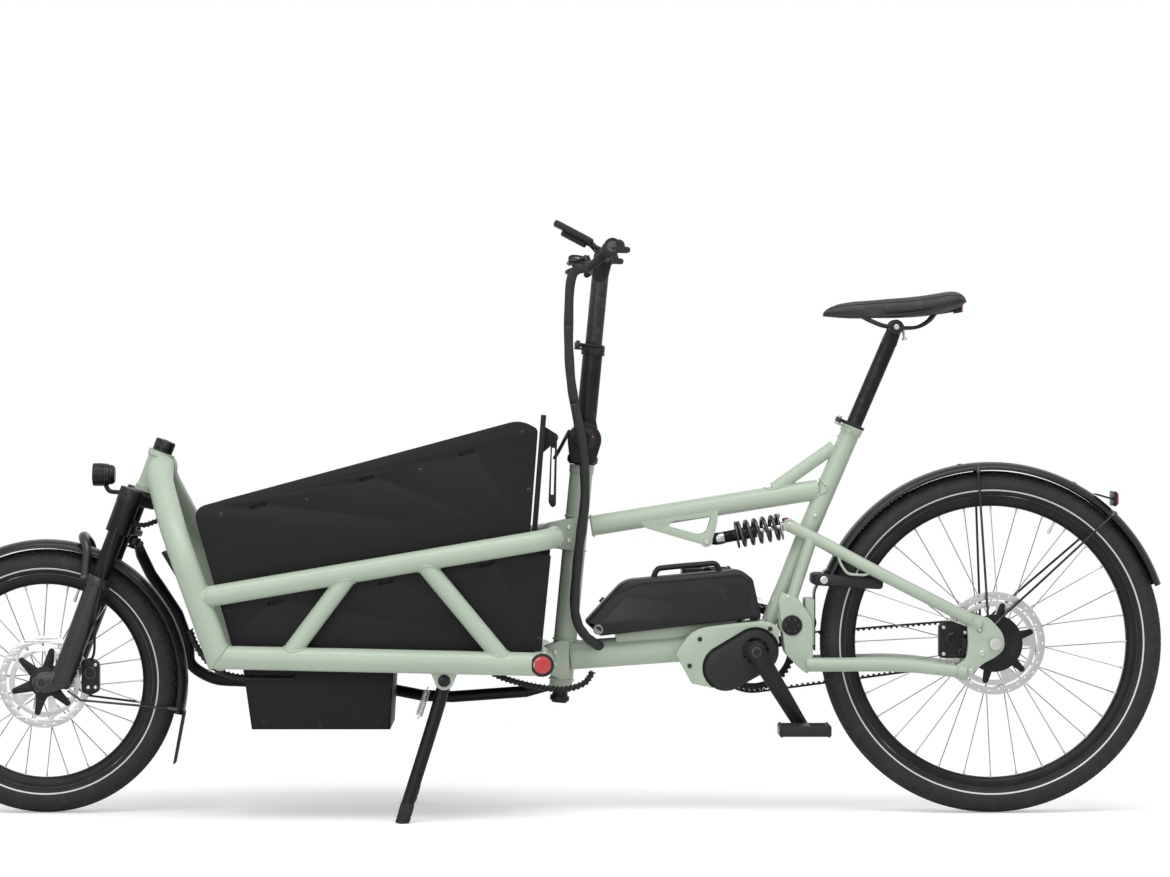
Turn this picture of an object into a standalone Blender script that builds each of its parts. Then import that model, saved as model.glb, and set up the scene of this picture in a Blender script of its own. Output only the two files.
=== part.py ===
"""An electric cargo bike with a load area between its front wheel and its rider.

Metres, +Z up. The bike faces -X, its right side is +Y, and the ground is Z = 0.
"""

import math

import bmesh
import bpy
from mathutils import Matrix, Vector

for old in list(bpy.data.objects):
    bpy.data.objects.remove(old, do_unlink=True)

pieces = bpy.data.collections.new("electric cargo bike")
cutters = bpy.data.collections.new("cutters")
bpy.context.scene.collection.children.link(pieces)
bpy.context.scene.collection.children.link(cutters)

# Clearances
GAP = 0.0003
RUNNING = 0.0006
SIDES = ((-1, "left"), (1, "right"))

# Wheels and the points that the frame hangs on
REAR_TYRE_RADIUS = 0.3345
REAR_TYRE_WIDTH = 0.055
REAR_BEAD_RADIUS = 0.287
FRONT_TYRE_RADIUS = 0.258
FRONT_TYRE_WIDTH = 0.055
FRONT_BEAD_RADIUS = 0.2105
WHEELBASE = 1.849
REAR_AXLE = Vector((0.8865, 0, REAR_TYRE_RADIUS))
FRONT_AXLE = Vector((REAR_AXLE.x - WHEELBASE, 0, FRONT_TYRE_RADIUS))
CRANK_AXIS = Vector((0.4238, 0, 0.3183))
PIVOT = Vector((0.4944, 0, 0.3688))
SHOCK_FRONT = Vector((0.3295, 0, 0.5320))
SHOCK_REAR = Vector((0.4914, 0, 0.5623))

# Fork and head tube: distances run down the steering axis from the head tube's top
HEAD_ANGLE = math.radians(20.5)
FORK_RAKE = 0.0545
FORK_LENGTH = 0.4985
CROWN_OFFSET = 0.022
LEG_SPREAD = 0.065
HEAD_TUBE_LENGTH = 0.084
HEAD_TUBE_RADIUS = 0.023
FORK_STEERER_RADIUS = 0.0143
STANCHION_RADIUS = 0.017
LOWER_RADIUS = 0.0225
HEAD_UP = Vector((math.sin(HEAD_ANGLE), 0, math.cos(HEAD_ANGLE)))
HEAD_FORWARD = Vector((-math.cos(HEAD_ANGLE), 0, math.sin(HEAD_ANGLE)))
HEAD_TOP = FRONT_AXLE - FORK_RAKE * HEAD_FORWARD + FORK_LENGTH * HEAD_UP

# Cargo frame
RAIL_SPREAD = 0.215
LEG_TUBE_RADIUS = 0.025
LOWER_RAIL_RADIUS = 0.0225
UPPER_RAIL_RADIUS = 0.020
BRACE_RADIUS = 0.0175
RAIL_CORNER = Vector((-0.609, 0, 0.3165))
CROSS_TUBE_REAR = Vector((0.0084, 0, 0.303))
UPPER_CROSS_TUBE = Vector((0.030, 0, 0.5432))
UPPER_RAIL_START = Vector((-0.6504, 0, 0.4283))

# Steering column
STEER_ANGLE = math.radians(5.5)
STEER_UP = Vector((math.sin(STEER_ANGLE), 0, math.cos(STEER_ANGLE)))
STEER_TOP = Vector((0.0862, 0, 0.680))
STEER_TUBE_LENGTH = 0.437
STEER_TUBE_RADIUS = 0.0225
COLUMN_RADIUS = 0.015
HINGE = STEER_TOP + 0.050 * STEER_UP
REAR_LEVER = 0.094
FRONT_LEVER = 0.100
LEVER_DROP = 0.450

# Swingarm: half distance between its plates
PLATE_SPREAD = 0.046
PLATE_THICKNESS = 0.012

# Drive
BELT_LINE = 0.062
BELT_WIDTH = 0.012
CHAINRING_TEETH = 50
SPROCKET_TEETH = 24
BELT_TEETH = 124
CRANK_LENGTH = 0.170
CRANK_INNER = 0.076
CRANK_THICKNESS = 0.014
SPINDLE_RADIUS = 0.012
IDLER = Vector((0.5292, 0, 0.3685))
IDLER_RADIUS = 0.0185


# Shapes

def made_mesh(curve, place=Matrix()):
    """A curve as a mesh object, its caps welded to its sides."""
    source = bpy.data.objects.new(curve.name, curve)
    mesh = bpy.data.meshes.new_from_object(source)
    bpy.data.objects.remove(source)
    shape = bmesh.new()
    shape.from_mesh(mesh)
    bmesh.ops.remove_doubles(shape, verts=shape.verts, dist=0.00001)
    bmesh.ops.recalc_face_normals(shape, faces=shape.faces)
    shape.to_mesh(mesh)
    shape.free()
    made = bpy.data.objects.new(curve.name, mesh)
    made.matrix_world = place
    return made


def tube(path, radius, sides=10, tapers=None):
    """A round bar along the points of path; tapers gives each point's share of the radius."""
    curve = bpy.data.curves.new("tube", "CURVE")
    curve.dimensions = "3D"
    curve.bevel_depth = radius
    curve.bevel_resolution = (sides - 4) // 2
    curve.use_fill_caps = True
    spline = curve.splines.new("POLY")
    spline.points.add(len(path) - 1)
    for number, place in enumerate(path):
        spline.points[number].co = (*place, 1)
        spline.points[number].radius = tapers[number] if tapers else 1
    return made_mesh(curve)


def side_on(y=0.0):
    """Puts a flat outline, given as (x, z), upright at this y."""
    return Matrix.Translation((0, y, 0)) @ Matrix.Rotation(math.pi / 2, 4, "X")


def facing(origin, axis):
    """A frame at origin whose Z runs along axis and whose Y stays across the bike where it can."""
    z = axis.normalized()
    upright = Vector((0, 1, 0)) if abs(z.y) < 0.9 else Vector((1, 0, 0))
    x = upright.cross(z).normalized()
    y = z.cross(x)
    turn = Matrix((x, y, z)).transposed().to_4x4()
    return Matrix.Translation(origin) @ turn


def plate(outline, thickness, place, holes=()):
    """A flat outline, with its holes, made this thick about its plane."""
    curve = bpy.data.curves.new("plate", "CURVE")
    curve.dimensions = "2D"
    curve.fill_mode = "BOTH"
    curve.extrude = thickness / 2
    for loop in (outline, *holes):
        spline = curve.splines.new("POLY")
        spline.points.add(len(loop) - 1)
        spline.use_cyclic_u = True
        for point, (across, up) in zip(spline.points, loop):
            point.co = (across, up, 0, 1)
    return made_mesh(curve, place)


def turned(profile, place, steps=24, ring=False):
    """A profile of (radius, height) points, top to bottom, turned about the frame's Z."""
    mesh = bpy.data.meshes.new("turned")
    count = len(profile)
    edges = [(number, (number + 1) % count) for number in range(count if ring else count - 1)]
    mesh.from_pydata([(radius, 0, height) for radius, height in profile], edges, [])
    made = bpy.data.objects.new("turned", mesh)
    screw = made.modifiers.new("Screw", "SCREW")
    screw.steps = steps
    screw.render_steps = steps
    screw.use_merge_vertices = True
    screw.merge_threshold = 0.00001
    screw.use_smooth_shade = False
    made.matrix_world = place
    return made


def lathed(origin, axis, profile, steps=12, bore=0.0):
    """A round part whose profile gives (distance along axis, radius) from one end to the other."""
    skin = [(radius, distance) for distance, radius in reversed(profile)]
    skin = [(bore, skin[0][1]), *skin, (bore, skin[-1][1])]
    return turned(skin, facing(origin, axis), steps, ring=bore > 0)


def rod(start, end, radius, steps=12, bore=0.0):
    """A straight round bar, or a straight tube where it has a bore."""
    return lathed(start, end - start, [(0, radius), ((end - start).length, radius)], steps, bore)


def block(size, place, bevel=0.0, segments=2):
    """A box about the frame's origin, with rounded edges where bevel is given."""
    shape = bmesh.new()
    bmesh.ops.create_cube(shape, size=1)
    bmesh.ops.scale(shape, vec=size, verts=shape.verts)
    mesh = bpy.data.meshes.new("block")
    shape.to_mesh(mesh)
    shape.free()
    made = bpy.data.objects.new("block", mesh)
    made.matrix_world = place
    if bevel:
        rounding = made.modifiers.new("Bevel", "BEVEL")
        rounding.width = bevel
        rounding.segments = segments
    return made


def loft(sections):
    """A closed skin over rings of points, each ring with the same count."""
    shape = bmesh.new()
    rings = [[shape.verts.new(point) for point in ring] for ring in sections]
    count = len(rings[0])
    for near, far in zip(rings, rings[1:]):
        for number in range(count):
            after = (number + 1) % count
            shape.faces.new((near[number], near[after], far[after], far[number]))
    shape.faces.new(rings[0])
    shape.faces.new(rings[-1])
    bmesh.ops.recalc_face_normals(shape, faces=shape.faces)
    mesh = bpy.data.meshes.new("loft")
    shape.to_mesh(mesh)
    shape.free()
    return bpy.data.objects.new("loft", mesh)


def arc(centre, radius, start, end, steps):
    """Points on a circle from one angle to another, in degrees."""
    angles = [math.radians(start + (end - start) * step / steps) for step in range(steps + 1)]
    return [(centre[0] + radius * math.cos(a), centre[1] + radius * math.sin(a)) for a in angles]


def circle(centre, radius, count=16):
    return arc(centre, radius, 0, 360 - 360 / count, count - 1)


def strap(near, far, near_radius, far_radius, steps=4):
    """The outline drawn tight round two circles."""
    across, up = far[0] - near[0], far[1] - near[1]
    heading = math.degrees(math.atan2(up, across))
    lean = math.degrees(math.acos((near_radius - far_radius) / math.hypot(across, up)))
    behind = arc(near, near_radius, heading + lean, heading + 360 - lean, steps)
    ahead = arc(far, far_radius, heading - lean, heading + lean, steps)
    return behind + ahead


def flat(point):
    """A point's place in a side view, as (x, z)."""
    return (point.x, point.z)


def through(points, steps):
    """A smooth curve through points, with this many steps between two of them."""
    route = []
    for number in range(len(points) - 1):
        before = points[max(number - 1, 0)]
        start, end = points[number], points[number + 1]
        after = points[min(number + 2, len(points) - 1)]
        for step in range(steps):
            t = step / steps
            route.append(0.5 * (
                2 * start + (end - before) * t
                + (2 * before - 5 * start + 4 * end - after) * t ** 2
                + (3 * start - before - 3 * end + after) * t ** 3
            ))
    return route + [points[-1]]


def rounded(points, radius, steps=4):
    """A run of straight lines whose corners are rounded to this radius."""
    route = [points[0]]
    for before, corner, after in zip(points, points[1:], points[2:]):
        back = (before - corner).normalized()
        on = (after - corner).normalized()
        half = back.angle(on) / 2
        middle = corner + (back + on).normalized() * radius / math.sin(half)
        start = corner + back * radius / math.tan(half) - middle
        end = corner + on * radius / math.tan(half) - middle
        sweep = start.angle(end)
        for step in range(steps + 1):
            turn = sweep * step / steps
            route.append(middle + (math.sin(sweep - turn) * start + math.sin(turn) * end) / math.sin(sweep))
    return route + [points[-1]]


def soft(corners, steps=3):
    """A closed outline from (x, z, reach): each corner is rounded off over its reach."""
    outline = []
    count = len(corners)
    for number, (x, z, reach) in enumerate(corners):
        here = Vector((x, z))
        if not reach:
            outline.append((x, z))
            continue
        before = Vector(corners[number - 1][:2])
        after = Vector(corners[(number + 1) % count][:2])
        start = here + (before - here).normalized() * reach
        end = here + (after - here).normalized() * reach
        for step in range(steps + 1):
            t = step / steps
            outline.append(tuple((1 - t) ** 2 * start + 2 * t * (1 - t) * here + t ** 2 * end))
    return outline


def across(point, side=1):
    """The point with its Y taken to this side of the bike."""
    return Vector((point[0], side * point[1], point[2]))


# Putting shapes together

def tool(shape):
    if shape.name not in cutters.objects:
        cutters.objects.link(shape)
    shape.hide_render = True
    shape.display_type = "WIRE"
    return shape


def combine(target, shapes, operation):
    for shape in shapes:
        step = target.modifiers.new(operation.title(), "BOOLEAN")
        step.operation = operation
        step.solver = "EXACT"
        step.object = tool(shape)
    return target


def join(target, *shapes):
    return combine(target, shapes, "UNION")


def cut(target, *shapes):
    return combine(target, shapes, "DIFFERENCE")


def trimmed(shape, point, normal):
    """The shape without what lies beyond a plane, its cut end closed. Only for a meshed shape at the origin."""
    skin = bmesh.new()
    skin.from_mesh(shape.data)
    geometry = skin.verts[:] + skin.edges[:] + skin.faces[:]
    cut_ring = bmesh.ops.bisect_plane(
        skin, geom=geometry, dist=0.000001, plane_co=point, plane_no=normal, clear_outer=True
    )["geom_cut"]
    bmesh.ops.edgeloop_fill(skin, edges=[edge for edge in cut_ring if isinstance(edge, bmesh.types.BMEdge)])
    bmesh.ops.recalc_face_normals(skin, faces=skin.faces)
    skin.to_mesh(shape.data)
    skin.free()
    return shape


SAGE = ((0.55, 0.62, 0.53), 0.35, 0.0)
BLACK = ((0.02, 0.02, 0.022), 0.5, 0.0)
RUBBER = ((0.03, 0.03, 0.03), 0.85, 0.0)
BOARD = ((0.03, 0.03, 0.032), 0.7, 0.0)
STEEL = ((0.6, 0.6, 0.6), 0.3, 1.0)


def piece(shape, name, look, carrier):
    """The finished sub-part: its name, its own material, and the empty that moves it."""
    colour, roughness, metallic = look
    material = bpy.data.materials.new(name)
    material.use_nodes = True
    shader = material.node_tree.nodes["Principled BSDF"]
    shader.inputs["Base Color"].default_value = (*colour, 1)
    shader.inputs["Roughness"].default_value = roughness
    shader.inputs["Metallic"].default_value = metallic
    shape.name = name
    shape.data.materials.clear()
    shape.data.materials.append(material)
    if shape.data.polygons:
        shape.data.shade_smooth()
        shape.data.set_sharp_from_angle(angle=math.radians(35))
    pieces.objects.link(shape)
    shape.parent = carrier
    shape.matrix_parent_inverse = Matrix.Translation(-carrier.location)
    return shape


def axis_point(name, place, parent=None):
    """An empty on a joint's axis, which carries the pieces that move there."""
    empty = bpy.data.objects.new(name, None)
    empty.empty_display_size = 0.03
    empty.location = place
    pieces.objects.link(empty)
    if parent:
        empty.parent = parent
        empty.matrix_parent_inverse = Matrix.Translation(-parent.location)
    return empty


def on_head(down, forward=0.0, y=0.0):
    """A point this far down the head tube's axis and this far in front of it."""
    return HEAD_TOP - down * HEAD_UP + forward * HEAD_FORWARD + Vector((0, y, 0))


def on_column(down, y=0.0):
    return STEER_TOP - down * STEER_UP + Vector((0, y, 0))


FORK_AXIS_POINT = on_head(0.150)
POST_CLAMP = HINGE + 0.186 * STEER_UP
SEAT_ANGLE = math.radians(23.3)
SEAT_UP = Vector((math.sin(SEAT_ANGLE), 0, math.cos(SEAT_ANGLE)))
SEAT_TUBE_TOP = Vector((0.617, 0, 0.755))
SEAT_TUBE_LENGTH = 0.415
STAND_AXIS = Vector((-0.179, 0, 0.271))

frame = axis_point("frame_point", Vector((0, 0, 0)))
fork = axis_point("fork_point", FORK_AXIS_POINT, frame)
lowers = axis_point("fork_lowers_point", FRONT_AXLE, fork)
front_wheel = axis_point("front_wheel_point", FRONT_AXLE, lowers)
steerer = axis_point("steerer_point", STEER_TOP, frame)
rod_point = axis_point("steering_rod_point", on_column(LEVER_DROP, REAR_LEVER), steerer)
post = axis_point("handlebar_post_point", HINGE, steerer)
bar = axis_point("handlebar_point", POST_CLAMP, post)
swingarm = axis_point("swingarm_point", PIVOT, frame)
rear_wheel = axis_point("rear_wheel_point", REAR_AXLE, swingarm)
sprocket = axis_point("sprocket_point", REAR_AXLE, swingarm)
idler = axis_point("idler_point", IDLER, swingarm)
shock = axis_point("shock_point", SHOCK_FRONT, frame)
shaft = axis_point("shock_shaft_point", SHOCK_REAR, shock)
cranks = axis_point("cranks_point", CRANK_AXIS, frame)
saddle_point = axis_point("saddle_point", SEAT_TUBE_TOP, frame)
stand = axis_point("kickstand_point", STAND_AXIS, frame)


# Front yoke: the head tube and the two curved legs that reach down past the wheel

HEADSET_RADIUS = 0.026
HEADSET_LIP = 0.012
FRONT_CROSS_RADIUS = 0.015
RAIL_AXIS = (CROSS_TUBE_REAR - RAIL_CORNER).normalized()
RAIL_LENGTH = (CROSS_TUBE_REAR - RAIL_CORNER).length
LEG_FROM_HEAD = (
    (0.0005, 0.000, -0.027),
    (0.0026, 0.060, -0.052),
    (0.0136, 0.105, -0.083),
    (0.0327, 0.165, -0.131),
    (0.0577, 0.208, -0.1945),
)


def leg_route(side):
    """A leg's middle line, from inside the head tube to the lower rail's corner."""
    bends = [HEAD_TOP + across(bend, side) for bend in LEG_FROM_HEAD]
    foot = RAIL_CORNER + Vector((0, side * RAIL_SPREAD, 0))
    return bends + [bends[-1].lerp(foot, 0.4), foot]


LEG_END = leg_route(1)[-1] - leg_route(1)[-2]
MITRE = (Vector((LEG_END.x, 0, LEG_END.z)).normalized() + RAIL_AXIS).normalized()


def legs_tube(radius):
    """Both legs as one tube that runs through the head tube and on past the lower rails."""
    left, right = leg_route(-1), leg_route(1)
    beyond = [foot + 0.06 * (foot - before).normalized() for *_, before, foot in (left, right)]
    bends = through(left[-2:0:-1] + right[:-1], 2)
    return tube([beyond[0], left[-1], *bends, right[-1], beyond[1]], radius, 10)


def front_cross(grow=0.0):
    """The tube between the legs' feet; it ends inside the lower rails."""
    middle = RAIL_CORNER + Vector((0.0023, 0, -0.0103))
    reach = Vector((0, RAIL_SPREAD - 0.0046 + grow, 0))
    return rod(middle - reach, middle + reach, FRONT_CROSS_RADIUS + grow, 9)


def front_yoke():
    head = lathed(on_head(HEAD_TUBE_LENGTH), HEAD_UP, [
        (0, HEADSET_RADIUS),
        (HEADSET_LIP, HEADSET_RADIUS),
        (HEADSET_LIP, HEAD_TUBE_RADIUS),
        (HEAD_TUBE_LENGTH - HEADSET_LIP, HEAD_TUBE_RADIUS),
        (HEAD_TUBE_LENGTH - HEADSET_LIP, HEADSET_RADIUS),
        (HEAD_TUBE_LENGTH, HEADSET_RADIUS),
    ], 12)
    legs = trimmed(legs_tube(LEG_TUBE_RADIUS), RAIL_CORNER, MITRE)
    join(legs, front_cross())
    join(head, legs)
    cut(head, rod(on_head(HEAD_TUBE_LENGTH + 0.02), on_head(-0.02), FORK_STEERER_RADIUS + RUNNING, 12))
    return piece(head, "front_yoke", SAGE, frame)


# Upper rail: one tube from leg to leg, round behind the box

UPPER_RAIL_BEND = 0.058


def upper_rail_tube(radius):
    front, rear = UPPER_RAIL_START, UPPER_CROSS_TUBE
    out = Vector((0, RAIL_SPREAD, 0))
    return tube(rounded([front - out, rear - out, rear + out, front + out], UPPER_RAIL_BEND, 4), radius, 10)


def upper_rail():
    rail = cut(upper_rail_tube(UPPER_RAIL_RADIUS), legs_tube(LEG_TUBE_RADIUS + GAP))
    return piece(rail, "upper_rail", SAGE, frame)


# Side trusses: lower rail, two braces and the ear that holds the kickstand

BRACES = ((-0.480, -0.357), (-0.060, -0.222))
EAR_SPREAD = 0.203
EAR_THICKNESS = 0.006
EAR_RADIUS = 0.018
STAND_AXLE_RADIUS = 0.011


def rail_height(x):
    return RAIL_CORNER.z + (x - RAIL_CORNER.x) * RAIL_AXIS.z / RAIL_AXIS.x


def upper_rail_height(x):
    rise = (UPPER_CROSS_TUBE.z - UPPER_RAIL_START.z) / (UPPER_CROSS_TUBE.x - UPPER_RAIL_START.x)
    return UPPER_RAIL_START.z + (x - UPPER_RAIL_START.x) * rise


def side_truss(side, label):
    out = Vector((0, side * RAIL_SPREAD, 0))
    start = RAIL_CORNER - 0.06 * RAIL_AXIS + out
    end = RAIL_CORNER + RAIL_LENGTH * RAIL_AXIS + out
    rail = trimmed(tube([start, end], LOWER_RAIL_RADIUS, 12), RAIL_CORNER + GAP * MITRE, -MITRE)
    for foot, head in BRACES:
        low = Vector((foot, 0, rail_height(foot))) + out
        high = Vector((head, 0, upper_rail_height(head))) + out
        join(rail, tube([low, high], BRACE_RADIUS, 8))
    root = rail_height(STAND_AXIS.x)
    ear = [(STAND_AXIS.x - 0.034, root), *arc(flat(STAND_AXIS), EAR_RADIUS, 200, 340, 6), (STAND_AXIS.x + 0.034, root)]
    join(rail, plate(ear, EAR_THICKNESS, side_on(side * EAR_SPREAD)))
    out_of_ear = Vector((0, 0.02, 0))
    middle = STAND_AXIS + Vector((0, side * EAR_SPREAD, 0))
    cut(
        rail,
        rod(middle - out_of_ear, middle + out_of_ear, STAND_AXLE_RADIUS + RUNNING, 12),
        upper_rail_tube(UPPER_RAIL_RADIUS + GAP),
        front_cross(GAP),
        tube([CROSS_TUBE_REAR + 0.5 * out, CROSS_TUBE_REAR + 1.5 * out], LOWER_RAIL_RADIUS + GAP, 12),
    )
    return piece(rail, f"side_truss_{label}", SAGE, frame)


# Steering tube: upright tube, the two lugs that bolt it to the cargo frame, and the lower cross tube

CROSS_TUBE_OVERHANG = 0.0215
LUG_WIDTH = 0.060
UPPER_LUG = on_column(0.137)
LOWER_LUG = on_column(0.385)
LUG_REACH = 0.012


def steering_tube():
    upright = lathed(on_column(STEER_TUBE_LENGTH), STEER_UP, [
        (0, STEER_TUBE_RADIUS),
        (STEER_TUBE_LENGTH - 0.014, STEER_TUBE_RADIUS),
        (STEER_TUBE_LENGTH - 0.014, STEER_TUBE_RADIUS + 0.0015),
        (STEER_TUBE_LENGTH, STEER_TUBE_RADIUS + 0.0015),
    ], 12)
    reach = Vector((0, RAIL_SPREAD + CROSS_TUBE_OVERHANG, 0))
    cross = tube([CROSS_TUBE_REAR - reach, CROSS_TUBE_REAR + reach], LOWER_RAIL_RADIUS, 12)
    upper_lug = [
        (UPPER_CROSS_TUBE.x - 0.004, UPPER_CROSS_TUBE.z + 0.024),
        (UPPER_LUG.x + 0.004, UPPER_LUG.z + 0.036),
        (UPPER_LUG.x - 0.002, UPPER_LUG.z - 0.030),
        (UPPER_CROSS_TUBE.x - 0.004, UPPER_CROSS_TUBE.z - 0.024),
    ]
    lower_lug = [
        (CROSS_TUBE_REAR.x - 0.003, CROSS_TUBE_REAR.z + 0.019),
        (LOWER_LUG.x - 0.006, LOWER_LUG.z + 0.042),
        (LOWER_LUG.x + LUG_REACH, LOWER_LUG.z + 0.042),
        (LOWER_LUG.x + LUG_REACH, LOWER_LUG.z - 0.034),
        (LOWER_LUG.x - 0.006, LOWER_LUG.z - 0.036),
        (CROSS_TUBE_REAR.x - 0.003, CROSS_TUBE_REAR.z - 0.020),
    ]
    upper = plate(upper_lug, LUG_WIDTH, side_on())
    cut(upper, upper_rail_tube(UPPER_RAIL_RADIUS + GAP))
    join(upright, plate(lower_lug, LUG_WIDTH, side_on()), cross, upper)
    cut(upright, rod(on_column(STEER_TUBE_LENGTH + 0.02), on_column(-0.02), COLUMN_RADIUS + RUNNING, 12))
    return piece(upright, "steering_tube", SAGE, frame)


# Down tube, with the battery's cradle on top and the shell that holds the motor

DOWN_TUBE_RADIUS = 0.0285
DOWN_TUBE_START = Vector((0.047, 0, 0.3065))
DOWN_TUBE_END = Vector((0.300, 0, 0.3245))
COWL_WIDTH = 0.104
COWL_TOP = ((0.331, 0.3660), (0.433, 0.3770), (0.4690, 0.3660))
COWL_OUTLINE = (
    (0.268, 0.3120), (0.282, 0.3340), (0.299, 0.3540), *COWL_TOP, (0.4660, 0.3440),
    (0.4238, 0.3183), (0.3660, 0.2850), (0.3120, 0.2560), (0.3000, 0.2540),
)
MOTOR_HALF = 0.050
MOTOR_ENDS = ((0.3660, 0.2850), (CRANK_AXIS.x, CRANK_AXIS.z))
MOTOR_RADII = (0.045, 0.046)
BATTERY_FOOT = Vector((0.1209, 0, 0.3472))
BATTERY_HEEL = Vector((0.4056, 0, 0.3804))
BATTERY_LIE = (BATTERY_HEEL - BATTERY_FOOT).normalized()
BATTERY_DOWN = Vector((BATTERY_LIE.z, 0, -BATTERY_LIE.x))
SLEEVE_RADIUS = 0.0105
SLEEVE_ROUTE = tuple(Vector(place) for place in (
    (0.0658, -0.050, 1.0473), (0.0596, -0.050, 0.9534), (0.0623, -0.050, 0.8666), (0.0711, -0.050, 0.8004),
    (0.0876, -0.050, 0.7100), (0.0915, -0.050, 0.6204), (0.0850, -0.050, 0.5600), (0.0779, -0.051, 0.5005),
    (0.0711, -0.054, 0.4160), (0.0770, -0.058, 0.3740), (0.0930, -0.052, 0.3480), (0.1110, -0.034, 0.3330),
    (0.1230, -0.018, 0.3240),
))


def down_tube():
    main = tube([DOWN_TUBE_START, DOWN_TUBE_END], DOWN_TUBE_RADIUS, 12)
    start = BATTERY_FOOT + 0.030 * BATTERY_LIE + GAP * BATTERY_DOWN
    end = BATTERY_FOOT + 0.270 * BATTERY_LIE + GAP * BATTERY_DOWN
    cradle = [flat(start), flat(end), flat(end + 0.012 * BATTERY_DOWN), flat(start + 0.030 * BATTERY_DOWN)]
    join(main, plate(COWL_OUTLINE, COWL_WIDTH, side_on()), plate(cradle, 0.040, side_on()))
    reach = LOWER_LUG.x + LUG_REACH + GAP
    lug_space = [(-0.05, LOWER_LUG.z + 0.08), (reach, LOWER_LUG.z + 0.08), (reach, 0.22), (-0.05, 0.22)]
    near, far = MOTOR_RADII
    cut(
        main,
        plate(lug_space, 0.07, side_on()),
        rod(on_column(STEER_TUBE_LENGTH + 0.02), on_column(0.2), STEER_TUBE_RADIUS + GAP, 12),
        plate(strap(*MOTOR_ENDS, near + GAP, far + GAP, 8), COWL_WIDTH + 0.01, side_on()),
        tube(SLEEVE_ROUTE[-4:], SLEEVE_RADIUS + 0.001, 8),
    )
    return piece(main, "down_tube", SAGE, frame)


# Top tube with the fork-shaped bracket of the shock

TOP_TUBE_RADIUS = 0.020
TOP_TUBE_START = Vector((0.0735, 0, 0.5560))
TOP_TUBE_END = Vector((0.5550, 0, 0.6331))
SHOCK_EYE_RADIUS = 0.011
SHOCK_EYE_WIDTH = 0.024
SHOCK_PIN_RADIUS = 0.005
BRACKET_THICKNESS = 0.006
SEAT_TUBE_RADIUS = 0.019


def seat_tube_line(radius, foot=SEAT_TUBE_LENGTH):
    return tube([SEAT_TUBE_TOP - foot * SEAT_UP, SEAT_TUBE_TOP], radius, 12)


def top_tube():
    main = tube([TOP_TUBE_START, TOP_TUBE_END], TOP_TUBE_RADIUS, 12)
    eye = arc(flat(SHOCK_FRONT), SHOCK_EYE_RADIUS + 0.001, 215, 370, 8)
    outline = [(0.196, 0.5720), (0.214, 0.5560), *eye, (0.354, 0.5990), (0.330, 0.6000)]
    window = [(0.262, 0.5700), (0.255, 0.5600), (0.3160, 0.5440), (0.3300, 0.5500), (0.3390, 0.5800)]
    for side, _ in SIDES:
        y = side * (SHOCK_EYE_WIDTH / 2 + GAP + BRACKET_THICKNESS / 2)
        join(main, plate(outline, BRACKET_THICKNESS, side_on(y), [window]))
    pin_out = Vector((0, SHOCK_EYE_WIDTH / 2 + BRACKET_THICKNESS + 0.002, 0))
    join(main, rod(SHOCK_FRONT - pin_out, SHOCK_FRONT + pin_out, SHOCK_PIN_RADIUS, 12))
    lug_space = [
        (0, UPPER_LUG.z + 0.06), (UPPER_LUG.x + 0.006, UPPER_LUG.z + 0.06),
        (UPPER_LUG.x + 0.006, UPPER_LUG.z - 0.06), (0, UPPER_LUG.z - 0.06),
    ]
    cut(
        main,
        plate(lug_space, 0.07, side_on()),
        rod(on_column(0.2), on_column(-0.02), STEER_TUBE_RADIUS + GAP, 12),
        seat_tube_line(SEAT_TUBE_RADIUS + GAP),
    )
    return piece(main, "top_tube", SAGE, frame)


# Seat tube: tube, strut over the top tube, and the lug of the swingarm's pivot

SEAT_POST_RADIUS = 0.01545
STRUT_FOOT = Vector((0.462, 0, 0.6330))
STRUT_HEAD = Vector((0.5900, 0, 0.7230))
STRUT_RADIUS = 0.0130
LUG_RADIUS = 0.024
PIVOT_PIN_RADIUS = 0.010
POST_BORE_DEPTH = 0.240
CLAMP_REACH = 0.031
CLAMP_PIN_RADIUS = 0.003
CLAMP_EYE_HEIGHT = 0.009


def clamp_pin(centre, up):
    """The tab in front of a clamp's collar and the pin on which its lever swings."""
    outline = [(-0.0175, 0.007), *arc((-CLAMP_REACH, 0), 0.006, 90, 270, 3), (-0.0175, -0.007)]
    tab = plate(outline, 0.005, facing(centre, up))
    forward = Vector((-up.z, 0, up.x))
    pin = centre + CLAMP_REACH * forward
    return [tab, rod(pin, pin + (CLAMP_EYE_HEIGHT + 0.005) * up, CLAMP_PIN_RADIUS, 10)]


def clamp_lever(name, centre, up, carrier):
    """A lever that lies round the left of a clamp's collar."""
    forward = Vector((-up.z, 0, up.x))
    base = centre + CLAMP_REACH * forward + (0.0025 + GAP) * up
    eye = rod(base, base + CLAMP_EYE_HEIGHT * up, 0.0065, 12)
    level = base + CLAMP_EYE_HEIGHT / 2 * up - CLAMP_REACH * forward
    blade = [
        level + ahead * forward + Vector((0, y, 0))
        for ahead, y in ((CLAMP_REACH - 0.001, -0.003), (0.0260, -0.0200), (0.0080, -0.0320), (-0.0200, -0.0350))
    ]
    join(eye, tube(blade, 0.0038, 10))
    cut(eye, rod(base - 0.01 * up, base + 0.02 * up, CLAMP_PIN_RADIUS + RUNNING / 2, 12))
    return piece(eye, name, BLACK, carrier)


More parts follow.
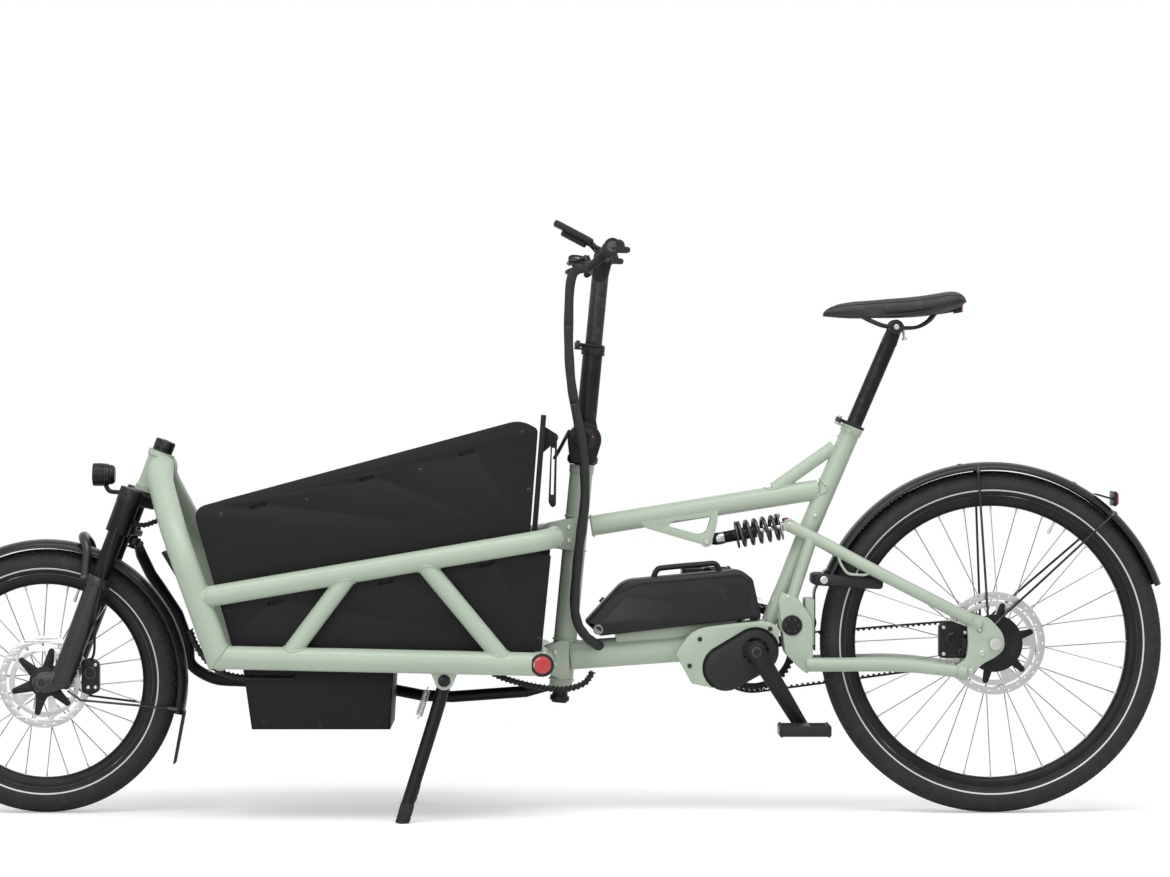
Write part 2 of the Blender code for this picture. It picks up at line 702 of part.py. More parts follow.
def seat_tube():
    below = SEAT_TUBE_LENGTH
    main = lathed(SEAT_TUBE_TOP - below * SEAT_UP, SEAT_UP, [
        (0, 0.0155), (below - 0.340, 0.0158), (below - POST_BORE_DEPTH, SEAT_TUBE_RADIUS),
        (below - 0.012, SEAT_TUBE_RADIUS), (below - 0.012, 0.0215), (below, 0.0215),
        (below, SEAT_POST_RADIUS + GAP), (below - POST_BORE_DEPTH, SEAT_POST_RADIUS + GAP),
    ], 12)
    foot = SEAT_TUBE_TOP - SEAT_TUBE_LENGTH * SEAT_UP
    lug_out = Vector((0, PLATE_SPREAD - PLATE_THICKNESS / 2 - RUNNING, 0))
    strut = rod(STRUT_FOOT, STRUT_HEAD, STRUT_RADIUS, 10)
    cut(
        strut,
        tube([TOP_TUBE_START, TOP_TUBE_END + Vector((0.06, 0, 0.0096))], TOP_TUBE_RADIUS + GAP, 12),
        rod(SEAT_TUBE_TOP - 0.100 * SEAT_UP, SEAT_TUBE_TOP, SEAT_POST_RADIUS + 0.0012, 12),
    )
    join(
        main,
        strut,
        plate(strap(flat(PIVOT), flat(foot + 0.042 * SEAT_UP), 0.0205, 0.0140, 4), 0.026, side_on()),
        rod(PIVOT - lug_out, PIVOT + lug_out, LUG_RADIUS, 12),
        *clamp_pin(SEAT_TUBE_TOP - 0.005 * SEAT_UP, SEAT_UP),
    )
    pin_out = Vector((0, 0.08, 0))
    cut(main, rod(PIVOT - pin_out, PIVOT + pin_out, PIVOT_PIN_RADIUS + RUNNING, 12))
    return piece(main, "seat_tube", SAGE, frame)


# Cargo box: the tub that holds floor, footwell and front board

PANEL_THICKNESS = 0.010
PANEL_INNER = RAIL_SPREAD - LOWER_RAIL_RADIUS - GAP - PANEL_THICKNESS
FLOOR_TOP = 0.332
FLOOR_BOTTOM = 0.322
REAR_PANEL_FOOT = -0.0300
FLOOR_REAR = REAR_PANEL_FOOT - GAP
WELL_WALL = 0.004
WELL_HALF = 0.125
WELL_RIM = ((-0.575, FLOOR_TOP), (-0.552, 0.172), (-0.285, 0.172), (-0.276, FLOOR_TOP))


def cargo_tub():
    half = PANEL_INNER - GAP
    floor = plate(
        [(-0.574, FLOOR_BOTTOM), (FLOOR_REAR, FLOOR_BOTTOM), (FLOOR_REAR, FLOOR_TOP), (-0.577, FLOOR_TOP)],
        2 * half, side_on(),
    )
    board = plate(
        [(-0.5790, 0.3220), (-0.5690, 0.3220), (-0.6430, 0.5900), (-0.6520, 0.5880)], 2 * half - 0.001, side_on()
    )
    well = plate([(x, z - 0.001) for x, z in WELL_RIM], 2 * WELL_HALF, side_on())
    join(floor, well, board)
    inside = [
        (WELL_RIM[0][0] + WELL_WALL, FLOOR_TOP + 0.010), (WELL_RIM[1][0] + WELL_WALL, WELL_RIM[1][1] + WELL_WALL),
        (WELL_RIM[2][0] - WELL_WALL, WELL_RIM[2][1] + WELL_WALL), (WELL_RIM[3][0] - WELL_WALL, FLOOR_TOP + 0.010),
    ]
    hollow = plate(inside, 2 * (WELL_HALF - WELL_WALL), side_on())
    keep = plate(
        [(-0.5690, 0.3200), (-0.5690 - 0.0066, 0.3450), (-0.600, 0.3450), (-0.600, 0.3200)], 0.4, side_on()
    )
    cut(hollow, keep)
    cut(floor, hollow)
    return piece(floor, "cargo_tub", BOARD, frame)


SIDE_OUTLINE = (
    (-0.5800, 0.3180, 0), (-0.5870, 0.3430, 0.006), (-0.6610, 0.6000, 0.028), (-0.0344, 0.7690, 0.024),
    (0.0000, 0.7497, 0.008), (-0.0155, 0.5460, 0), (-0.0155, 0.5160, 0), (0.0249, 0.5100, 0.003),
    (0.0069, 0.3290, 0), (0.0050, 0.3270, 0), (-0.0060, 0.3270, 0), (-0.0090, 0.3180, 0),
)
SLOTS = (
    (-0.5347, 0.6043), (-0.3277, 0.6567), (-0.1366, 0.7057),
    (-0.5020, 0.4206), (-0.2902, 0.4600), (-0.0970, 0.4943),
)


def side_panel(side, label):
    lean = Vector((0.0097, 0.0025))
    slots = [strap(tuple(Vector(at) - lean), tuple(Vector(at) + lean), 0.0032, 0.0031, 2) for at in SLOTS]
    y = side * (PANEL_INNER + PANEL_THICKNESS / 2)
    return piece(plate(soft(SIDE_OUTLINE), PANEL_THICKNESS, side_on(y), slots), f"side_panel_{label}", BOARD, frame)


REAR_PANEL = ((REAR_PANEL_FOOT + PANEL_THICKNESS, FLOOR_BOTTOM), (0.0160, 0.7780), (0.0060, 0.7787),
              (REAR_PANEL_FOOT, FLOOR_BOTTOM))
PARK_PIVOT = Vector((0.0300, -0.1425, 0.7350))
PARK_WIDTH = 0.012
PARK_PIN_RADIUS = 0.004


def rear_panel():
    panel = plate(REAR_PANEL, 2 * (PANEL_INNER - GAP), side_on())
    ear = [(0.004, 0.762), (0.010, 0.706), *arc(flat(PARK_PIVOT), 0.009, -60, 60, 4)]
    for side in (-1, 1):
        y = PARK_PIVOT.y + side * (PARK_WIDTH / 2 + GAP + 0.002)
        join(panel, plate(ear, 0.004, side_on(y)))
    pin_out = Vector((0, PARK_WIDTH / 2 + 0.005, 0))
    join(panel, rod(PARK_PIVOT - pin_out, PARK_PIVOT + pin_out, PARK_PIN_RADIUS, 10))
    return piece(panel, "rear_panel", BOARD, frame)


def parking_brake_lever():
    half = Vector((0, PARK_WIDTH / 2, 0))
    point = axis_point("parking_brake_point", PARK_PIVOT, frame)
    eye = rod(PARK_PIVOT - half, PARK_PIVOT + half, 0.0085, 12)
    blade = plate(
        [(0.0250, 0.7340), (0.0200, 0.6100), (0.0270, 0.6000), (0.0345, 0.6040), (0.0370, 0.7340)],
        PARK_WIDTH - 0.002, side_on(PARK_PIVOT.y),
    )
    join(eye, blade)
    cut(eye, rod(PARK_PIVOT - 3 * half, PARK_PIVOT + 3 * half, PARK_PIN_RADIUS + RUNNING / 2, 12))
    return piece(eye, "parking_brake_lever", BLACK, point)


# Battery, motor, and the sleeve that carries the cables down from the handlebar

BATTERY_HALF = 0.048
BATTERY_OUTLINE = (
    (0.0916, 0.3745, 0.004), (0.1669, 0.4553, 0.020), (0.3958, 0.4766, 0.016), (0.4192, 0.4584, 0.006),
    (0.4355, 0.3826, 0.006), (0.4056, 0.3804, 0.004), (0.1209, 0.3472, 0.004),
)


def battery():
    case = plate(soft(BATTERY_OUTLINE), 2 * BATTERY_HALF, side_on())
    rounding = case.modifiers.new("Bevel", "BEVEL")
    rounding.width = 0.006
    rounding.segments = 1
    rounding.limit_method = "ANGLE"
    rounding.angle_limit = math.radians(60)
    return piece(case, "battery", BLACK, frame)


def motor_unit():
    near, far = MOTOR_RADII
    case = plate(strap(*MOTOR_ENDS, near, far, 8), 2 * MOTOR_HALF, side_on())
    out = Vector((0, MOTOR_HALF + 0.02, 0))
    cut(case, rod(CRANK_AXIS - out, CRANK_AXIS + out, SPINDLE_RADIUS + RUNNING, 12))
    return piece(case, "motor_unit", BLACK, frame)


def cable_sleeve():
    return piece(tube(SLEEVE_ROUTE, SLEEVE_RADIUS, 8), "cable_sleeve", BLACK, frame)


front_yoke()
upper_rail()
for side, label in SIDES:
    side_truss(side, label)
    side_panel(side, label)
steering_tube()
down_tube()
top_tube()
seat_tube()
clamp_lever(
    "seat_clamp_lever", SEAT_TUBE_TOP - 0.005 * SEAT_UP, SEAT_UP,
    axis_point("seat_clamp_point", SEAT_TUBE_TOP - 0.005 * SEAT_UP + CLAMP_REACH * Vector((-SEAT_UP.z, 0, SEAT_UP.x)),
               frame),
)
cargo_tub()
rear_panel()
parking_brake_lever()
battery()
motor_unit()
cable_sleeve()


# Swingarm: two sides, the bridge between them, and the pivot's axle

PIVOT_PLATE = (
    (0.4748, 0.4343), (0.4676, 0.4163), (0.4774, 0.3495), (0.4813, 0.3135), (0.5144, 0.2800),
    (0.5260, 0.2743), (0.5352, 0.3008), (0.5352, 0.3788), (0.5085, 0.4200),
)
UPPER_STAY = (
    (SHOCK_REAR.x, 0.027, SHOCK_REAR.z), (0.5250, 0.0335, 0.5450), (0.5600, 0.0430, 0.5270),
    (0.6000, 0.0560, 0.5050), (0.6600, 0.0700, 0.4730), (0.7400, 0.0795, 0.4320), (0.8590, 0.0820, 0.3710),
)
UPPER_STAY_RADIUS = 0.012
LOWER_STAY = (
    (0.5240, 0.0460, 0.2920), (0.5800, 0.0500, 0.2920), (0.6400, 0.0580, 0.2930), (0.7000, 0.0710, 0.2930),
    (0.7600, 0.0820, 0.2880), (0.8300, 0.0822, 0.2790),
)
LOWER_STAY_RADIUS = 0.0138
LOWER_STAY_TAPER = (1, 1, 1, 0.97, 0.91, 0.87)
DROPOUT = (
    (0.8450, 0.3920, 0.008), (0.8740, 0.3860, 0.010), (0.9020, 0.3560, 0.014), (0.9060, 0.3250, 0.014),
    (0.8860, 0.3080, 0.010), (0.8620, 0.2960, 0.010), (0.8300, 0.2640, 0.008), (0.8080, 0.2680, 0.006),
    (0.8080, 0.2900, 0.006), (0.8300, 0.3060, 0.008), (0.8340, 0.3350, 0.008), (0.8320, 0.3700, 0.006),
)
DROPOUT_INNER = 0.0743
DROPOUT_THICKNESS = 0.0137
REAR_AXLE_RADIUS = 0.0075
BRIDGE_FRONT = 0.521
BRIDGE_REAR = 0.5392
BRIDGE_HEIGHTS = (0.330, 0.420)
SHOCK_BOSS_INNER = 0.0135
IDLER_PIN_RADIUS = 0.005
PIVOT_HALF = 0.060
PIVOT_HEAD_RADIUS = 0.020


def swingarm_side(side, label):
    arm = plate(PIVOT_PLATE, PLATE_THICKNESS, side_on(side * PLATE_SPREAD))
    strut = [Vector((0.4940, side * 0.0385, 0.4170)), Vector((0.5330, side * 0.0370, 0.5360))]
    upper = [across(place, side) for place in UPPER_STAY]
    lower = [across(place, side) for place in LOWER_STAY]
    boss = [SHOCK_REAR + Vector((0, side * y, 0)) for y in (SHOCK_BOSS_INNER, 0.031)]
    join(
        arm,
        tube(strut, 0.0115, 8),
        tube(upper, UPPER_STAY_RADIUS, 8),
        tube(lower, LOWER_STAY_RADIUS, 8, LOWER_STAY_TAPER),
        plate(soft(DROPOUT, 2), DROPOUT_THICKNESS, side_on(side * (DROPOUT_INNER + DROPOUT_THICKNESS / 2))),
        rod(*boss, 0.0128, 10),
    )
    if side > 0:
        pin = [SHOCK_REAR + Vector((0, y, 0)) for y in (-SHOCK_BOSS_INNER + GAP, SHOCK_BOSS_INNER + 0.005)]
        idler_pin = [IDLER + Vector((0, y, 0)) for y in (PLATE_SPREAD, BELT_LINE + 0.009)]
        join(arm, rod(*pin, SHOCK_PIN_RADIUS, 8), rod(*idler_pin, IDLER_PIN_RADIUS, 10))
    axle_out = Vector((0, side * 0.10, 0))
    pivot_out = Vector((0, side * 0.08, 0))
    cut(
        arm,
        rod(REAR_AXLE + 0.5 * axle_out, REAR_AXLE + axle_out, REAR_AXLE_RADIUS + GAP, 12),
        rod(PIVOT + 0.2 * pivot_out, PIVOT + pivot_out, PIVOT_PIN_RADIUS + RUNNING, 12),
    )
    return piece(arm, f"swingarm_{label}", SAGE, swingarm)


def swingarm_yoke():
    low, high = BRIDGE_HEIGHTS
    half = PLATE_SPREAD - PLATE_THICKNESS / 2 - GAP
    outline = [(BRIDGE_FRONT, low), (BRIDGE_REAR, low), (BRIDGE_REAR, high), (BRIDGE_FRONT, high)]
    bridge = plate(outline, 2 * half, side_on())
    window = Matrix.Translation((0.53, 0, 0.372))
    cut(bridge, block((0.05, 0.040, 0.040), window, 0.008))
    return piece(bridge, "swingarm_yoke", SAGE, swingarm)


def pivot_axle():
    heads = PLATE_SPREAD + PLATE_THICKNESS / 2 + GAP
    axle = lathed(PIVOT - Vector((0, PIVOT_HALF - 0.004, 0)), Vector((0, 1, 0)), [
        (0, PIVOT_HEAD_RADIUS - 0.004),
        (0.002, PIVOT_HEAD_RADIUS),
        (PIVOT_HALF - 0.004 - heads, PIVOT_HEAD_RADIUS),
        (PIVOT_HALF - 0.004 - heads, PIVOT_PIN_RADIUS),
        (PIVOT_HALF - 0.004 + heads, PIVOT_PIN_RADIUS),
        (PIVOT_HALF - 0.004 + heads, PIVOT_HEAD_RADIUS - 0.006),
        (PIVOT_HALF - 0.004 + heads + 0.0025, PIVOT_HEAD_RADIUS - 0.006),
    ], 12)
    return piece(axle, "pivot_axle", BLACK, swingarm)


# Wheels

SPOKE_RADIUS = 0.0012


def wheel_ring(centre, profile, steps):
    """A ring about a wheel's axle from a closed profile of (radius, y)."""
    return turned(profile, facing(centre, Vector((0, 1, 0))), steps, ring=True)


def tyre(name, centre, outer, bead, width, steps, carrier):
    half = width / 2
    depth = outer - bead
    side = [(outer, 0), (outer - 0.08 * depth, 0.52), (outer - 0.38 * depth, 0.94), (outer - 0.62 * depth, 1.0),
            (bead, 0.50)]
    profile = [(radius, half * share) for radius, share in reversed(side)]
    profile += [(radius, -half * share) for radius, share in side[1:]]
    return piece(wheel_ring(centre, profile, steps), name, RUBBER, carrier)


def rim(name, centre, bead, depth, steps, carrier):
    outer = bead - GAP
    half = 0.015
    profile = [
        (outer, half), (outer, -half), (outer - 0.6 * depth, -half + 0.001), (outer - depth, -0.007),
        (outer - depth, 0.007), (outer - 0.6 * depth, half - 0.001),
    ]
    return piece(wheel_ring(centre, profile, steps), name, BLACK, carrier)


def spokes(centre, count, hub_radius, rim_radius, hub_y, rim_y, lean):
    """Thin three-sided rods from two flanges to the rim; those of one flange all lean one way."""
    shape = bmesh.new()
    for number in range(count):
        side = 1 if number % 2 else -1
        angle = 2 * math.pi * number / count
        ends = []
        for radius, y, turn in ((hub_radius, hub_y, side * lean), (rim_radius, rim_y, 0)):
            ends.append(centre + Vector((radius * math.cos(angle + turn), side * y, radius * math.sin(angle + turn))))
        place = facing(ends[0], ends[1] - ends[0])
        length = (ends[1] - ends[0]).length
        rings = []
        for height in (0, length):
            corners = circle((0, 0), SPOKE_RADIUS, 3)
            rings.append([shape.verts.new(place @ Vector((x, y, height))) for x, y in corners])
        near, far = rings
        shape.faces.new(near)
        shape.faces.new(far)
        for corner in range(3):
            after = (corner + 1) % 3
            shape.faces.new((near[corner], near[after], far[after], far[corner]))
    bmesh.ops.recalc_face_normals(shape, faces=shape.faces)
    mesh = bpy.data.meshes.new("spokes")
    shape.to_mesh(mesh)
    shape.free()
    return bpy.data.objects.new("spokes", mesh)


REAR_RIM_DEPTH = 0.0212
REAR_HUB_BORE = 0.008
REAR_FLANGE_RADIUS = 0.048
REAR_FLANGE_SPREAD = 0.030
STUB_RADIUS = 0.020
ROTOR_THICKNESS = 0.002
REAR_ROTOR_Y = -0.059
REAR_ROTOR_RADIUS = 0.100
FRONT_RIM_DEPTH = 0.0212
FRONT_FLANGE_RADIUS = 0.029
FRONT_FLANGE_SPREAD = 0.026
FRONT_ROTOR_Y = -0.035
FRONT_ROTOR_RADIUS = 0.090
FRONT_AXLE_RADIUS = 0.0075


def hub(name, centre, profile, bore, carrier, wires):
    body = lathed(centre, Vector((0, 1, 0)), profile, 12)
    join(body, wires)
    out = Vector((0, 0.2, 0))
    cut(body, rod(centre - out, centre + out, bore, 12))
    return piece(body, name, BLACK, carrier)


def rotor(name, centre, y, radius, arms, ring_radius, carrier):
    """A brake disc: track, arms, and the toothed ring that a speed sensor reads."""
    middle = (centre.x, centre.z)
    windows = []
    for number in range(arms):
        first = 360 / arms * number
        for inner, outer, turn, wide in (
            (0.030, ring_radius - 0.004, 14, 360 / arms - 20),
            (ring_radius + 0.0065, radius - 0.013, 4, 360 / arms - 9),
        ):
            near = arc(middle, inner, first + turn, first + turn + wide, 2)
            far = arc(middle, outer, first + turn + wide, first + turn, 2)
            windows.append(near + far)
    windows.append(circle(middle, STUB_RADIUS + GAP, 12))
    disc = plate(circle(middle, radius, 25), ROTOR_THICKNESS, side_on(y), windows)
    return piece(disc, name, STEEL, carrier)


def rear_hub():
    flange = REAR_FLANGE_SPREAD
    profile = [
        (REAR_ROTOR_Y - 0.0015, STUB_RADIUS), (-flange - 0.004, STUB_RADIUS), (-flange - 0.003, REAR_FLANGE_RADIUS),
        (-flange + 0.003, REAR_FLANGE_RADIUS), (-flange + 0.004, 0.040), (flange - 0.004, 0.040),
        (flange - 0.003, REAR_FLANGE_RADIUS), (flange + 0.003, REAR_FLANGE_RADIUS), (flange + 0.004, STUB_RADIUS),
        (BELT_LINE + 0.0065, STUB_RADIUS),
    ]
    reach = REAR_BEAD_RADIUS - GAP - REAR_RIM_DEPTH - 0.0008
    wires = spokes(REAR_AXLE, 32, REAR_FLANGE_RADIUS - 0.003, reach, REAR_FLANGE_SPREAD, 0.003, 0.30)
    return hub("rear_hub", REAR_AXLE, profile, REAR_HUB_BORE, rear_wheel, wires)


def front_hub():
    flange = FRONT_FLANGE_SPREAD
    profile = [
        (-0.0495, 0.014), (-0.0365, 0.014), (-0.0365, STUB_RADIUS), (-flange - 0.004, STUB_RADIUS),
        (-flange - 0.003, FRONT_FLANGE_RADIUS), (-flange + 0.002, FRONT_FLANGE_RADIUS), (-flange + 0.004, 0.018),
        (flange - 0.004, 0.018), (flange - 0.002, FRONT_FLANGE_RADIUS), (flange + 0.003, FRONT_FLANGE_RADIUS),
        (flange + 0.004, 0.014), (0.0495, 0.014),
    ]
    reach = FRONT_BEAD_RADIUS - GAP - FRONT_RIM_DEPTH - 0.0008
    wires = spokes(FRONT_AXLE, 28, FRONT_FLANGE_RADIUS - 0.003, reach, FRONT_FLANGE_SPREAD, 0.003, 0.55)
    return hub("front_hub", FRONT_AXLE, profile, FRONT_AXLE_RADIUS + RUNNING, front_wheel, wires)


def rear_axle():
    inner, outer = DROPOUT_INNER - GAP, DROPOUT_INNER + DROPOUT_THICKNESS + GAP
    left_hub, right_hub = REAR_ROTOR_Y - 0.0015 - RUNNING, BELT_LINE + 0.0065 + RUNNING
    start = -0.096
    profile = [
        (0, 0.012), (-outer - start, 0.012), (-outer - start, REAR_AXLE_RADIUS),
        (-inner - start, REAR_AXLE_RADIUS), (-inner - start, 0.014), (left_hub - start, 0.014),
        (left_hub - start, REAR_AXLE_RADIUS), (right_hub - start, REAR_AXLE_RADIUS),
        (right_hub - start, 0.014), (inner - start, 0.014), (inner - start, REAR_AXLE_RADIUS),
        (outer - start, REAR_AXLE_RADIUS), (outer - start, 0.012), (0.096 - start, 0.012),
    ]
    axle = lathed(REAR_AXLE + Vector((0, start, 0)), Vector((0, 1, 0)), profile, 12)
    return piece(axle, "rear_axle", STEEL, swingarm)


def rear_caliper():
    low, high = 0.305, 0.380
    outline = [(0.7790, low, 0.008), (0.8370, low, 0.006), (0.8370, high - 0.014, 0.006), (0.7960, high, 0.008),
               (0.7790, high - 0.010, 0.006)]
    body = plate(soft(outline), 0.0205, side_on(-0.05575))
    lug = plate([(0.822, 0.312), (0.850, 0.312), (0.850, 0.345), (0.822, 0.345)], 0.0128, side_on(-0.0676))
    join(body, lug)
    slot = 0.002
    edge = Vector((0, slot, 0))
    middle = REAR_AXLE + Vector((0, REAR_ROTOR_Y, 0))
    cut(body, rod(middle - edge, middle + edge, REAR_ROTOR_RADIUS + 0.0020, 32))
    return piece(body, "rear_caliper", BLACK, swingarm)


def fender_skin(centre, outer, skirt, half, start, end, steps):
    """A thin gutter bent round a wheel, from one angle to another in degrees."""
    wall = 0.002
    rise = outer - skirt
    across_top = ((skirt, 1), (skirt + 0.60 * rise, 0.93), (outer, 0.45))
    section = [(radius, -half * share) for radius, share in across_top]
    section += [(radius, half * share) for radius, share in reversed(across_top)]
    inside = [(radius, (abs(y) - wall) * math.copysign(1, y)) for radius, y in section]
    inside = [(radius - (wall if abs(y) < 0.85 * half else 0), y) for radius, y in inside]
    ring = section + inside[::-1]
    sections = []
    for angle in (math.radians(start + (end - start) * step / steps) for step in range(steps + 1)):
        sections.append([
            centre + Vector((radius * math.cos(angle), y, radius * math.sin(angle))) for radius, y in ring
        ])
    return loft(sections)


REAR_FENDER_HALF = 0.031
GUARD_FRONT = 0.5395
FENDER_STAY_RADIUS = 0.0025
STAY_FOOT = DROPOUT_INNER - FENDER_STAY_RADIUS
FENDER_STAYS = (
    ((0.8745, STAY_FOOT, 0.3790), (0.8740, 0.0715, 0.3860), (0.8600, 0.0310, 0.6640), (0.8600, 0.0290, 0.6800)),
    ((0.8880, STAY_FOOT, 0.3720), (0.9000, 0.0715, 0.3850), (0.9650, 0.0660, 0.4430), (1.1190, 0.0310, 0.5800),
     (1.1290, 0.0285, 0.5880)),
)


def rear_fender():
    skin = fender_skin(REAR_AXLE, 0.352, 0.337, REAR_FENDER_HALF, 18.9, 157.2, 12)
    guard = [
        (GUARD_FRONT, 0.318), (GUARD_FRONT, 0.436), (0.5600, 0.4740), (0.5700, 0.4780), (0.5720, 0.4740),
        (0.5630, 0.4710), (GUARD_FRONT + 0.0025, 0.4345), (GUARD_FRONT + 0.0025, 0.318),
    ]
    join(skin, plate(guard, 0.050, side_on()))
    for side, _ in SIDES:
        for route in FENDER_STAYS:
            join(skin, tube([across(place, side) for place in route], FENDER_STAY_RADIUS, 6))
    return piece(skin, "rear_fender", BLACK, swingarm)


# Shock

SHOCK_LINE = (SHOCK_REAR - SHOCK_FRONT).normalized()
SHOCK_LENGTH = (SHOCK_REAR - SHOCK_FRONT).length
SHOCK_BODY_RADIUS = 0.012
SHOCK_SHAFT_RADIUS = 0.005
SPRING_START = 0.0636
SPRING_END = 0.1470
SPRING_RADIUS = 0.02325
SPRING_WIRE = 0.0075
SPRING_TURNS = 5.25
SPRING_POINTS = 8
CUP_RADIUS = 0.027
CUP_THICKNESS = 0.004
SHAFT_START = 0.066
REAR_EYE_BORE = 0.0066


def along_shock(distance, y=0.0, up=0.0):
    rise = Vector((-SHOCK_LINE.z, 0, SHOCK_LINE.x))
    return SHOCK_FRONT + distance * SHOCK_LINE + Vector((0, y, 0)) + up * rise


def shock_body():
    half = Vector((0, SHOCK_EYE_WIDTH / 2, 0))
    seat = SPRING_START - GAP
    body = lathed(along_shock(0.008), SHOCK_LINE, [
        (0, SHOCK_BODY_RADIUS - 0.003), (0.006, SHOCK_BODY_RADIUS), (seat - CUP_THICKNESS - 0.008, SHOCK_BODY_RADIUS),
        (seat - CUP_THICKNESS - 0.008, CUP_RADIUS), (seat - 0.008, CUP_RADIUS), (seat - 0.008, SHOCK_BODY_RADIUS),
        (0.092, SHOCK_BODY_RADIUS), (0.092, SHOCK_SHAFT_RADIUS + GAP), (SHAFT_START - 0.050, SHOCK_SHAFT_RADIUS + GAP),
    ], 12)
    join(body, rod(SHOCK_FRONT - half, SHOCK_FRONT + half, SHOCK_EYE_RADIUS, 12))
    cut(body, rod(SHOCK_FRONT - 2 * half, SHOCK_FRONT + 2 * half, SHOCK_PIN_RADIUS + RUNNING / 2, 12))
    return piece(body, "shock_body", BLACK, shock)


def shock_shaft():
    half = Vector((0, SHOCK_EYE_WIDTH / 2, 0))
    cup = SPRING_END + GAP
    bar = lathed(along_shock(SHAFT_START), SHOCK_LINE, [
        (0, SHOCK_SHAFT_RADIUS), (cup - SHAFT_START, SHOCK_SHAFT_RADIUS), (cup - SHAFT_START, CUP_RADIUS),
        (cup + 0.003 - SHAFT_START, CUP_RADIUS), (cup + 0.004 - SHAFT_START, 0.009),
        (SHOCK_LENGTH - 0.008 - SHAFT_START, 0.009),
    ], 12)
    join(bar, rod(SHOCK_REAR - half, SHOCK_REAR + half, SHOCK_EYE_RADIUS + 0.0005, 12))
    cut(bar, rod(SHOCK_REAR - 2 * half, SHOCK_REAR + 2 * half, REAR_EYE_BORE, 12))
    return piece(bar, "shock_shaft", STEEL, shaft)


def shock_spring():
    """The coil as one tube: its ends lie flat against the cups, its middle climbs evenly."""
    count = round(SPRING_TURNS * SPRING_POINTS)
    first = SPRING_START + SPRING_WIRE / 2
    climb = SPRING_END - SPRING_START - SPRING_WIRE
    flat_turns = 0.35
    places = []
    for number in range(count + 1):
        turn = number / SPRING_POINTS
        share = min(max((turn - flat_turns) / (SPRING_TURNS - 2 * flat_turns), 0), 1)
        angle = 2 * math.pi * turn
        places.append(along_shock(first + climb * share, SPRING_RADIUS * math.cos(angle),
                                  SPRING_RADIUS * math.sin(angle)))
    gaps = [
        (far - near).length - SPRING_WIRE
        for index, near in enumerate(places) for far in places[index + SPRING_POINTS // 2:]
    ]
    print("least gap between two turns of the spring:", round(min(gaps) * 1000, 2), "mm")
    return piece(tube(places, SPRING_WIRE / 2, 6), "shock_spring", BLACK, shock)


# Belt drive: one pitch fits the whole loop, and each wheel takes its radius from it

BELT_BACK = 0.0022
BELT_LAND = -0.0012
BELT_TIP = -0.0046
TOOTH_BASE = 0.0060
GROOVE_EXTRA = 0.0012
GROOVE_DEPTH = 0.0008
LAND_RELIEF = 0.0005
IDLER_PITCH_RADIUS = IDLER_RADIUS + BELT_BACK + GAP


def belt_runs(pitch):
    """The loop as arcs and straights for this pitch, with where each begins along it."""
    wheels = (
        (Vector(flat(CRANK_AXIS)), CHAINRING_TEETH * pitch / (2 * math.pi)),
        (Vector(flat(REAR_AXLE)), SPROCKET_TEETH * pitch / (2 * math.pi)),
        (Vector(flat(IDLER)), -IDLER_PITCH_RADIUS),
    )
    lines = []
    for number, (centre, radius) in enumerate(wheels):
        other, other_radius = wheels[(number + 1) % 3]
        reach = other - centre
        heading = reach.normalized()
        lean = (radius - other_radius) / reach.length
        normal = lean * heading + math.sqrt(1 - lean ** 2) * Vector((heading.y, -heading.x))
        lines.append((centre + radius * normal, other + other_radius * normal, normal))
    runs = []
    start = 0
    for number, (centre, radius) in enumerate(wheels):
        arriving = lines[number - 1][2]
        leaving = lines[number][2]
        begin = math.atan2(arriving.y, arriving.x)
        sweep = math.atan2(leaving.y, leaving.x) - begin
        while sweep * radius < 0:
            sweep += math.copysign(2 * math.pi, radius)
        runs.append(("arc", start, start + abs(sweep * radius), centre, radius, begin))
        start += abs(sweep * radius)
        head, tail, normal = lines[number]
        runs.append(("line", start, start + (tail - head).length, head, tail, normal))
        start += (tail - head).length
    return runs, start


PITCH = 0.011
for attempt in range(60):
    PITCH = belt_runs(PITCH)[1] / BELT_TEETH
RUNS, LOOP = belt_runs(PITCH)
CHAINRING_RADIUS = CHAINRING_TEETH * PITCH / (2 * math.pi)
SPROCKET_RADIUS = SPROCKET_TEETH * PITCH / (2 * math.pi)
print("belt pitch", round(PITCH * 1000, 3), "mm, chainring radius", round(CHAINRING_RADIUS * 1000, 2), "mm")


def belt_point(distance, offset):
    """The place this far along the belt and this far outside its pitch line."""
    distance %= LOOP
    for kind, start, end, *rest in RUNS:
        if distance <= end:
            break
    if kind == "arc":
        centre, radius, begin = rest
        angle = begin + (distance - start) / radius
        out = Vector((math.cos(angle), math.sin(angle)))
        return tuple(centre + (radius + offset) * out)
    head, tail, normal = rest
    share = (distance - start) / (end - start)
    return tuple(head.lerp(tail, share) + offset * normal)


def drive_belt():
    back = []
    for kind, start, end, *_ in RUNS:
        steps = max(3, round((end - start) / PITCH / 1.5)) if kind == "arc" else 1
        back += [belt_point(start + (end - start) * step / steps, BELT_BACK) for step in range(steps)]
    teeth = []
    for number in range(BELT_TEETH):
        middle = number * PITCH
        for offset, height in ((-TOOTH_BASE / 2, BELT_LAND), (0, BELT_TIP), (TOOTH_BASE / 2, BELT_LAND)):
            teeth.append(belt_point(middle + offset, height))
    return piece(plate(back, BELT_WIDTH, side_on(BELT_LINE), [teeth]), "drive_belt", RUBBER, frame)


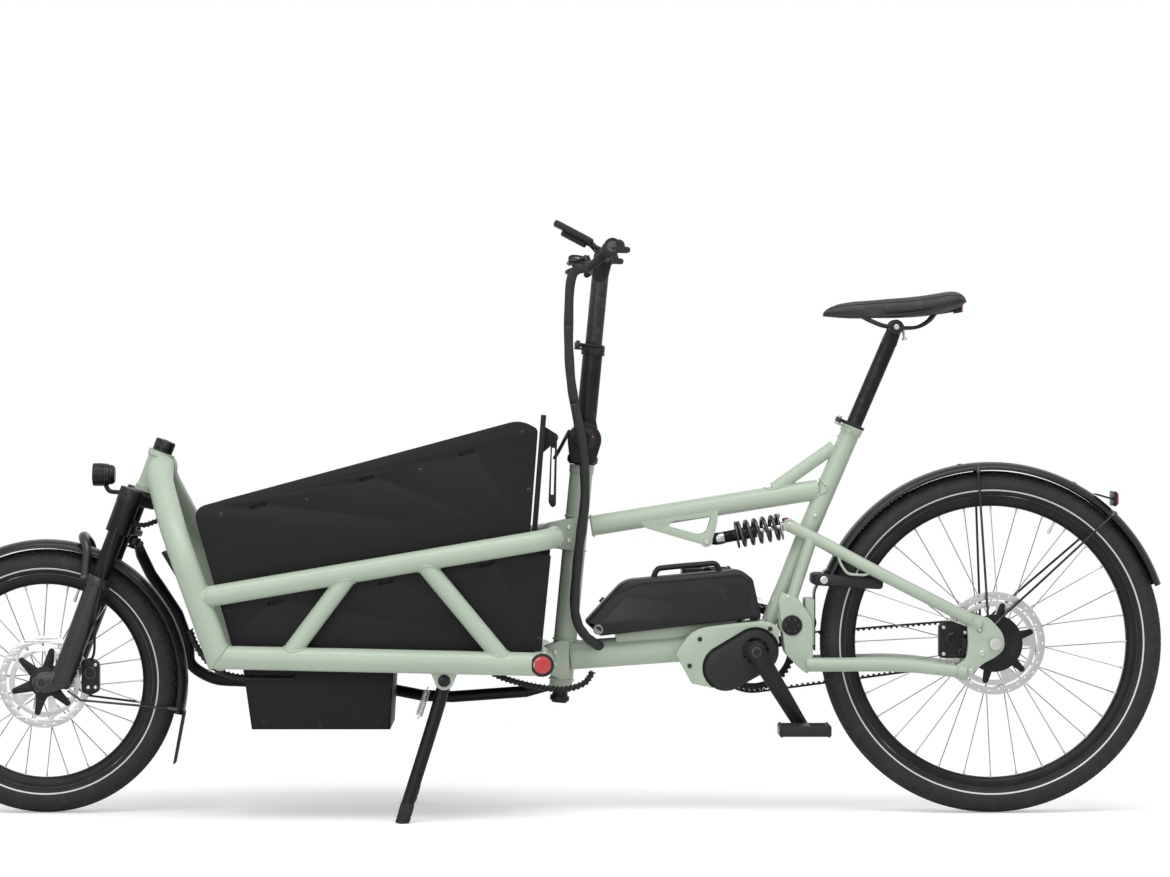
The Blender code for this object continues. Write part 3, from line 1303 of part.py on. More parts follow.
def toothed_outline(centre, radius, count, phase):
    """A wheel's outline with a groove for every tooth of the belt."""
    outline = []
    for number in range(count):
        angle = phase + 2 * math.pi * number / count
        for offset, height in (
            (-(TOOTH_BASE + GROOVE_EXTRA) / 2, BELT_LAND - LAND_RELIEF),
            (0, BELT_TIP - GROOVE_DEPTH),
            ((TOOTH_BASE + GROOVE_EXTRA) / 2, BELT_LAND - LAND_RELIEF),
        ):
            turn = angle + offset / radius
            outline.append((centre[0] + (radius + height) * math.cos(turn),
                            centre[1] + (radius + height) * math.sin(turn)))
    return outline


CHAINRING_PHASE = RUNS[0][5]
SPROCKET_PHASE = RUNS[2][5] - RUNS[2][1] / SPROCKET_RADIUS


def rear_sprocket():
    outline = toothed_outline(flat(REAR_AXLE), SPROCKET_RADIUS, SPROCKET_TEETH, SPROCKET_PHASE)
    hole = circle(flat(REAR_AXLE), STUB_RADIUS + 0.0010, 12)
    wheel = plate(outline, BELT_WIDTH + 0.001, side_on(BELT_LINE), [hole])
    return piece(wheel, "rear_sprocket", STEEL, sprocket)


def belt_idler():
    wheel = lathed(IDLER + Vector((0, BELT_LINE - 0.0085, 0)), Vector((0, 1, 0)), [
        (0, IDLER_RADIUS + 0.002), (0.002, IDLER_RADIUS + 0.002), (0.002, IDLER_RADIUS), (0.015, IDLER_RADIUS),
        (0.015, IDLER_RADIUS + 0.002), (0.017, IDLER_RADIUS + 0.002),
    ], 20, IDLER_PIN_RADIUS + GAP)
    return piece(wheel, "belt_idler", BLACK, idler)


# Cranks and pedals

CRANK_WAY = Vector((0.519, 0, -0.855)).normalized()
PEDAL_PIN_RADIUS = 0.007
PEDAL_INNER = 0.098
PEDAL_OUTER = 0.195
CHAINRING_THICKNESS = 0.010


def crank(side, label):
    end = CRANK_AXIS - side * CRANK_LENGTH * CRANK_WAY
    middle = side * (CRANK_INNER + CRANK_THICKNESS / 2)
    arm = plate(strap(flat(CRANK_AXIS), flat(end), 0.0185, 0.0135, 8), CRANK_THICKNESS, side_on(middle))
    spindle = [CRANK_AXIS + Vector((0, side * y, 0)) for y in (0.001, CRANK_INNER + 0.004)]
    boss = [CRANK_AXIS + Vector((0, side * y, 0)) for y in (MOTOR_HALF + 0.001, CRANK_INNER + 0.004)]
    join(arm, rod(*boss, 0.0165, 12), rod(*spindle, SPINDLE_RADIUS, 12))
    if side > 0:
        windows = []
        for number in range(5):
            first = 72 * number - 58.7
            near = arc(flat(CRANK_AXIS), 0.030, first + 22, first + 50, 1)
            far = arc(flat(CRANK_AXIS), CHAINRING_RADIUS - 0.017, first + 64, first + 8, 4)
            windows.append(near + far)
        outline = toothed_outline(flat(CRANK_AXIS), CHAINRING_RADIUS, CHAINRING_TEETH, CHAINRING_PHASE)
        join(arm, plate(outline, CHAINRING_THICKNESS, side_on(BELT_LINE), windows))
    eye = Vector((0, side * 0.12, 0))
    cut(arm, rod(end + 0.3 * eye, end + eye, PEDAL_PIN_RADIUS + RUNNING, 12))
    return piece(arm, f"crank_{label}", BLACK, cranks)


def pedal(side, label):
    end = CRANK_AXIS - side * CRANK_LENGTH * CRANK_WAY
    point = axis_point(f"pedal_{label}_point", end, cranks)
    width = PEDAL_OUTER - PEDAL_INNER
    middle = end + Vector((0, side * (PEDAL_INNER + width / 2), 0))
    body = block((0.100, width, 0.024), Matrix.Translation(middle), 0.005, 1)
    for ahead in (-0.026, 0.026):
        hole = Matrix.Translation(middle + Vector((ahead, 0, 0)))
        cut(body, block((0.030, width - 0.030, 0.05), hole, 0.004, 1))
    pin = [end + Vector((0, side * y, 0)) for y in (CRANK_INNER + 0.001, PEDAL_INNER + 0.01)]
    join(body, rod(*pin, PEDAL_PIN_RADIUS, 12))
    return piece(body, f"pedal_{label}", BLACK, point)


# Fork: crown, legs and steering arm above, sliding lowers below

CROWN_TOP = HEAD_TUBE_LENGTH + 0.001
CROWN_DEPTH = 0.030
CROWN_BOTTOM = CROWN_TOP + CROWN_DEPTH
SOCKET_RADIUS = 0.0238
SLEEVE_RADIUS_FORK = 0.0230
SLEEVE_BOTTOM = 0.176
STANCHION_BOTTOM = 0.377
CAP_RADIUS = 0.020
CAP_HEIGHT = 0.024
ARM_DOWN = 0.171
ARM_THICKNESS = 0.012
STUD_RADIUS = 0.006
STUD_BOTTOM = 0.204
EYE_DOWN = 0.189
LOWER_TOP = 0.267
COLLAR_BOTTOM = 0.285
LOWER_BOTTOM = 0.495
LOWER_BORE_BOTTOM = 0.445
LOWER_SKIN = ((0, 0.0180), (0.006, 0.0210), (LOWER_BOTTOM - COLLAR_BOTTOM, LOWER_RADIUS))
DROPOUT_DOWN = 0.479


def steering_arm():
    """The arm on the right leg and the stud that takes the rod's eye."""
    arm = plate(strap((-CROWN_OFFSET, LEG_SPREAD), (0, FRONT_LEVER), 0.0208, 0.012, 5), ARM_THICKNESS,
                facing(on_head(ARM_DOWN), HEAD_UP))
    stud = lathed(on_head(STUD_BOTTOM, 0, FRONT_LEVER), HEAD_UP, [
        (0, 0.010), (0.003, 0.010), (0.003, STUD_RADIUS), (STUD_BOTTOM - ARM_DOWN + 0.001, STUD_RADIUS),
    ], 12)
    return arm, stud


def fork_upper():
    stem = lathed(on_head(CROWN_BOTTOM - 0.002), HEAD_UP, [
        (0, FORK_STEERER_RADIUS), (CROWN_BOTTOM - 0.0014, FORK_STEERER_RADIUS), (CROWN_BOTTOM - 0.0014, CAP_RADIUS),
        (CROWN_BOTTOM + CAP_HEIGHT - 0.005, CAP_RADIUS), (CROWN_BOTTOM + CAP_HEIGHT - 0.002, CAP_RADIUS - 0.003),
    ], 12)
    level = facing(on_head(CROWN_TOP + CROWN_DEPTH / 2), HEAD_UP)
    for side, _ in SIDES:
        spread = side * LEG_SPREAD
        rise = STANCHION_BOTTOM
        leg = lathed(on_head(rise, CROWN_OFFSET, spread), HEAD_UP, [
            (0, STANCHION_RADIUS), (rise - SLEEVE_BOTTOM, STANCHION_RADIUS), (rise - SLEEVE_BOTTOM, SLEEVE_RADIUS_FORK),
            (rise - CROWN_BOTTOM, SLEEVE_RADIUS_FORK), (rise - CROWN_BOTTOM, SOCKET_RADIUS),
            (rise - CROWN_TOP - 0.002, SOCKET_RADIUS), (rise - CROWN_TOP, SOCKET_RADIUS - 0.002),
        ], 12)
        bridge = plate(strap((0, 0), (-CROWN_OFFSET, spread), 0.026, 0.0225), CROWN_DEPTH - 0.004, level)
        if side > 0:
            join(leg, *steering_arm())
        join(stem, bridge, leg)
    return piece(stem, "fork_upper", BLACK, fork)


LAMP_CENTRE = Vector((-0.8506, 0, 0.6615))
LAMP_LENGTH = 0.043
LAMP_RADIUS = 0.0225


def headlamp():
    front = LAMP_CENTRE - Vector((LAMP_LENGTH / 2, 0, 0))
    lamp = lathed(front, Vector((1, 0, 0)), [
        (0, LAMP_RADIUS - 0.003), (0.003, LAMP_RADIUS), (0.028, LAMP_RADIUS), (LAMP_LENGTH, LAMP_RADIUS - 0.006)
    ], 12)
    foot = on_head(0.098, 0.0319)
    turn = facing(foot, HEAD_FORWARD)
    join(
        lamp,
        tube([LAMP_CENTRE + Vector((0.004, 0, -0.014)), LAMP_CENTRE + Vector((0.012, 0, -0.032)), foot], 0.006, 10),
        block((0.018, 0.016, 0.004), turn),
    )
    return piece(lamp, "headlamp", BLACK, fork)


def fork_lowers():
    axle_out = Vector((0, 0.0785, 0))
    body = rod(FRONT_AXLE - axle_out, FRONT_AXLE + axle_out, FRONT_AXLE_RADIUS, 12)
    for side, _ in SIDES:
        spread = side * LEG_SPREAD
        rise = LOWER_BOTTOM
        leg = lathed(on_head(rise, CROWN_OFFSET, spread), HEAD_UP, [
            *LOWER_SKIN, (rise - COLLAR_BOTTOM, 0.0245), (rise - LOWER_TOP, 0.0245),
            (rise - LOWER_TOP, STANCHION_RADIUS + GAP),
            (rise - LOWER_BORE_BOTTOM, STANCHION_RADIUS + GAP),
        ], 12)
        foot = plate(strap(flat(FRONT_AXLE), flat(on_head(DROPOUT_DOWN, CROWN_OFFSET)), 0.0195, 0.0190), 0.0295,
                     side_on(side * 0.0652))
        join(body, foot, leg)
    half = [Vector((-0.8900, 0, 0.5410)), Vector((-0.8880, 0.0250, 0.5370)), Vector((-0.8790, 0.0450, 0.5150)),
            on_head(0.279, 0.0497, 0.062)]
    arch = [across(place, -1) for place in reversed(half[1:])] + half
    join(body, tube(through(arch, 2), 0.009, 8))
    return piece(body, "fork_lowers", BLACK, lowers)


def front_caliper():
    outline = [(-0.9000, 0.2400, 0.006), (-0.8720, 0.2320, 0.006), (-0.8550, 0.2400, 0.006),
               (-0.8550, 0.2960, 0.008), (-0.8720, 0.3050, 0.006), (-0.8960, 0.3000, 0.006)]
    body = plate(soft(outline), 0.034, side_on(-0.0395))
    edge = Vector((0, 0.0025, 0))
    middle = FRONT_AXLE + Vector((0, FRONT_ROTOR_Y, 0))
    leg = lathed(on_head(LOWER_BOTTOM, CROWN_OFFSET, -LEG_SPREAD), HEAD_UP,
                 [(rise, radius + GAP) for rise, radius in LOWER_SKIN], 12)
    cut(body, rod(middle - edge, middle + edge, FRONT_ROTOR_RADIUS + 0.0020, 32), leg)
    return piece(body, "front_caliper", BLACK, lowers)


FRONT_FENDER_HALF = 0.030
FRONT_STAY = ((-0.9148, 0.0620, 0.2422), (-0.8900, 0.0640, 0.2240), (-0.7250, 0.0320, 0.2060), (-0.7040, 0.0290, 0.2040))


def front_fender():
    skin = fender_skin(FRONT_AXLE, 0.277, 0.2605, FRONT_FENDER_HALF, -14, 155, 13)
    flap = [(-0.7130, 0.0960), (-0.7105, 0.0960), (-0.6915, 0.1960), (-0.6940, 0.2010)]
    join(skin, plate(flap, 0.056, side_on()))
    for side, _ in SIDES:
        join(skin, tube([across(place, side) for place in FRONT_STAY], FENDER_STAY_RADIUS, 6))
    return piece(skin, "front_fender", BLACK, lowers)


# Steering: column with its lever, the long rod, and the post that carries the handlebar

LEVER_THICKNESS = 0.0105
LEVER_BELOW_PIN = 0.0084
ROD_RADIUS = 0.0115
ROD_EYE_RADIUS = 0.014
ROD_EYE_BORE = 0.0082
REAR_PIN_RADIUS = 0.005
EAR_INNER = 0.018
EAR_WIDTH = 0.012
HINGE_PIN_RADIUS = 0.006
ROD_TILT = 0.0307


def steerer_column():
    bottom = LEVER_DROP + 0.017
    column = lathed(on_column(bottom), STEER_UP, [
        (0, COLUMN_RADIUS), (bottom + 0.001, COLUMN_RADIUS), (bottom + 0.001, 0.0255),
        (bottom + 0.006, 0.0300), (bottom + 0.018, 0.0300),
    ], 12)
    for side, _ in SIDES:
        ear = plate(strap(flat(on_column(-0.012)), flat(HINGE), 0.0270, 0.0330, 8), EAR_WIDTH,
                    side_on(side * (EAR_INNER + EAR_WIDTH / 2)))
        floor = on_column(-0.003)
        keep_out = plate([(0.0, floor.z - 0.08), (0.2, floor.z - 0.08), (0.2, floor.z - 0.0068),
                          (floor.x, floor.z), (0.0, floor.z + 0.0083)], 0.1, side_on())
        cut(ear, keep_out)
        join(column, ear)
    pin_out = Vector((0, EAR_INNER + EAR_WIDTH / 2, 0))
    join(column, rod(HINGE - pin_out, HINGE + pin_out, HINGE_PIN_RADIUS, 12))
    lever = plate(strap((0, 0), (0, REAR_LEVER), 0.0190, 0.0110), LEVER_THICKNESS,
                  facing(on_column(LEVER_DROP + LEVER_BELOW_PIN), STEER_UP))
    pin_axis = (STEER_UP - Vector((0, ROD_TILT, 0))).normalized()
    pin_middle = on_column(LEVER_DROP, REAR_LEVER)
    join(column, lever, rod(pin_middle - 0.008 * pin_axis, pin_middle + 0.008 * pin_axis, REAR_PIN_RADIUS, 12))
    return piece(column, "steerer_column", BLACK, steerer)


ROD_ROUTE = (
    (-0.7900, 0.1280, 0.5000), (-0.7720, 0.1400, 0.4600), (-0.7570, 0.1500, 0.4370), (-0.7220, 0.1720, 0.3800),
    (-0.7020, 0.1800, 0.3200), (-0.6950, 0.1800, 0.2780), (-0.6500, 0.1800, 0.2500), (-0.5980, 0.1780, 0.2450), (-0.3000, 0.1720, 0.2300),
    (-0.2300, 0.1500, 0.2180), (-0.1700, 0.1280, 0.2170), (-0.0240, 0.1050, 0.2290),
)


def steering_rod():
    front = on_head(EYE_DOWN, 0, FRONT_LEVER)
    rear = on_column(LEVER_DROP, REAR_LEVER)
    pin_axis = (STEER_UP - Vector((0, ROD_TILT, 0))).normalized()
    route = [front + Vector((0.006, 0.016, -0.002)), *(Vector(place) for place in ROD_ROUTE)]
    route = route[:4] + through(route[4:9], 2) + route[9:]
    route += [rear + Vector((-0.0260, 0.0015, 0.0035)), rear + Vector((-0.0128, 0.0008, 0.0035))]
    bar_tube = tube(route, ROD_RADIUS, 8, [0.7, *[1] * (len(route) - 3), 0.52, 0.42])
    front_eye = rod(front - 0.008 * HEAD_UP, front + 0.008 * HEAD_UP, ROD_EYE_RADIUS, 12)
    rear_eye = rod(rear - 0.0008 * pin_axis, rear + 0.0085 * pin_axis, 0.0145, 12, REAR_PIN_RADIUS + RUNNING / 2)
    join(bar_tube, front_eye, rear_eye)
    cut(bar_tube, rod(front - 0.03 * HEAD_UP, front + 0.03 * HEAD_UP, ROD_EYE_BORE, 12))
    return piece(bar_tube, "steering_rod", BLACK, rod_point)


POST_RADIUS = 0.0195
POST_BORE = 0.0168
UPPER_POST_RADIUS = 0.0165
POST_INSERT = 0.080


def handlebar_post():
    start = HINGE + 0.0365 * STEER_UP
    length = (POST_CLAMP - start).length
    tube_part = lathed(start, STEER_UP, [
        (0, POST_RADIUS - 0.002), (0.004, POST_RADIUS), (length - 0.020, POST_RADIUS), (length - 0.020, 0.0230),
        (length, 0.0230), (length, POST_BORE), (length - 0.135, POST_BORE),
    ], 12)
    tongue = plate(strap(flat(HINGE), flat(HINGE + 0.045 * STEER_UP), 0.0290, 0.0170, 6), 2 * EAR_INNER - 0.001,
                   side_on())
    join(tube_part, tongue, *clamp_pin(POST_CLAMP - 0.009 * STEER_UP, STEER_UP))
    pin_out = Vector((0, 0.05, 0))
    cut(tube_part, rod(HINGE - pin_out, HINGE + pin_out, HINGE_PIN_RADIUS + RUNNING / 2, 12))
    return piece(tube_part, "handlebar_post", BLACK, post)


BAR_RADIUS = 0.0112
BAR_MIDDLE = Vector((0.1280, 0, 1.0880))
BAR_KNEE = Vector((0.1353, 0.180, 1.0925))
GRIP_INNER = 0.205
GRIP_OUTER = 0.320
BAR_END = Vector((0.1400, GRIP_OUTER - 0.002, 1.0960))
GRIP_RADIUS = 0.0160
LEVER_AXIS = Vector((-0.323, 0, 0.946)).normalized()
LEVER_POINT = Vector((0.0920, 0.1850, 1.0780))


def on_bar(y, side):
    """A point on the straight outer part of the handlebar."""
    share = (y - BAR_KNEE.y) / (BAR_END.y - BAR_KNEE.y)
    return across(BAR_KNEE.lerp(BAR_END, share), side)


def handlebar():
    top = POST_CLAMP + 0.144 * STEER_UP
    stem = rod(POST_CLAMP - POST_INSERT * STEER_UP, top, UPPER_POST_RADIUS, 12)
    half = [BAR_MIDDLE, Vector((0.1310, 0.100, 1.0900)), BAR_KNEE, BAR_END]
    route = [across(place, -1) for place in reversed(half[1:])] + half
    neck = plate(strap(flat(top - 0.004 * STEER_UP), flat(BAR_MIDDLE), 0.0155, 0.0180, 8), 0.030, side_on())
    join(stem, neck, tube(route, BAR_RADIUS, 10))
    for side, _ in SIDES:
        clamp = rod(on_bar(0.180, side), on_bar(0.195, side), 0.0155, 10)
        foot = LEVER_POINT - 0.0190 * LEVER_AXIS
        pin = [across(LEVER_POINT + height * LEVER_AXIS, side) for height in (-0.022, 0.007)]
        arm = plate(strap(flat(foot), flat(on_bar(0.1875, side)), 0.0060, 0.0110), 0.013, side_on(side * 0.1870))
        join(stem, clamp, arm, rod(*pin, 0.003, 8))
    return piece(stem, "handlebar", BLACK, bar)


def grip(side, label):
    sleeve = rod(on_bar(GRIP_INNER, side), on_bar(GRIP_OUTER, side), GRIP_RADIUS, 12)
    wing = [(0.1380, side * 0.2380), (0.1640, side * 0.2480), (0.1740, side * 0.2700), (0.1747, side * 0.3000),
            (0.1690, side * 0.3160), (0.1400, side * 0.3190)]
    level = Matrix.Translation((0, 0, 1.1018)) @ Matrix.Rotation(math.radians(4), 4, "Y")
    join(sleeve, plate(wing, 0.012, level))
    cut(sleeve, rod(on_bar(GRIP_INNER - 0.02, side), on_bar(GRIP_OUTER + 0.02, side), BAR_RADIUS + RUNNING, 12))
    return piece(sleeve, f"grip_{label}", RUBBER, bar)


def display():
    tilt = Matrix.Translation((0.0695, 0, 1.1355)) @ Matrix.Rotation(math.radians(28), 4, "Y")
    case = block((0.085, 0.055, 0.012), tilt, 0.003, 1)
    out = Vector((-0.028, 0, 0.030)).normalized()
    join(case, rod(BAR_MIDDLE + 0.0184 * out, BAR_MIDDLE + 0.046 * out, 0.006, 12))
    return piece(case, "display", BLACK, bar)


def brake_lever(side, label):
    pivot = across(LEVER_POINT, side)
    point = axis_point(f"brake_lever_{label}_point", pivot, bar)
    eye = rod(pivot - 0.0045 * LEVER_AXIS, pivot + 0.0045 * LEVER_AXIS, 0.0075, 12)
    blade = [Vector((0.0895, 0.1875, 1.0771)), Vector((0.0640, 0.2140, 1.0685)), Vector((0.0590, 0.2400, 1.0668)),
             Vector((0.0600, 0.2700, 1.0671)), Vector((0.0620, 0.3020, 1.0678))]
    join(eye, tube([across(place, side) for place in blade], 0.0045, 8, (1, 1.1, 1, 0.9, 1.1)))
    cut(eye, rod(pivot - 0.03 * LEVER_AXIS, pivot + 0.03 * LEVER_AXIS, 0.003 + RUNNING / 2, 12))
    return piece(eye, f"brake_lever_{label}", BLACK, point)


# Saddle and its post

POST_FOOT = SEAT_TUBE_TOP - 0.135 * SEAT_UP
POST_HEAD = SEAT_TUBE_TOP + 0.186 * SEAT_UP
RAIL_ROUTE = ((0.6300, 0.0140, 0.9740), (0.6560, 0.0200, 0.9610), (0.6850, 0.0220, 0.9515), (0.7350, 0.0220, 0.9490),
              (0.7620, 0.0240, 0.9600), (0.7780, 0.0260, 0.9780))
RAIL_RADIUS = 0.0035
SADDLE_CLAMP = Vector((0.7000, 0, 0.9500))


def saddle_rail(side, radius):
    return tube([across(place, side) for place in RAIL_ROUTE], radius, 8)


def seatpost():
    body = lathed(POST_FOOT, SEAT_UP, [(0, SEAT_POST_RADIUS), ((POST_HEAD - POST_FOOT).length, SEAT_POST_RADIUS)], 12)
    clamp_half = Vector((0, 0.032, 0))
    clamp = rod(SADDLE_CLAMP - clamp_half, SADDLE_CLAMP + clamp_half, 0.0150, 12)
    neck = plate(strap(flat(POST_HEAD - 0.006 * SEAT_UP), flat(SADDLE_CLAMP), 0.0150, 0.0130, 6), 0.026, side_on())
    join(body, neck, clamp)
    for side, _ in SIDES:
        cut(body, saddle_rail(side, RAIL_RADIUS + GAP))
    return piece(body, "seatpost", BLACK, saddle_point)


SADDLE_SECTIONS = (
    (0.5560, 0.0100, 0.9850, 0.9700), (0.5680, 0.0160, 0.9935, 0.9680), (0.6000, 0.0210, 1.0010, 0.9660),
    (0.6500, 0.0280, 1.0050, 0.9670), (0.7000, 0.0440, 1.0085, 0.9680), (0.7400, 0.0640, 1.0110, 0.9700),
    (0.7750, 0.0820, 1.0160, 0.9740), (0.8080, 0.0860, 1.0210, 0.9820), (0.8280, 0.0700, 1.0190, 0.9900),
    (0.8370, 0.0450, 1.0100, 0.9960),
)


def saddle():
    rings = []
    for x, half, top, bottom in SADDLE_SECTIONS:
        seam = bottom + 0.35 * (top - bottom)
        ring = []
        for step in range(12):
            angle = 2 * math.pi * step / 12
            y = half * math.copysign(abs(math.cos(angle)) ** 0.75, math.cos(angle))
            rise = math.sin(angle)
            z = seam + (top - seam) * rise ** 0.85 if rise > 0 else seam - (seam - bottom) * abs(rise) ** 0.6
            ring.append(Vector((x, y, z)))
        rings.append(ring)
    shell = loft(rings)
    for side, _ in SIDES:
        join(shell, saddle_rail(side, RAIL_RADIUS))
    return piece(shell, "saddle", BLACK, saddle_point)


# Kickstand

STAND_ROUTE = ((-0.1790, 0.1790, 0.2710), (-0.1840, 0.1830, 0.2480), (-0.2040, 0.1940, 0.1780),
               (-0.2580, 0.2120, 0.0040), (-0.2600, 0.2126, -0.0030))


def kickstand():
    out = Vector((0, EAR_SPREAD + EAR_THICKNESS / 2 + 0.002, 0))
    axle = rod(STAND_AXIS - out, STAND_AXIS + out, STAND_AXLE_RADIUS, 12)
    for side, _ in SIDES:
        leg = tube([across(place, side) for place in STAND_ROUTE], 0.0135, 10)
        join(axle, trimmed(leg, Vector((0, 0, 0)), Vector((0, 0, -1))))
    return piece(axle, "kickstand", BLACK, stand)


for side, label in SIDES:
    swingarm_side(side, label)
    crank(side, label)
    pedal(side, label)
    grip(side, label)
    brake_lever(side, label)
swingarm_yoke()
pivot_axle()
rear_axle()
rear_caliper()
rear_fender()
shock_body()
shock_shaft()
shock_spring()
tyre("rear_tyre", REAR_AXLE, REAR_TYRE_RADIUS, REAR_BEAD_RADIUS, REAR_TYRE_WIDTH, 32, rear_wheel)
rim("rear_rim", REAR_AXLE, REAR_BEAD_RADIUS, REAR_RIM_DEPTH, 32, rear_wheel)
rear_hub()
rotor("rear_rotor", REAR_AXLE, REAR_ROTOR_Y, REAR_ROTOR_RADIUS, 5, 0.0755, rear_wheel)
tyre("front_tyre", FRONT_AXLE, FRONT_TYRE_RADIUS, FRONT_BEAD_RADIUS, FRONT_TYRE_WIDTH, 28, front_wheel)
rim("front_rim", FRONT_AXLE, FRONT_BEAD_RADIUS, FRONT_RIM_DEPTH, 28, front_wheel)
front_hub()
rotor("front_rotor", FRONT_AXLE, FRONT_ROTOR_Y, FRONT_ROTOR_RADIUS, 5, 0.0625, front_wheel)
drive_belt()
rear_sprocket()
belt_idler()
fork_upper()
headlamp()
fork_lowers()
front_caliper()
front_fender()
steerer_column()
steering_rod()
handlebar_post()
clamp_lever(
    "post_clamp_lever", POST_CLAMP - 0.009 * STEER_UP, STEER_UP,
    axis_point("post_clamp_point", POST_CLAMP - 0.009 * STEER_UP + CLAMP_REACH * Vector((-STEER_UP.z, 0, STEER_UP.x)),
               post),
)
handlebar()
display()
seatpost()
saddle()
kickstand()
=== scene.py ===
"""The looks of an electric cargo bike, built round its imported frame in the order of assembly."""

import math

import bmesh
import bpy
from mathutils import Matrix, Vector
from mathutils.bvhtree import BVHTree


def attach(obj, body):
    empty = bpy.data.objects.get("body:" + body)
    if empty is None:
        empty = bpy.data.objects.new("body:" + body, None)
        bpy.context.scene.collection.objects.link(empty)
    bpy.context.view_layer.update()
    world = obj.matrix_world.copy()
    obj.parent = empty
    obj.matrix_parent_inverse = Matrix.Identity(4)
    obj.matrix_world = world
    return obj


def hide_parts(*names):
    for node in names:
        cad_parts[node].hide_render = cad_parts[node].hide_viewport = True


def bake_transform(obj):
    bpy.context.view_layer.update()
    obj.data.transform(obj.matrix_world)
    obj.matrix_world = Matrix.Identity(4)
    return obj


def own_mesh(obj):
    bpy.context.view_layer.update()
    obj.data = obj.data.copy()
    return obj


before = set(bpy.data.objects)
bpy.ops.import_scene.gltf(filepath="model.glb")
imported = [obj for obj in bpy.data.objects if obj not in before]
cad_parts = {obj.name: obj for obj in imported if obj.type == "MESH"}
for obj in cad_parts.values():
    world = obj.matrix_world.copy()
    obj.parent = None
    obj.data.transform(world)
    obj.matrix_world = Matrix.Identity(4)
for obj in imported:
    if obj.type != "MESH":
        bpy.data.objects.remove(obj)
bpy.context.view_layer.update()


# Camera: it stands square to the bike's left side, a good way off, at the height of the upper rail.
# The photograph's frame is 1170 by 877, with the bike's middle a little left of centre.

PHOTO_WIDTH = 1170
PHOTO_SCALE = 0.00196
CAMERA_AWAY = 7.8
CAMERA_HEIGHT = 0.788

lens = bpy.data.cameras.new("side_camera")
lens.sensor_width = 36
lens.lens = lens.sensor_width * CAMERA_AWAY / (PHOTO_WIDTH * PHOTO_SCALE)
lens.shift_x = (585 - 538) / PHOTO_WIDTH
lens.shift_y = (410 - 438.5) / PHOTO_WIDTH
side_camera = bpy.data.objects.new("side_camera", lens)
side_camera.location = (0, -CAMERA_AWAY, CAMERA_HEIGHT)
side_camera.rotation_euler = (math.pi / 2, 0, 0)
bpy.context.scene.collection.objects.link(side_camera)
bpy.context.scene.camera = side_camera


# Front yoke: a short head tube with two wide legs that sweep down round the front wheel.
# Drawn and bent aluminium tube, welded, then powder coated with the rest of the frame in sage.

class Wire:
    """A socket of a material's node, on which sums can be written as Python."""

    def __init__(self, finish, socket):
        self.finish = finish
        self.socket = socket

    def sum(self, operation, first, second):
        return self.finish.node("Math", {"operation": operation}, {0: first, 1: second})

    def __add__(self, other):
        return self.sum("ADD", self, other)

    def __sub__(self, other):
        return self.sum("SUBTRACT", self, other)

    def __rsub__(self, other):
        return self.sum("SUBTRACT", other, self)

    def __mul__(self, other):
        return self.sum("MULTIPLY", self, other)

    def __truediv__(self, other):
        return self.sum("DIVIDE", self, other)

    __radd__ = __add__
    __rmul__ = __mul__


class Finish:
    """A material under way: its nodes, its shader and the place on the piece."""

    def __init__(self, name):
        self.material = bpy.data.materials.new(name)
        self.material.use_nodes = True
        self.tree = self.material.node_tree
        self.shader = self.tree.nodes["Principled BSDF"]
        self.place = self.node("TexCoord", output="Object")

    def node(self, kind, settings=None, values=None, output=0):
        made = self.tree.nodes.new("ShaderNode" + kind)
        for name, setting in (settings or {}).items():
            setattr(made, name, setting)
        for name, value in (values or {}).items():
            self.feed(made.inputs[name], value)
        return Wire(self, made.outputs[output])

    def feed(self, socket, value):
        if isinstance(value, Wire):
            self.tree.links.new(value.socket, socket)
        elif isinstance(value, tuple) and len(value) == 3 and socket.type == "RGBA":
            socket.default_value = (*value, 1)
        else:
            socket.default_value = value

    def noise(self, scale, detail=2.0, place=None):
        return self.node("TexNoise", {}, {"Vector": place or self.place, "Scale": scale, "Detail": detail})

    def mix(self, share, first, second):
        return self.node("Mix", {"data_type": "RGBA"}, {0: share, 6: first, 7: second}, output=2)

    def above(self, value, low, high):
        """How far value has come from low to high, held between 0 and 1."""
        return self.node("MapRange", {"interpolation_type": "SMOOTHSTEP"},
                         {"Value": value, "From Min": low, "From Max": high})

    def bump(self, height, depth, strength=1.0, under=None):
        values = {"Height": height, "Distance": depth, "Strength": strength}
        if under:
            values["Normal"] = under
        return self.node("Bump", {}, values)

    def wear(self, width=0.003):
        """Where an edge has rubbed: near 1 on proud edges, in broken patches."""
        proud = self.node("NewGeometry", output="Pointiness")
        return self.above(proud + self.noise(90, 3) * 0.06, 0.57, 0.57 + width * 20)

    def done(self, **sockets):
        for name, value in sockets.items():
            self.feed(self.shader.inputs[name.replace("_", " ")], value)
        return self.material


def coated_paint(name, colour, darker):
    """Powder coat: a fine orange peel, faint clouding, and darker patches of grime at random."""
    paint = Finish(name)
    cloud = paint.above(paint.noise(7, 4), 0.35, 0.65)
    grime = paint.above(paint.noise(60, 5), 0.58, 0.8) * 0.25
    shade = paint.mix(cloud * 0.35 + grime, colour, darker)
    peel = paint.noise(700, 1)
    rough = paint.noise(25, 3) * 0.12 + 0.3
    return paint.done(Base_Color=shade, Roughness=rough, Coat_Weight=0.12, Coat_Roughness=0.22,
                      Specular_IOR_Level=0.3, Normal=paint.bump(peel, 0.00012, 0.35))


SAGE = coated_paint("sage_powder_coat", (0.405, 0.478, 0.386), (0.362, 0.428, 0.345))


SIDES = ((-1, "left"), (1, "right"))


def across(point, side=1):
    """The point with its Y taken to this side of the bike."""
    return Vector((point[0], side * point[1], point[2]))


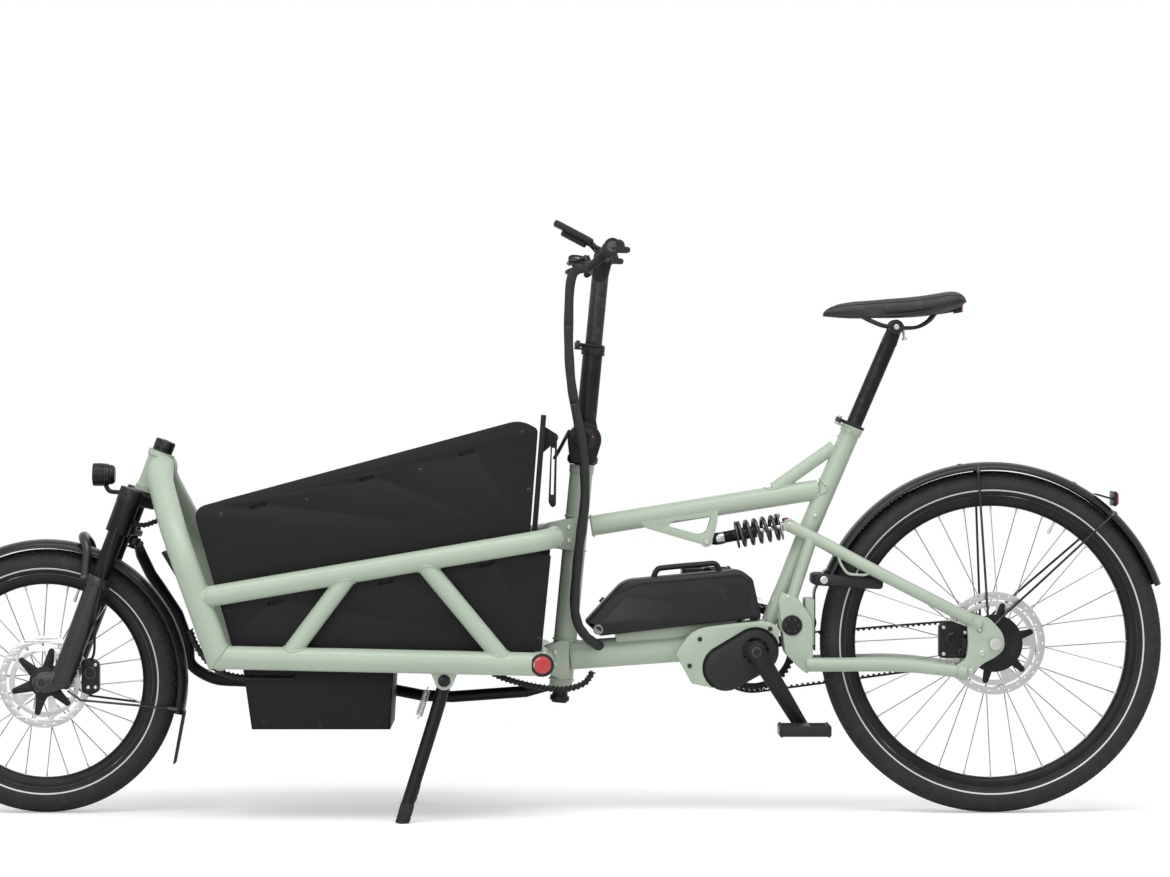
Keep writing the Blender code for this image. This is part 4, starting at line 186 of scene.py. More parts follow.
def turns_of(count):
    """The angles of this many even steps round a circle."""
    return [2 * math.pi * step / count for step in range(count)]


def facing(origin, axis):
    """A frame at origin whose Z runs along axis and whose Y stays across the bike where it can."""
    z = axis.normalized()
    upright = Vector((0, 1, 0)) if abs(z.y) < 0.9 else Vector((1, 0, 0))
    x = upright.cross(z).normalized()
    turn = Matrix((x, z.cross(x), z)).transposed().to_4x4()
    return Matrix.Translation(origin) @ turn


def through(points, steps=6, closed=False):
    """A smooth curve through points, with this many steps between two of them."""
    route = []
    count = len(points)
    for number in range(count if closed else count - 1):
        if closed:
            before, start, end, after = (points[(number + shift) % count] for shift in (-1, 0, 1, 2))
        else:
            before, start = points[max(number - 1, 0)], points[number]
            end, after = points[number + 1], points[min(number + 2, count - 1)]
        for step in range(steps):
            t = step / steps
            route.append(0.5 * (
                2 * start + (end - before) * t + (2 * before - 5 * start + 4 * end - after) * t ** 2
                + (3 * start - before - 3 * end + after) * t ** 3
            ))
    return route if closed else route + [points[-1]]


WELD_RIPPLE = 0.16


def add_mesh(shape, mesh):
    """Adds a mesh to a shape under way and drops the mesh."""
    shape.from_mesh(mesh)
    bpy.data.meshes.remove(mesh)


def add_tube(shape, path, radius, sides=28, tapers=None, closed=False):
    """A round tube along a path; tapers gives each point's share of the radius."""
    curve = bpy.data.curves.new("tube", "CURVE")
    curve.dimensions = "3D"
    curve.bevel_depth = radius
    curve.bevel_resolution = (sides - 4) // 2
    curve.use_fill_caps = True
    spline = curve.splines.new("POLY")
    spline.points.add(len(path) - 1)
    spline.use_cyclic_u = closed
    for number, place in enumerate(path):
        spline.points[number].co = (*place, 1)
        spline.points[number].radius = tapers[number] if tapers else 1
    add_curve(shape, curve)


def add_curve(shape, curve, place=Matrix()):
    """A curve made a mesh, its caps welded, its faces outwards, set in place."""
    source = bpy.data.objects.new("curve", curve)
    mesh = bpy.data.meshes.new_from_object(source)
    bpy.data.objects.remove(source)
    bpy.data.curves.remove(curve)
    part = bmesh.new()
    part.from_mesh(mesh)
    bmesh.ops.remove_doubles(part, verts=part.verts, dist=0.000005)
    bmesh.ops.recalc_face_normals(part, faces=part.faces)
    bmesh.ops.transform(part, matrix=place, verts=part.verts)
    part.to_mesh(mesh)
    part.free()
    add_mesh(shape, mesh)


def add_turned(shape, origin, axis, profile, steps=40, ring=False):
    """Points of (distance along axis, radius) turned about that axis; a ring doesn't close on the axis."""
    part = bmesh.new()
    if not ring:
        profile = [(profile[0][0], 0), *profile, (profile[-1][0], 0)]
    points = [part.verts.new((radius, 0, distance)) for distance, radius in profile]
    following = points[1:] + points[:1] if ring else points[1:]
    edges = [part.edges.new(pair) for pair in zip(points, following)]
    bmesh.ops.spin(part, geom=points + edges, axis=(0, 0, 1), cent=(0, 0, 0), angle=2 * math.pi, steps=steps,
                   use_merge=True)
    bmesh.ops.remove_doubles(part, verts=part.verts, dist=0.000005)
    bmesh.ops.recalc_face_normals(part, faces=part.faces)
    bmesh.ops.transform(part, matrix=facing(origin, axis), verts=part.verts)
    mesh = bpy.data.meshes.new("turned")
    part.to_mesh(mesh)
    part.free()
    add_mesh(shape, mesh)


def trim(shape, point, normal):
    """Takes away what lies beyond a plane and closes the cut end."""
    geometry = shape.verts[:] + shape.edges[:] + shape.faces[:]
    cut_ring = bmesh.ops.bisect_plane(shape, geom=geometry, dist=0.000001, plane_co=point, plane_no=normal,
                                      clear_outer=True)["geom_cut"]
    bmesh.ops.edgeloop_fill(shape, edges=[edge for edge in cut_ring if isinstance(edge, bmesh.types.BMEdge)])


def add_bead(shape, ring, radius):
    """A closed bead of weld along a ring of points, rippled at every other point."""
    add_tube(shape, ring, radius, 8, [1 + WELD_RIPPLE * (step % 2) for step in range(len(ring))], closed=True)


def add_weld(shape, branch, heading, branch_radius, main, lie, main_radius, bead=0.0021):
    """The rippled bead where a branch tube, heading for a main tube, meets its skin."""
    place = facing(branch, heading)
    heading, lie = heading.normalized(), lie.normalized()
    ring = []
    for step in range(56):
        angle = 2 * math.pi * step / 56
        start = place @ Vector((branch_radius * math.cos(angle), branch_radius * math.sin(angle), 0))
        away = start - main
        away -= away.dot(lie) * lie
        aim = heading - heading.dot(lie) * lie
        square, half = aim.dot(aim), away.dot(aim)
        under = max(half * half - square * (away.dot(away) - main_radius ** 2), 0)
        ring.append(start + (-half - math.sqrt(under)) / square * heading)
    add_bead(shape, ring, bead)


def piece(shape, name, body, material, slot, *nodes, sharp=38, edge=0.0):
    """The finished piece: shaded, given its finish, hung on its body and shown in place of its CAD nodes."""
    mesh = bpy.data.meshes.new(name)
    shape.to_mesh(mesh)
    shape.free()
    mesh.shade_smooth()
    mesh.set_sharp_from_angle(angle=math.radians(sharp))
    made = bpy.data.objects.new(name, mesh)
    bpy.context.scene.collection.objects.link(made)
    mesh.materials.append(material)
    if edge:
        rounding = made.modifiers.new("Bevel", "BEVEL")
        rounding.width = edge
        rounding.segments = 2
        rounding.limit_method = "ANGLE"
        rounding.angle_limit = math.radians(40)
        rounding.harden_normals = False
    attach(made, body)
    if nodes:
        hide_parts(*nodes)
    return made


HEAD_UP = Vector((math.sin(math.radians(20.5)), 0, math.cos(math.radians(20.5))))
HEAD_FORWARD = Vector((-HEAD_UP.z, 0, HEAD_UP.x))
FRONT_AXLE = Vector((-0.9625, 0, 0.258))
HEAD_TOP = FRONT_AXLE - 0.0545 * HEAD_FORWARD + 0.4985 * HEAD_UP
RAIL_CORNER = Vector((-0.609, 0, 0.3165))
CROSS_TUBE_REAR = Vector((0.0084, 0, 0.303))
RAIL_LIE = (CROSS_TUBE_REAR - RAIL_CORNER).normalized()
RAIL_SPREAD = 0.215
LEG_RADIUS = 0.025
LOWER_RAIL_RADIUS = 0.0225
LEG_BENDS = ((0.0005, 0.0, -0.027), (0.0026, 0.06, -0.052), (0.0136, 0.105, -0.083), (0.0327, 0.165, -0.131),
             (0.0577, 0.208, -0.1945))


def on_head(down, forward=0.0, y=0.0):
    """A point this far down the head tube's axis and this far in front of it."""
    return HEAD_TOP - down * HEAD_UP + forward * HEAD_FORWARD + Vector((0, y, 0))


def leg_route(side):
    bends = [HEAD_TOP + across(bend, side) for bend in LEG_BENDS]
    foot = RAIL_CORNER + Vector((0, side * RAIL_SPREAD, 0))
    return bends + [bends[-1].lerp(foot, 0.4), foot]


LEG_END = leg_route(1)[-1] - leg_route(1)[-2]
MITRE = (Vector((LEG_END.x, 0, LEG_END.z)).normalized() + RAIL_LIE).normalized()

yoke = bmesh.new()
left, right = leg_route(-1), leg_route(1)
beyond = [foot + 0.06 * (foot - before).normalized() for *_, before, foot in (left, right)]
add_tube(yoke, [beyond[0], left[-1], *through(left[-2:0:-1] + right[:-1], 8), right[-1], beyond[1]],
         LEG_RADIUS, 40)
trim(yoke, RAIL_CORNER, MITRE)
add_turned(yoke, on_head(0.084), HEAD_UP,
           [(0, 0.026), (0.01, 0.0262), (0.0125, 0.0235), (0.016, 0.023), (0.068, 0.023), (0.0715, 0.0235),
            (0.074, 0.0262), (0.084, 0.026), (0.084, 0.0155), (0, 0.0155)], 56, ring=True)
for side in (-1, 1):
    start = HEAD_TOP + across(LEG_BENDS[1], side)
    add_weld(yoke, start, Vector((0, -side, 0.36)), LEG_RADIUS, on_head(0), HEAD_UP, 0.0232, 0.0024)
front_tube = RAIL_CORNER + Vector((0.0023, 0, -0.0103))
add_tube(yoke, [front_tube + Vector((0, y, 0)) for y in (-0.208, 0.208)], 0.015, 28)
for side in (-1, 1):
    foot = RAIL_CORNER + Vector((0, side * RAIL_SPREAD, 0))
    add_weld(yoke, front_tube, Vector((0, side, 0)), 0.015, foot, LEG_END, LEG_RADIUS)
    place = facing(foot, MITRE)
    ring = [place @ Vector((0.0247 * math.cos(a), 0.0247 * math.sin(a), 0)) for a in turns_of(60)]
    slope = abs(MITRE.dot(RAIL_LIE))
    ring = [foot + Vector((0, p.y - foot.y, 0)) + (p - foot - Vector((0, p.y - foot.y, 0))) / slope
            for p in ring]
    add_bead(yoke, ring, 0.0019)
piece(yoke, "yoke_and_legs", "frame", SAGE, "sage_paint", "front_yoke")


# Upper rail: one long tube that starts on the left leg, goes round behind the box and ends on the right leg.
# Bent aluminium tube; its two ends are mitred to the legs and welded all round.

def rounded(points, radius, steps=10):
    """A run of straight lines whose corners are rounded to this radius."""
    route = [points[0]]
    for before, corner, after in zip(points, points[1:], points[2:]):
        back, on = (before - corner).normalized(), (after - corner).normalized()
        half = back.angle(on) / 2
        middle = corner + (back + on).normalized() * radius / math.sin(half)
        start = corner + back * radius / math.tan(half) - middle
        end = corner + on * radius / math.tan(half) - middle
        sweep = start.angle(end)
        for step in range(steps + 1):
            turn = sweep * step / steps
            route.append(middle + (math.sin(sweep - turn) * start + math.sin(turn) * end) / math.sin(sweep))
    return route + [points[-1]]


UPPER_RAIL_START = Vector((-0.6504, 0, 0.4283))
UPPER_CROSS_TUBE = Vector((0.03, 0, 0.5432))
UPPER_RAIL_LIE = (UPPER_CROSS_TUBE - UPPER_RAIL_START).normalized()
UPPER_RAIL_RADIUS = 0.02

upper_rail = bmesh.new()
out = Vector((0, RAIL_SPREAD, 0))
add_tube(upper_rail, rounded([UPPER_RAIL_START - out, UPPER_CROSS_TUBE - out, UPPER_CROSS_TUBE + out,
                              UPPER_RAIL_START + out], 0.058), UPPER_RAIL_RADIUS, 36)
for side in (-1, 1):
    add_weld(upper_rail, UPPER_RAIL_START + side * out + 0.08 * UPPER_RAIL_LIE, -UPPER_RAIL_LIE,
             UPPER_RAIL_RADIUS, leg_route(side)[-1], LEG_END, LEG_RADIUS)
piece(upper_rail, "upper_rail_tube", "frame", SAGE, "sage_paint", "upper_rail")


# Side trusses: a lower rail under each side of the box, two leaning braces up to the upper rail,
# and a pressed ear that takes the kickstand's axle. Straight aluminium tube, welded at every joint.

def arc(centre, radius, start, end, steps):
    """Points on a circle from one angle to another, in degrees."""
    angles = [math.radians(start + (end - start) * step / steps) for step in range(steps + 1)]
    return [(centre[0] + radius * math.cos(a), centre[1] + radius * math.sin(a)) for a in angles]


def circle(centre, radius, count=32):
    return arc(centre, radius, 0, 360 - 360 / count, count - 1)


def strap(near, far, near_radius, far_radius, steps=14):
    """The outline drawn tight round two circles."""
    across_by, up_by = far[0] - near[0], far[1] - near[1]
    heading = math.degrees(math.atan2(up_by, across_by))
    lean = math.degrees(math.acos((near_radius - far_radius) / math.hypot(across_by, up_by)))
    return (arc(near, near_radius, heading + lean, heading + 360 - lean, steps)
            + arc(far, far_radius, heading - lean, heading + lean, steps))


def side_on(y=0.0):
    """Puts a flat outline, given as (x, z), upright at this y."""
    return Matrix.Translation((0, y, 0)) @ Matrix.Rotation(math.pi / 2, 4, "X")


def add_plate(shape, outline, thickness, place, holes=(), edge=0.001):
    """A flat outline with holes, cut from sheet this thick, its edges rounded off."""
    curve = bpy.data.curves.new("plate", "CURVE")
    curve.dimensions = "2D"
    curve.fill_mode = "BOTH"
    curve.extrude = thickness / 2 - edge
    curve.bevel_depth = edge
    curve.bevel_resolution = 1
    curve.offset = -edge
    for loop in (outline, *holes):
        spline = curve.splines.new("POLY")
        spline.points.add(len(loop) - 1)
        spline.use_cyclic_u = True
        for point, (ahead, up) in zip(spline.points, loop):
            point.co = (ahead, up, 0, 1)
    add_curve(shape, curve, place)


STAND_AXIS = Vector((-0.179, 0, 0.271))


def rail_height(x):
    return RAIL_CORNER.z + (x - RAIL_CORNER.x) * RAIL_LIE.z / RAIL_LIE.x


def upper_rail_height(x):
    return UPPER_RAIL_START.z + (x - UPPER_RAIL_START.x) * UPPER_RAIL_LIE.z / UPPER_RAIL_LIE.x


for side, label in SIDES:
    truss = bmesh.new()
    out = Vector((0, side * RAIL_SPREAD, 0))
    add_tube(truss, [RAIL_CORNER - 0.06 * RAIL_LIE + out, CROSS_TUBE_REAR + out], LOWER_RAIL_RADIUS, 40)
    trim(truss, RAIL_CORNER, -MITRE)
    for foot, head in ((-0.48, -0.357), (-0.06, -0.222)):
        low = Vector((foot, 0, rail_height(foot))) + out
        high = Vector((head, 0, upper_rail_height(head))) + out
        middle = low.lerp(high, 0.5)
        add_tube(truss, [low, high], 0.0175, 32)
        add_weld(truss, middle, low - high, 0.0175, low, RAIL_LIE, LOWER_RAIL_RADIUS)
        add_weld(truss, middle, high - low, 0.0175, high, UPPER_RAIL_LIE, UPPER_RAIL_RADIUS)
    add_weld(truss, CROSS_TUBE_REAR + out - 0.1 * RAIL_LIE, RAIL_LIE, LOWER_RAIL_RADIUS - 0.0006,
             CROSS_TUBE_REAR, Vector((0, 1, 0)), LOWER_RAIL_RADIUS)
    root = rail_height(STAND_AXIS.x)
    at = (STAND_AXIS.x, STAND_AXIS.z)
    ear = [(at[0] - 0.034, root), *arc(at, 0.018, 200, 340, 18), (at[0] + 0.034, root)]
    add_plate(truss, ear, 0.006, side_on(side * 0.203), [circle(at, 0.0118)])
    piece(truss, f"truss_{label}", "frame", SAGE, "sage_paint", f"side_truss_{label}")


# Steering tube: the upright tube behind the box,
# with an upper and a lower lug that grip the frame's cross tubes.
# Welded aluminium; the lugs are split and drawn tight with bright cap screws.

def dark_metal(name, colour, rough, grain=420, metallic=0.85, coat=0.0):
    """Anodised or blackened metal: fine turning grain, faint clouding, edges rubbed brighter."""
    metal = Finish(name)
    cloud = metal.noise(18, 4)
    rubbed = metal.wear()
    shade = metal.mix(metal.above(cloud, 0.3, 0.7) * 0.5, colour, tuple(1.7 * share for share in colour))
    shade = metal.mix(rubbed * 0.5, shade, (0.16, 0.16, 0.165))
    grit = metal.noise(grain, 3)
    return metal.done(Base_Color=shade, Metallic=metallic,
                      Roughness=grit * 0.12 + cloud * 0.1 + (rough - 0.11), Coat_Weight=coat,
                      Coat_Roughness=0.25, Normal=metal.bump(grit, 0.00008, 0.3))


def bright_metal(name, colour, rough):
    """Bare or plated metal: brushed grain, with a film of road dust in patches."""
    metal = Finish(name)
    fine = metal.noise(900, 2)
    film = metal.above(metal.noise(40, 5), 0.5, 0.8)
    shade = metal.mix(film * 0.35, colour, tuple(0.55 * share for share in colour))
    return metal.done(Base_Color=shade, Metallic=1.0, Roughness=film * 0.15 + fine * 0.1 + (rough - 0.05),
                      Normal=metal.bump(fine, 0.00005, 0.25))


BLACK_METAL = dark_metal("satin_black_alloy", (0.017, 0.017, 0.018), 0.42)
BRIGHT_STEEL = bright_metal("plated_screw_steel", (0.56, 0.56, 0.55), 0.32)
DARK_SCREW = dark_metal("blackened_screw_steel", (0.03, 0.03, 0.032), 0.38)

STEER_UP = Vector((math.sin(math.radians(5.5)), 0, math.cos(math.radians(5.5))))
STEER_TOP = Vector((0.0862, 0, 0.68))
STEER_TUBE_RADIUS = 0.0225
STEER_TUBE_LENGTH = 0.437


def on_column(down, y=0.0, back=0.0):
    """A point this far below the steering tube's top and this far behind its axis."""
    return STEER_TOP - down * STEER_UP + Vector((back * STEER_UP.z, y, -back * STEER_UP.x))


def add_screw(shape, place, axis, radius=0.0042, height=0.004):
    """A cap screw's head with its hexagon socket; axis points out of the work."""
    add_turned(shape, place, axis,
               [(-0.001, radius), (height - 0.0006, radius), (height - 0.0001, radius - 0.0006),
                (height, radius - 0.001), (height, radius * 0.56), (height * 0.35, radius * 0.52),
                (height * 0.25, 0.0002)], 18)


steering = bmesh.new()
add_turned(steering, on_column(STEER_TUBE_LENGTH), STEER_UP,
           [(0, 0.0215), (0.001, STEER_TUBE_RADIUS), (STEER_TUBE_LENGTH - 0.016, STEER_TUBE_RADIUS),
            (STEER_TUBE_LENGTH - 0.014, STEER_TUBE_RADIUS + 0.0016),
            (STEER_TUBE_LENGTH - 0.0008, STEER_TUBE_RADIUS + 0.0016),
            (STEER_TUBE_LENGTH, STEER_TUBE_RADIUS + 0.0008), (STEER_TUBE_LENGTH, 0.0157), (0, 0.0157)], 48,
           ring=True)
reach = Vector((0, RAIL_SPREAD + 0.0205, 0))
add_tube(steering, [CROSS_TUBE_REAR - reach, CROSS_TUBE_REAR + reach], LOWER_RAIL_RADIUS, 40)
upper_lug_middle, lower_lug_middle = on_column(0.137), on_column(0.385)
upper_lug = [(UPPER_CROSS_TUBE.x + 0.002, UPPER_CROSS_TUBE.z + 0.0262),
             (upper_lug_middle.x + 0.004, upper_lug_middle.z + 0.036),
             (upper_lug_middle.x - 0.002, upper_lug_middle.z - 0.03),
             (UPPER_CROSS_TUBE.x + 0.002, UPPER_CROSS_TUBE.z - 0.0258),
             *arc((UPPER_CROSS_TUBE.x, UPPER_CROSS_TUBE.z), 0.0256, 262, 98, 22)]
add_plate(steering, upper_lug, 0.06, side_on(), edge=0.003)
lower_lug = [(CROSS_TUBE_REAR.x - 0.003, CROSS_TUBE_REAR.z + 0.019),
             (lower_lug_middle.x - 0.006, lower_lug_middle.z + 0.042),
             (lower_lug_middle.x + 0.012, lower_lug_middle.z + 0.042),
             (lower_lug_middle.x + 0.012, lower_lug_middle.z - 0.034),
             (lower_lug_middle.x - 0.006, lower_lug_middle.z - 0.036),
             (CROSS_TUBE_REAR.x - 0.003, CROSS_TUBE_REAR.z - 0.02)]
add_plate(steering, lower_lug, 0.06, side_on(), edge=0.003)
for place, out_to in ((upper_lug_middle, 0.036), (lower_lug_middle, 0.042)):
    for up in (out_to, -out_to + 0.006):
        ring = [
            place + up * STEER_UP + Vector(
                (0.0232 * math.cos(a), 0.0232 * math.sin(a), -0.0022 * math.cos(a))
            ) for a in turns_of(48)
        ]
        add_bead(steering, ring, 0.0019)
piece(steering, "steering_tube_and_lugs", "frame", SAGE, "sage_paint", "steering_tube")

lug_screws = bmesh.new()
for side in (-1, 1):
    for ahead, up in ((0.03, 0.012), (0.03, -0.014)):
        add_screw(lug_screws, UPPER_CROSS_TUBE + Vector((ahead, side * 0.0298, up + 0.004)),
                  Vector((0, side, 0)))
    for ahead, up in ((0.0245, 0.012), (0.0245, -0.012)):
        add_screw(lug_screws, CROSS_TUBE_REAR + Vector((ahead, side * 0.0298, up)), Vector((0, side, 0)))
piece(lug_screws, "lug_screws", "frame", BRIGHT_STEEL, "bright_steel")


# Side reflectors: a red prismatic disc in a black cup, pushed into each open end of the lower cross tube.
# Moulded polycarbonate with rows of small prisms behind the lens.

def moulded(name, colour, rough, grain=650, depth=0.00012):
    """Moulded plastic: a fine even texture, slight sheen, edges worn smooth."""
    plastic = Finish(name)
    grit = plastic.node("TexVoronoi", {"feature": "F1"}, {"Vector": plastic.place, "Scale": grain})
    cloud = plastic.noise(14, 4)
    dust = plastic.above(plastic.noise(46, 5), 0.55, 0.85) * 0.3
    shade = plastic.mix(plastic.above(cloud, 0.35, 0.65) * 0.4, colour,
                        tuple(1.5 * share for share in colour))
    shade = plastic.mix(dust, shade, (0.055, 0.054, 0.052))
    return plastic.done(Base_Color=shade, Specular_IOR_Level=0.26,
                        Roughness=cloud * 0.14 + dust * 0.3 + (rough - 0.07),
                        Normal=plastic.bump(grit, depth, 0.35))


BLACK_PLASTIC = moulded("grained_black_plastic", (0.014, 0.014, 0.015), 0.48)

prisms = Finish("red_prism_lens")
cells = prisms.node("TexVoronoi", {"feature": "F1", "distance": "CHEBYCHEV"},
                    {"Vector": prisms.place, "Scale": 420, "Randomness": 0.15})
# The lighter and darker prism facets in the lens colour are painted glints.
painted_lens_glint = prisms.above(cells, 0.1, 0.55)
RED_LENS = prisms.done(Base_Color=prisms.mix(painted_lens_glint, (0.62, 0.018, 0.015), (0.3, 0.006, 0.006)),
                       Roughness=painted_lens_glint * 0.12 + 0.12, Coat_Weight=0.8, Coat_Roughness=0.05,
                       Normal=prisms.bump(cells, 0.0004, 0.6))

for side, label in SIDES:
    cup = bmesh.new()
    middle = CROSS_TUBE_REAR + Vector((0, side * 0.2345, 0))
    add_turned(cup, middle, Vector((0, side, 0)),
               [(0, 0.0215), (0.0008, 0.0222), (0.0024, 0.0222), (0.003, 0.0214), (0.003, 0.0172),
                (0.0016, 0.0168), (0.0012, 0.001)], 48)
    piece(cup, f"reflector_cup_{label}", "frame", BLACK_PLASTIC, "black_plastic")
    lens_disc = bmesh.new()
    add_turned(lens_disc, middle, Vector((0, side, 0)),
               [(0.0012, 0.0169), (0.0024, 0.0168), (0.003, 0.015), (0.0034, 0.01), (0.0035, 0.003)], 48)
    piece(lens_disc, f"side_reflector_{label}", "frame", RED_LENS, "black_plastic")


# Down tube: it runs back from the lower lug,
# carries the battery's cradle on top and opens into the motor's shell.
# Aluminium tube welded to a two-part shell that wraps the motor from above.

MOTOR_ENDS = ((0.366, 0.285), (0.4238, 0.3183))
MOTOR_RADII = (0.045, 0.046)
CRANK_AXIS = Vector((0.4238, 0, 0.3183))
BATTERY_FOOT = Vector((0.1209, 0, 0.3472))
BATTERY_HEEL = Vector((0.4056, 0, 0.3804))
BATTERY_LIE = (BATTERY_HEEL - BATTERY_FOOT).normalized()
BATTERY_DOWN = Vector((BATTERY_LIE.z, 0, -BATTERY_LIE.x))
COWL_OUTLINE = [(0.268, 0.312), (0.274, 0.3235), (0.282, 0.334), (0.29, 0.345), (0.3, 0.3548),
                (0.314, 0.362), (0.331, 0.366), (0.38, 0.372), (0.433, 0.377), (0.452, 0.3745),
                (0.467, 0.3668), (0.47, 0.356)]


def rectangle(half_x, half_y, reach, middle=0.0):
    """The corners of a rectangle about (middle, 0), each with the reach of its rounding."""
    return tuple((middle + x, y, reach)
                 for x, y in ((-half_x, -half_y), (half_x, -half_y), (half_x, half_y), (-half_x, half_y)))


def soft(corners, steps=8):
    """A closed outline from (x, z, reach): each corner is rounded off over its reach."""
    outline = []
    count = len(corners)
    for number, (x, z, reach) in enumerate(corners):
        here = Vector((x, z))
        if not reach:
            outline.append((x, z))
            continue
        start = here + (Vector(corners[number - 1][:2]) - here).normalized() * reach
        end = here + (Vector(corners[(number + 1) % count][:2]) - here).normalized() * reach
        for step in range(steps + 1):
            t = step / steps
            outline.append(tuple((1 - t) ** 2 * start + 2 * t * (1 - t) * here + t ** 2 * end))
    return outline


down = bmesh.new()
down_start, down_end = Vector((0.047, 0, 0.3065)), Vector((0.3, 0, 0.3245))
down_lie = (down_end - down_start).normalized()
add_tube(down, [down_start + 0.016 * down_lie, down_end], 0.0285, 44)
shell_top = COWL_OUTLINE + arc(MOTOR_ENDS[1], MOTOR_RADII[1] + 0.0004, 14, 118.5, 18)
shell_top += arc(MOTOR_ENDS[0], MOTOR_RADII[0] + 0.0004, 120, 238, 22) + [(0.306, 0.254), (0.299, 0.256)]
add_plate(down, shell_top, 0.104, side_on(), edge=0.0035)
start = BATTERY_FOOT + 0.03 * BATTERY_LIE + 0.0004 * BATTERY_DOWN
end = BATTERY_FOOT + 0.27 * BATTERY_LIE + 0.0004 * BATTERY_DOWN
cradle = [(p.x, p.z) for p in (start, end, end + 0.012 * BATTERY_DOWN, start + 0.03 * BATTERY_DOWN)]
add_plate(down, cradle, 0.04, side_on(), edge=0.002)
ring = [down_start + 0.02 * down_lie + Vector((0, 0.029 * math.cos(a), 0.029 * math.sin(a)))
        for a in turns_of(56)]
add_bead(down, ring, 0.0022)
for side in (-1, 1):
    seam = [Vector((x, side * 0.0505, z)) for x, z in COWL_OUTLINE[3:10]]
    add_tube(down, [place - Vector((0, 0, 0.0042)) for place in seam], 0.0012, 8)
piece(down, "down_tube_and_shell", "frame", SAGE, "sage_paint", "down_tube")


# Top tube: a straight tube from the upper lug to the seat tube,
# with a forked bracket below for the shock's front eye.
# Aluminium tube; the bracket is two cut plates, welded on, with a lightening window.

TOP_TUBE_START = Vector((0.0735, 0, 0.556))
TOP_TUBE_END = Vector((0.555, 0, 0.6331))
TOP_LIE = (TOP_TUBE_END - TOP_TUBE_START).normalized()
SHOCK_FRONT = Vector((0.3295, 0, 0.532))
SHOCK_REAR = Vector((0.4914, 0, 0.5623))
SEAT_UP = Vector((math.sin(math.radians(23.3)), 0, math.cos(math.radians(23.3))))
SEAT_TUBE_TOP = Vector((0.617, 0, 0.755))
SEAT_TUBE_LENGTH = 0.415
PIVOT = Vector((0.4944, 0, 0.3688))

top = bmesh.new()
add_tube(top, [TOP_TUBE_START + 0.03 * TOP_LIE, TOP_TUBE_END - 0.006 * TOP_LIE], 0.02, 36)
eye = arc((SHOCK_FRONT.x, SHOCK_FRONT.z), 0.012, 215, 370, 24)
bracket = [(0.196, 0.572), (0.205, 0.562), (0.214, 0.556), *eye, (0.349, 0.56), (0.354, 0.599), (0.33, 0.6)]
window = soft(
    ((0.262, 0.57, 0.006), (0.255, 0.56, 0.003), (0.316, 0.544, 0.006), (0.33, 0.55, 0.006),
     (0.339, 0.58, 0.006)), 5,
)
for side in (-1, 1):
    add_plate(top, bracket, 0.006, side_on(side * 0.0153), [window], 0.0012)
for place, heading, radius in ((TOP_TUBE_START + 0.0335 * TOP_LIE, -TOP_LIE, 0.0205),):
    frame_there = facing(place, heading)
    ring = [frame_there @ Vector((radius * math.cos(a), radius * math.sin(a), 0)) for a in turns_of(48)]
    add_bead(top, ring, 0.002)
add_weld(top, TOP_TUBE_END - 0.1 * TOP_LIE, TOP_LIE, 0.02, SEAT_TUBE_TOP, SEAT_UP, 0.0192)
piece(top, "top_tube_and_bracket", "frame", SAGE, "sage_paint", "top_tube")
pin = bmesh.new()
add_turned(pin, SHOCK_FRONT - Vector((0, 0.0205, 0)), Vector((0, 1, 0)),
           [(0, 0.0058), (0.001, 0.0064), (0.0024, 0.0064), (0.0024, 0.005), (0.0386, 0.005),
            (0.0386, 0.0064), (0.04, 0.0064), (0.041, 0.0058)], 24)
piece(pin, "shock_front_bolt", "frame", BRIGHT_STEEL, "bright_steel")


# Seat tube: it stands on the pivot's lug and takes the seatpost; a strut braces it over the top tube.
# Tapered aluminium tube, welded to a forged lug that holds the swingarm's bearing.

CLAMP_REACH = 0.031
CLAMP_TAB = [(-0.0175, 0.007), *arc((-CLAMP_REACH, 0), 0.006, 90, 270, 12), (-0.0175, -0.007)]


def before_tube(collar, axis, ahead=CLAMP_REACH):
    """A point in front of a tube, level with its clamp's collar."""
    return collar + ahead * Vector((-axis.z, 0, axis.x))


def add_clamp_tab(shape, collar, axis):
    add_plate(shape, CLAMP_TAB, 0.005, facing(collar, axis), edge=0.0008)


def add_clamp_pin(shape, collar, axis):
    """The headed pin that stands in a clamp's tab."""
    add_turned(shape, before_tube(collar, axis), axis,
               [(0, 0.003), (0.0128, 0.003), (0.0132, 0.0046), (0.015, 0.0046), (0.0155, 0.0036)], 20)


def add_quick_lever(name, body, collar, axis):
    """A clamp's quick lever: an eye round its pin, and a blade bent back along the tube's side."""
    lever = bmesh.new()
    add_turned(lever, before_tube(collar, axis) + 0.0028 * axis, axis,
               [(0, 0.006), (0.0006, 0.0065), (0.0084, 0.0065), (0.009, 0.006), (0.009, 0.0034), (0, 0.0034)],
               28, ring=True)
    blade = through([before_tube(collar, axis, ahead) + 0.0073 * axis + Vector((0, y, 0)) for ahead, y in
                     ((0.029, -0.0045), (0.026, -0.02), (0.008, -0.032), (-0.02, -0.035))], 6)
    add_tube(lever, blade, 0.0038, 18, [1 - 0.25 * step / 18 for step in range(19)])
    piece(lever, name, body, BLACK_METAL, "black_metal", body)


